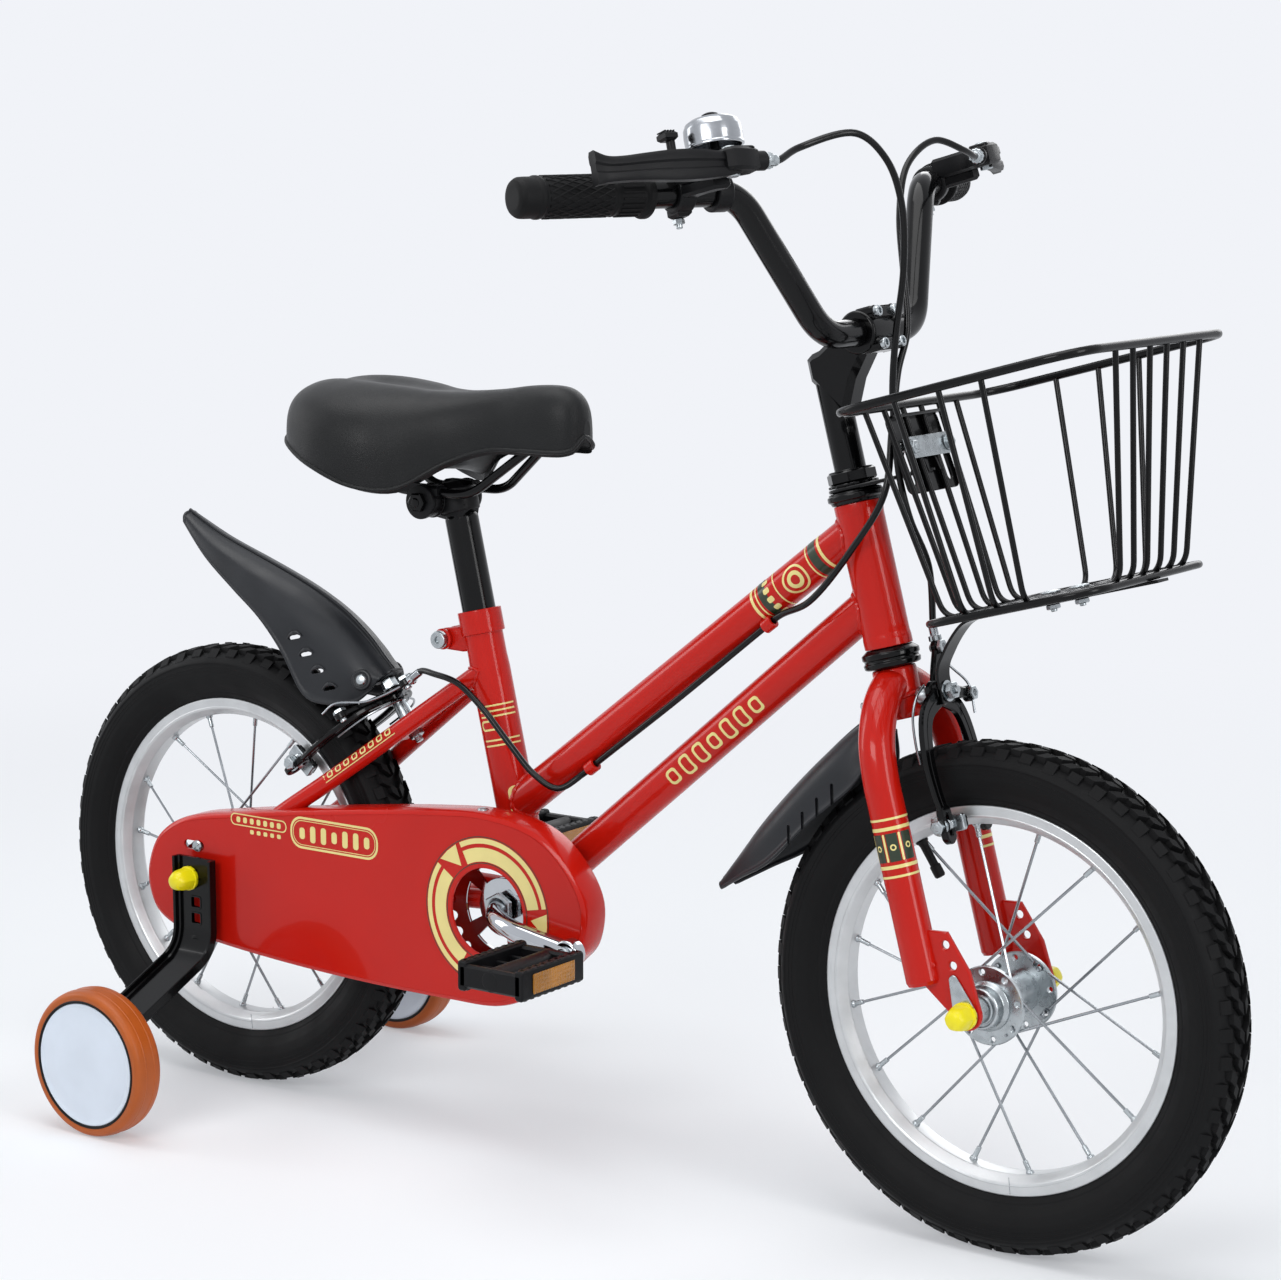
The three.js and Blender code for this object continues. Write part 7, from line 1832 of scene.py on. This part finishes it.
def pad_shapes(side, reach, turn):
    """The block with its ridges, its steel shoe, and its stud with washers and nut."""
    near, far = sorted((side * 15.7, side * 23.1))
    rubber = [plate(round_rect(0, 0, 24, 10, 2.4), -far, -near, XZ, (), 1.2)]
    near, far = sorted((side * 15.4, side * 16.0))
    rubber += [block((x - 0.6, near, -4.4), (x + 0.6, far, 4.4), XY, 0.15) for x in (-7, 0, 7)]
    near, far = sorted((side * 19.4, side * 23.9))
    out = Y * side
    cone = [(0, 0), (6.0, 0), (6.0, 2.2), (4.2, 3.4), (0, 3.4)]
    metal = [plate(round_rect(0, 0, 25.6, 11.4, 2), -far, -near, XZ, (), 0.6),
             rod(out * 23.5, out * 39, 2.6, 20, 0.5), washer(out * 33.6, out, 6.6, 1.1, 28),
             hex_head(out * 34.6, out, 5.2, 4.2), turned(cone, 0.4, out * 24.1, out, 28)]
    place = Matrix.Translation(V((PAD_X, 0, -reach))) @ Matrix.Rotation(turn, 4, "Y")
    return placed(rubber, place), placed(metal, place)


def bolt_shapes(seat, back, nut_start, washer_start, head_start, head, end):
    """A caliper's centre bolt along x: its shoulder from the seat, the nut behind, a washer and the head."""
    return [rod(V((back, 0, 0)), V((end, 0, 0)), 3.0, 20, 0.5),
            turned([(3, seat), (6.6, seat), (6.6, seat + 2), (5.4, 24.6), (3, 24.6)], 0.6, ORIGIN, X, 28),
            hex_head(V((nut_start - 5, 0, 0)), X, 6.0, 5.0), washer(V((washer_start, 0, 0)), X, 7.4, 1.0, 28),
            hex_head(V((head_start + 0.2, 0, 0)), X, 6.4, head - head_start - 0.2)]


def set_brakes():
    """Both calipers: two arms each with block, stud, anchor and spring, and the centre bolts."""
    front_reach, rear_reach = pad_place(FRONT_BRAKE, FRONT), pad_place(REAR_BRAKE, REAR)
    arms = (
        ("front_brake_arm_right", FRONT_BRAKE, 1, -1, front_reach, (34, -6)),
        ("front_brake_arm_left", FRONT_BRAKE, 0, 1, front_reach, (16, 30)),
        ("rear_brake_arm_left", REAR_BRAKE, 1, -1, rear_reach, (37, -26)),
        ("rear_brake_arm_right", REAR_BRAKE, 0, 1, rear_reach, (16, 28)),
    )
    for name, m, layer, side, (reach, turn), anchor in arms:
        rubber, metal = pad_shapes(side, reach, turn)
        low = LAYER_LOW + layer * LAYER_STEP
        metal.append(rod(V((low - 2.4, *anchor)), V((low + 8.4, *anchor)), 3.0, 20, 0.5))
        metal.append(hex_head(V((low + 5.0, *anchor)), X, 5.4, 3.4))
        if layer == 0:
            stop = V((low + 2.65, *anchor))
            metal.append(rod(stop - Z * 4, stop + Z * 9, 3.3, 20, 0.5))
            metal.append(plate(toothed(24, 4.1, 4.6), 4.5, 8.5, Matrix.Translation(stop), (), 0.4))
        casting = placed(arm_shapes(layer, side, reach, anchor), m)
        piece(f"{name}_casting", name, BLACK, casting, [name], 36)
        piece(f"{name}_block", name, PAD, placed(rubber, m))
        piece(f"{name}_hardware", name, ZINC, placed(metal, m))
        spring = ((23.2, 4, 7), (23.2, 16, 1), (23.4, 27, -12), (23.6, 31, -30), (23.8, 31, -44))
        line = smooth([V((x, side * y, z)) for x, y, z in spring], 8)
        piece(f"{name}_spring", name, SPOKE, [moved(tube(line, 0.9, 10), m)])
    front_bolt = bolt_shapes(15.8, -32.0, -18.6, 38.1, 39.3, 44.8, 47.0)
    piece("front_brake_centre_bolt", "steering", ZINC, placed(front_bolt, FRONT_BRAKE),
          ["front_brake_bolt"])
    rear_bolt = bolt_shapes(1.8, -10.8, -1.8, 35.9, 35.9, 44.0, 48.8)
    piece("rear_brake_centre_bolt", "frame", ZINC, placed(rear_bolt, REAR_BRAKE),
          ["rear_brake_bolt"])


set_brakes()

# Mudguards

SHEET = 2.2


def arch_rows(rows, across_steps=24, along_steps=48):
    """A deep arched sheet from rows of (ridge x, ridge z, foot x, foot z, half width): the rows of its outer
    and inner skin, whose edge edge_bead() rolls.
    """
    shares = [(-1, 1), (-0.85, 0.32), (-0.4, 0.03), (0.4, 0.03), (0.85, 0.32), (1, 1)]
    outside, inside = [], []
    for i in range(along_steps + 1):
        ridge_x, ridge_z, foot_x, foot_z, half = blend_values(rows, i / along_steps)
        ridge = V((ridge_x, 0, ridge_z))
        drop = V((foot_x - ridge_x, 0, foot_z - ridge_z))
        section = [V((u * half, v * drop.length, 0)) for u, v in shares]
        line = even_points(smooth(section, 8), across_steps)
        down = drop.normalized()
        outer, inner = [], []
        for k, p in enumerate(line):
            after, before = line[min(k + 1, len(line) - 1)], line[max(k - 1, 0)]
            t = (after - before).normalized()
            normal = V((t.y, -t.x, 0))
            for made, lift in ((outer, SHEET / 2), (inner, -SHEET / 2)):
                q = p + normal * lift
                made.append(ridge + down * q.y + Y * q.x)
        outside.append(outer)
        inside.append(inner)
    return outside, inside


def sheet_of(rows):
    """The sheet's skin, with both ends closed."""
    outside, inside = rows
    shell = grid([outer + inner[::-1] for outer, inner in zip(outside, inside)])
    n = len(outside[0])
    caps = []
    for which, flip in ((0, False), (-1, True)):
        outer, inner = outside[which], inside[which]
        points = outer + inner
        faces = [[k, k + 1, n + k + 1, n + k] for k in range(n - 1)]
        caps.append((points, [f[::-1] for f in faces] if flip else faces))
    return [shell, *caps]


def edge_bead(rows):
    """The rolled bead along the sheet's edge."""
    outside, inside = rows
    left = [(a[0] + b[0]) / 2 for a, b in zip(outside, inside)]
    right = [(a[-1] + b[-1]) / 2 for a, b in zip(outside, inside)]
    end = [(a + b) / 2 for a, b in zip(outside[-1], inside[-1])]
    return [tube(left + end[1:-1] + right[::-1], 1.3, 10)]


def louvre_shape(x, z, length, width, lean):
    """What is carved through a mudguard for one slot."""
    return side_plate(slot_shape(x, z, length, width, radians(lean)), -60, 60, (), 0.1)


REAR_GUARD_BACK, REAR_GUARD_FOOT, REAR_GUARD_LONG, REAR_GUARD_HIGH, REAR_GUARD_HALF = -401, 322, 216, 136, 27


def rear_guard_at(u, v):
    """A place in the rear mudguard, from shares of its length and height."""
    return REAR_GUARD_BACK + u * REAR_GUARD_LONG, REAR_GUARD_FOOT + v * REAR_GUARD_HIGH


REAR_LOUVRES = [rear_guard_at(*spot) for spot in ((0.612, 0.37), (0.665, 0.28), (0.72, 0.19), (0.775, 0.1))]
# Rows of the sheets: the ridge's place, the foot's place, and the half width
REAR_GUARD_SHARES = [(0.972, 0.2, 0.935, 0.12, 0.6), (0.93, 0.26, 0.87, 0.03, 0.85),
                     (0.86, 0.37, 0.77, 0.01, 0.97), (0.76, 0.49, 0.655, 0.05, 1),
                     (0.64, 0.59, 0.555, 0.28, 1), (0.5, 0.68, 0.445, 0.46, 0.96),
                     (0.34, 0.77, 0.305, 0.61, 0.85), (0.157, 0.875, 0.148, 0.77, 0.63),
                     (0, 1, 0.005, 0.95, 0.3)]
FRONT_GUARD_ROWS = [(-16.9, -47, -16.9, -58, 12), (-37, -52, -34, -86, 27), (-75, -72, -75, -107, 31),
                    (-120, -100, -116, -130, 29), (-155, -126, -150, -139, 20), (-178, -142, -176, -146, 9)]


def set_rear_mudguard():
    """The rear sheet with its crease, slots under hoods, two screwed bosses and the tongue to the brake."""
    rows = [(*rear_guard_at(rx, rz), *rear_guard_at(fx, fz), half * REAR_GUARD_HALF)
            for rx, rz, fx, fz, half in REAR_GUARD_SHARES]
    sheet = arch_rows(rows)
    shapes = sheet_of(sheet) + edge_bead(sheet)
    crease = [outer[12] + V((0, 0, 0.6)) for outer in sheet[0]]
    shapes.append(tube(crease, 1.4, 8))
    rear = piece("rear_mudguard_sheet", "frame", GUARD_PLASTIC, shapes,
                 ["rear_mudguard"], angle=36)
    carve(rear, [louvre_shape(x, z, 12, 3, 14) for x, z in REAR_LOUVRES])
    tongue = plate(round_rect(0, 3, 18, 22, 4), 44.5, 46.7, REAR_BRAKE @ YZ, [circle(0, 0, 3.2, 18)], 0.5)
    hoods = []
    for x, z in REAR_LOUVRES:
        for side in SIDES:
            line = smooth([V((x + s * 7.5, side * 26.7, z + s * 1.9 + 3.4 * (1 - s * s)))
                           for s in (-1, -0.5, 0, 0.5, 1)], 5)
            radii = [2.0 - 1.5 * abs(2 * i / (len(line) - 1) - 1) for i in range(len(line))]
            hoods.append(tube(line, radii, 10))
    bosses, screws = [], []
    boss = [(0, 0), (8.4, -0.6), (7.6, 1.0), (6.2, 1.2), (5.4, 0.5), (0, 0.5)]
    for across in (5, 19):
        spot = sheet[0][6][across]
        normal = (sheet[0][7][across] - spot).cross(sheet[0][6][across + 1] - spot).normalized()
        normal = normal if normal.y * (across - 12) > 0 else -normal
        bosses.append(turned(boss, 0.3, spot, normal, 32))
        screws.append(screw_head(spot + normal * 0.5, normal, 4.2, 2.0))
    piece("rear_mudguard_tongue", "frame", GUARD_PLASTIC, [tongue, *hoods, *bosses],
          angle=36)
    piece("rear_mudguard_screws", "frame", ZINC, screws)


def set_front_mudguard():
    """The front sheet with its crease and slots, and the flap to the brake's bolt."""
    sheet = arch_rows(FRONT_GUARD_ROWS)
    shapes = placed(sheet_of(sheet) + edge_bead(sheet), STEER)
    crease = [outer[12] + V((0, 0, 0.5)) for outer in sheet[0]]
    shapes.append(moved(tube(crease, 1.3, 8), STEER))
    front = piece("front_mudguard_sheet", "steering", GUARD_PLASTIC, shapes,
                  ["front_mudguard"], angle=36)
    carve(front, [moved(louvre_shape(x, -92 + (x + 52) * 0.55, 16, 2.6, 82), STEER)
                  for x in (-52, -66, -80, -94)])
    bolt_hole = circle(0, -BRAKE_DROP, 3.2, 18)
    flap = plate(round_rect(0, -40.5, 24, 23, 3), -18.0, -15.8, STEER @ YZ, [bolt_hole], 0.5)
    piece("front_mudguard_tongue", "steering", GUARD_PLASTIC, [flap])


set_rear_mudguard()
set_front_mudguard()

# Seat

CLAMP_AT = V((-139.6, 0, 487))


def clamp_shapes():
    """The pressed clamp: a sleeve round the post, two cheeks with teeth and the cross bolt."""
    sleeve = [(11.2, 296), (14.6, 296), (15.2, 297), (15.2, 313), (14.6, 314), (0, 314)]
    shapes = [turned(sleeve, 0.8, BB, SEAT_UP, 44)]
    for side in SIDES:
        for inner, outer, r in ((13, 16, 13.2), (17, 25, 12.4), (26, 30, 13.0)):
            cheek = [(0, inner), (r, inner), (r, outer), (0, outer)]
            shapes.append(turned(cheek, 0.9, CLAMP_AT, Y * side, 40))
        across = basis(X, V((0, 0, -side)), Y * side, CLAMP_AT)
        shapes.append(plate(toothed(48, 11.8, 12.8), 15.6, 17.4, across, (), 0.3))
    shapes.append(rod(CLAMP_AT - Y * 30, CLAMP_AT + Y * 30, 4.2, 24, 0.6))
    link = [(-8, -12), (24, -17), (27, -2), (8, 13), (-9, 9)]
    shapes.append(plate([(CLAMP_AT.x + u, CLAMP_AT.z + v) for u, v in link], -12, 12, XZ, (), 3))
    for side in SIDES:
        low, high = CLAMP_AT + V((-14, side * 21 - 6, 3)), CLAMP_AT + V((15, side * 21 + 6, 12.5))
        shapes.append(block(low, high, XY, 2))
    return shapes


def clamp_nuts():
    """The cross bolt's nuts with the bolt's domed ends."""
    return ([hex_head(CLAMP_AT + Y * side * 29.6, Y * side, 7.6, 5.2) for side in SIDES]
            + [screw_head(CLAMP_AT + Y * side * 34.6, Y * side, 3.6, 1.6) for side in SIDES])


def rail_shapes():
    """The two rails: down from the tail, level through the clamp, and up to the nose."""
    shapes = []
    for side in SIDES:
        bends = ((-62, 36, 33), (-30, 21, 7), (42, 21, 7), (88, 9, 43))
        line = [CLAMP_AT + V((x, side * y, z)) for x, y, z in bends]
        shapes.append(tube(bent(line, 13, 10), 3.5, 20))
    return shapes


post = [(0, 126), (12.7, 126), (12.7, 291), (12.2, 293), (11, 295), (11, 311), (0, 311)]
piece("seat_post_tube", "seat", BLACK, [turned(post, 0.8, BB, SEAT_UP, 48)], ["seat_post"])
piece("saddle_clamp_pressing", "seat", PLASTIC, clamp_shapes(), ["saddle_clamp"])
piece("saddle_clamp_nuts", "seat", BLACK, clamp_nuts())
piece("saddle_rail_wires", "seat", BLACK, rail_shapes(), ["saddle_rails"])

SADDLE_BACK, SADDLE_FOOT = -261.6, 494.1
SADDLE_LONG, SADDLE_HALF, SADDLE_HIGH = 256, 75, 84
# Shares along the saddle: place, half width, top and lower edge
SADDLE_ROWS = [(0, 0.1, 0.7, 0.56), (0.008, 0.33, 0.78, 0.5), (0.03, 0.62, 0.88, 0.44),
               (0.1, 0.86, 0.96, 0.36), (0.22, 1, 0.98, 0.22), (0.36, 0.95, 0.95, 0.07),
               (0.47, 0.74, 0.91, 0.06), (0.58, 0.47, 0.9, 0.27), (0.7, 0.32, 0.93, 0.4),
               (0.82, 0.29, 0.98, 0.42), (0.92, 0.27, 0.985, 0.42), (0.965, 0.22, 0.93, 0.43),
               (0.99, 0.14, 0.83, 0.47), (1, 0.05, 0.7, 0.56)]


def saddle_at(t):
    """The saddle's share along, its x, half width, top and lower edge, at a share of its length."""
    forward, half, top, low = row_at(SADDLE_ROWS, t)
    return (forward, SADDLE_BACK + forward * SADDLE_LONG, half * SADDLE_HALF,
            SADDLE_FOOT + top * SADDLE_HIGH, SADDLE_FOOT + low * SADDLE_HIGH)


def saddle_cover():
    """The padded cover: a wide crowned tail with a channel along it, and a narrow raised nose."""
    rows = []
    count = 64
    across = 44
    for i in range(count + 1):
        t = i / count / 2 + (1 - cos(pi * i / count)) / 4
        forward, x, half, top_z, low_z = saddle_at(t)
        height = top_z - low_z
        ring_points = []
        for k in range(across + 1):
            a = pi * k / across
            c, s = cos(a), sin(a)
            u = math.copysign(abs(c) ** 0.82, c)
            v = s ** 0.62
            bulge = 1 + 0.03 * sin(pi * min(1, v)) * (1 - abs(u) ** 4)
            groove = 0.1 * height * math.exp(-(u / 0.2) ** 2) * max(0.0, 1 - abs(forward - 0.24) / 0.36)
            ring_points.append(V((x, -u * half * bulge, low_z + height * v - groove)))
        rows.append(ring_points)
    return rows


def row_at(rows, t):
    """Rows whose first value is the place from 0 to 1, read smoothly at t."""
    i = 0
    while i < len(rows) - 2 and rows[i + 1][0] < t:
        i += 1
    f = (t - rows[i][0]) / (rows[i + 1][0] - rows[i][0])
    f = min(max(f, 0.0), 1.0)
    quad = [rows[max(i - 1, 0)], rows[i], rows[i + 1], rows[min(i + 2, len(rows) - 1)]]
    made = [t]
    for n in range(1, len(rows[0])):
        before = (quad[2][n] - quad[0][n]) / max(1e-6, quad[2][0] - quad[0][0])
        after = (quad[3][n] - quad[1][n]) / max(1e-6, quad[3][0] - quad[1][0])
        step = quad[2][0] - quad[1][0]
        h00, h10 = 2 * f ** 3 - 3 * f * f + 1, f ** 3 - 2 * f * f + f
        h01, h11 = -2 * f ** 3 + 3 * f * f, f ** 3 - f * f
        made.append(h00 * quad[1][n] + h10 * step * before + h01 * quad[2][n] + h11 * step * after)
    return made


def set_saddle():
    """The cover with its underside, the hem's cord, the pan and the skirt turned in under the tail."""
    rows = saddle_cover()
    shell = grid(rows, wrap_columns=False)
    inner = [[p + V((0, (-p.y) * 0.10, -3.0)) for p in row] for row in rows]
    shapes = [shell, inside_out(grid(inner, wrap_columns=False))]
    n = len(rows)
    for edge in (0, len(rows[0]) - 1):
        strip = ([row[edge] for row in rows] + [row[edge] for row in inner],
                 [[k, k + 1, n + k + 1, n + k] for k in range(n - 1)])
        shapes.append(strip if edge else inside_out(strip))
    shapes += [fill(rows[0], -X), fill(rows[-1], X)]
    cover = piece("saddle_cover", "seat", VINYL, shapes, ["saddle"], angle=50)
    step = cover.modifiers.new("smooth", "SUBSURF")
    step.levels = step.render_levels = 1
    hem = [row[0] + V((0, 0, 0.6)) for row in rows] + [row[-1] + V((0, 0, 0.6)) for row in rows][::-1]
    hem_cord = tube(smooth(hem[::2], 3, closed=True), 1.6, 10, closed=True)
    piece("saddle_hem", "seat", VINYL, [hem_cord])
    pan_rows = []
    for i in range(33):
        t = 0.02 + 0.95 * i / 32
        _, x, half, _, low_z = saddle_at(t)
        shares = [k / 8 - 1 for k in range(17)]
        pan_rows.append([V((x, half * 0.93 * u, low_z + 3 + 9 * (1 - u * u) ** 0.7)) for u in shares])
    skirt = []
    for side in SIDES:
        skirt_rows = []
        for i in range(25):
            t = 0.004 + 0.5 * i / 24
            _, x, half, _, z = saddle_at(t)
            fall, y = 7.5 * max(0.0, 1 - t / 0.5), side * half
            skirt_rows.append([V((x + 2, y * 0.97, z + 1)), V((x + 3, y * 0.95, z - fall)),
                               V((x + 5, y * 0.9, z - fall - 1)), V((x + 6, y * 0.84, z + 3))])
        strip = grid(skirt_rows, wrap_columns=False)
        skirt.append(strip if side < 0 else inside_out(strip))
    pan = grid(pan_rows, wrap_columns=False)
    lower = grid([[p - V((0, 0, 2)) for p in row] for row in pan_rows], wrap_columns=False)
    piece("saddle_pan", "seat", PLASTIC, [inside_out(pan), lower, *skirt], angle=60)


set_saddle()

# Brake cables

CABLE_R, CORE_R = 2.4, 0.9
FRONT_ROUTE = ((80, -105, 330), (104, -72, 333), (109, -50, 315), (103, -32, 286), (88, -22, 245),
               (68, -16, 205), (54, -13, 168), (48, -13, 135), (45, -13, 111), (43, -8, 82), (41, 6, 48))
REAR_ROUTE = ((78, 110, 327), (71, 85, 336), (63, 55, 321), (60, 36, 288), (58, 27, 245), (55, 21, 208),
              (49, 8, 182), (43, -6, 144), (34, -19, 102), (2, -24, 70))
STAY_ROUTE = ((328, -19, 104), (309, -22, 112), (287, -24, 133), (262, -25, 158), (238, -24, 174),
              (212, -20, 178))


def from_lever(side):
    """Where a cable leaves its lever's ferrule."""
    grip = grip_frame(side)
    return [grip @ V((3, 43, 9)), grip @ V((-6, 42.6, 9))]


def cable_end(place, up):
    """The turned ferrule at the end of a housing."""
    return turned([(0, 0), (3.1, 0), (3.1, 9), (2.6, 9.8), (0, 9.8)], 0.3, place, up, 18)


def set_front_cable():
    """The front cable: housing from the right lever to the caliper's stop, and bare core to the anchor."""
    route = from_lever(-1) + [local(*p) for p in FRONT_ROUTE]
    barrel = local(27.65, 16, -7.6)
    route += [barrel + STEER_UP * 12, barrel + STEER_UP * 6.5]
    piece("front_cable_housing", "steering", CABLE, [tube(smooth(route, 10), CABLE_R, 16)],
          ["front_brake_cable"])
    pinch = local(35.15, 34, -43.6)
    core = [barrel + STEER_UP * 8, barrel + STEER_UP * -2, local(31, 22, -22), pinch + STEER_UP * 6,
            pinch + STEER_UP * -14]
    ferrule = cable_end(barrel + STEER_UP * 5.5, STEER_UP)
    piece("front_cable_core", "steering", SPOKE, [tube(smooth(core, 8), CORE_R, 10), ferrule])


def set_rear_cable():
    """The rear cable: housing from the left lever under the top tube to the caliper's stop, and its core."""
    d, _, (upper, lower) = guide_places()
    route = from_lever(1) + [local(*p) for p in REAR_ROUTE] + [REAR + V((547, -21, 263))]
    route += [upper + d * 10.5, upper - d * 10.5, (upper + lower) / 2 + V((0, -3, -2)),
              lower + d * 10.5, lower - d * 10.5]
    route += [REAR + V(p) for p in STAY_ROUTE]
    barrel = REAR_BRAKE @ V((27.65, 16, 28))
    up = -STAY_SLOPE
    route += [barrel + up * 18, barrel + up * 8.5]
    cord = tube(smooth(route, 9), CABLE_R, 16)
    housing = piece("rear_cable_housing", None, CABLE, [cord], ["rear_brake_cable"])
    local(4, -24, 60) * MM
    local(50, 8, 200) * MM
    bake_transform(housing)
    pinch = REAR_BRAKE @ V((35.15, 37, -26))
    out = STAY_NORMAL * 9
    core = [barrel + up * 9, barrel - up * 2, barrel.lerp(pinch, 0.6), pinch + out, pinch + out - up * 16]
    ferrule = cable_end(barrel + up * 7.5, up)
    piece("rear_cable_core", "frame", SPOKE, [tube(smooth(core, 8), CORE_R, 10), ferrule])


set_front_cable()
set_rear_cable()
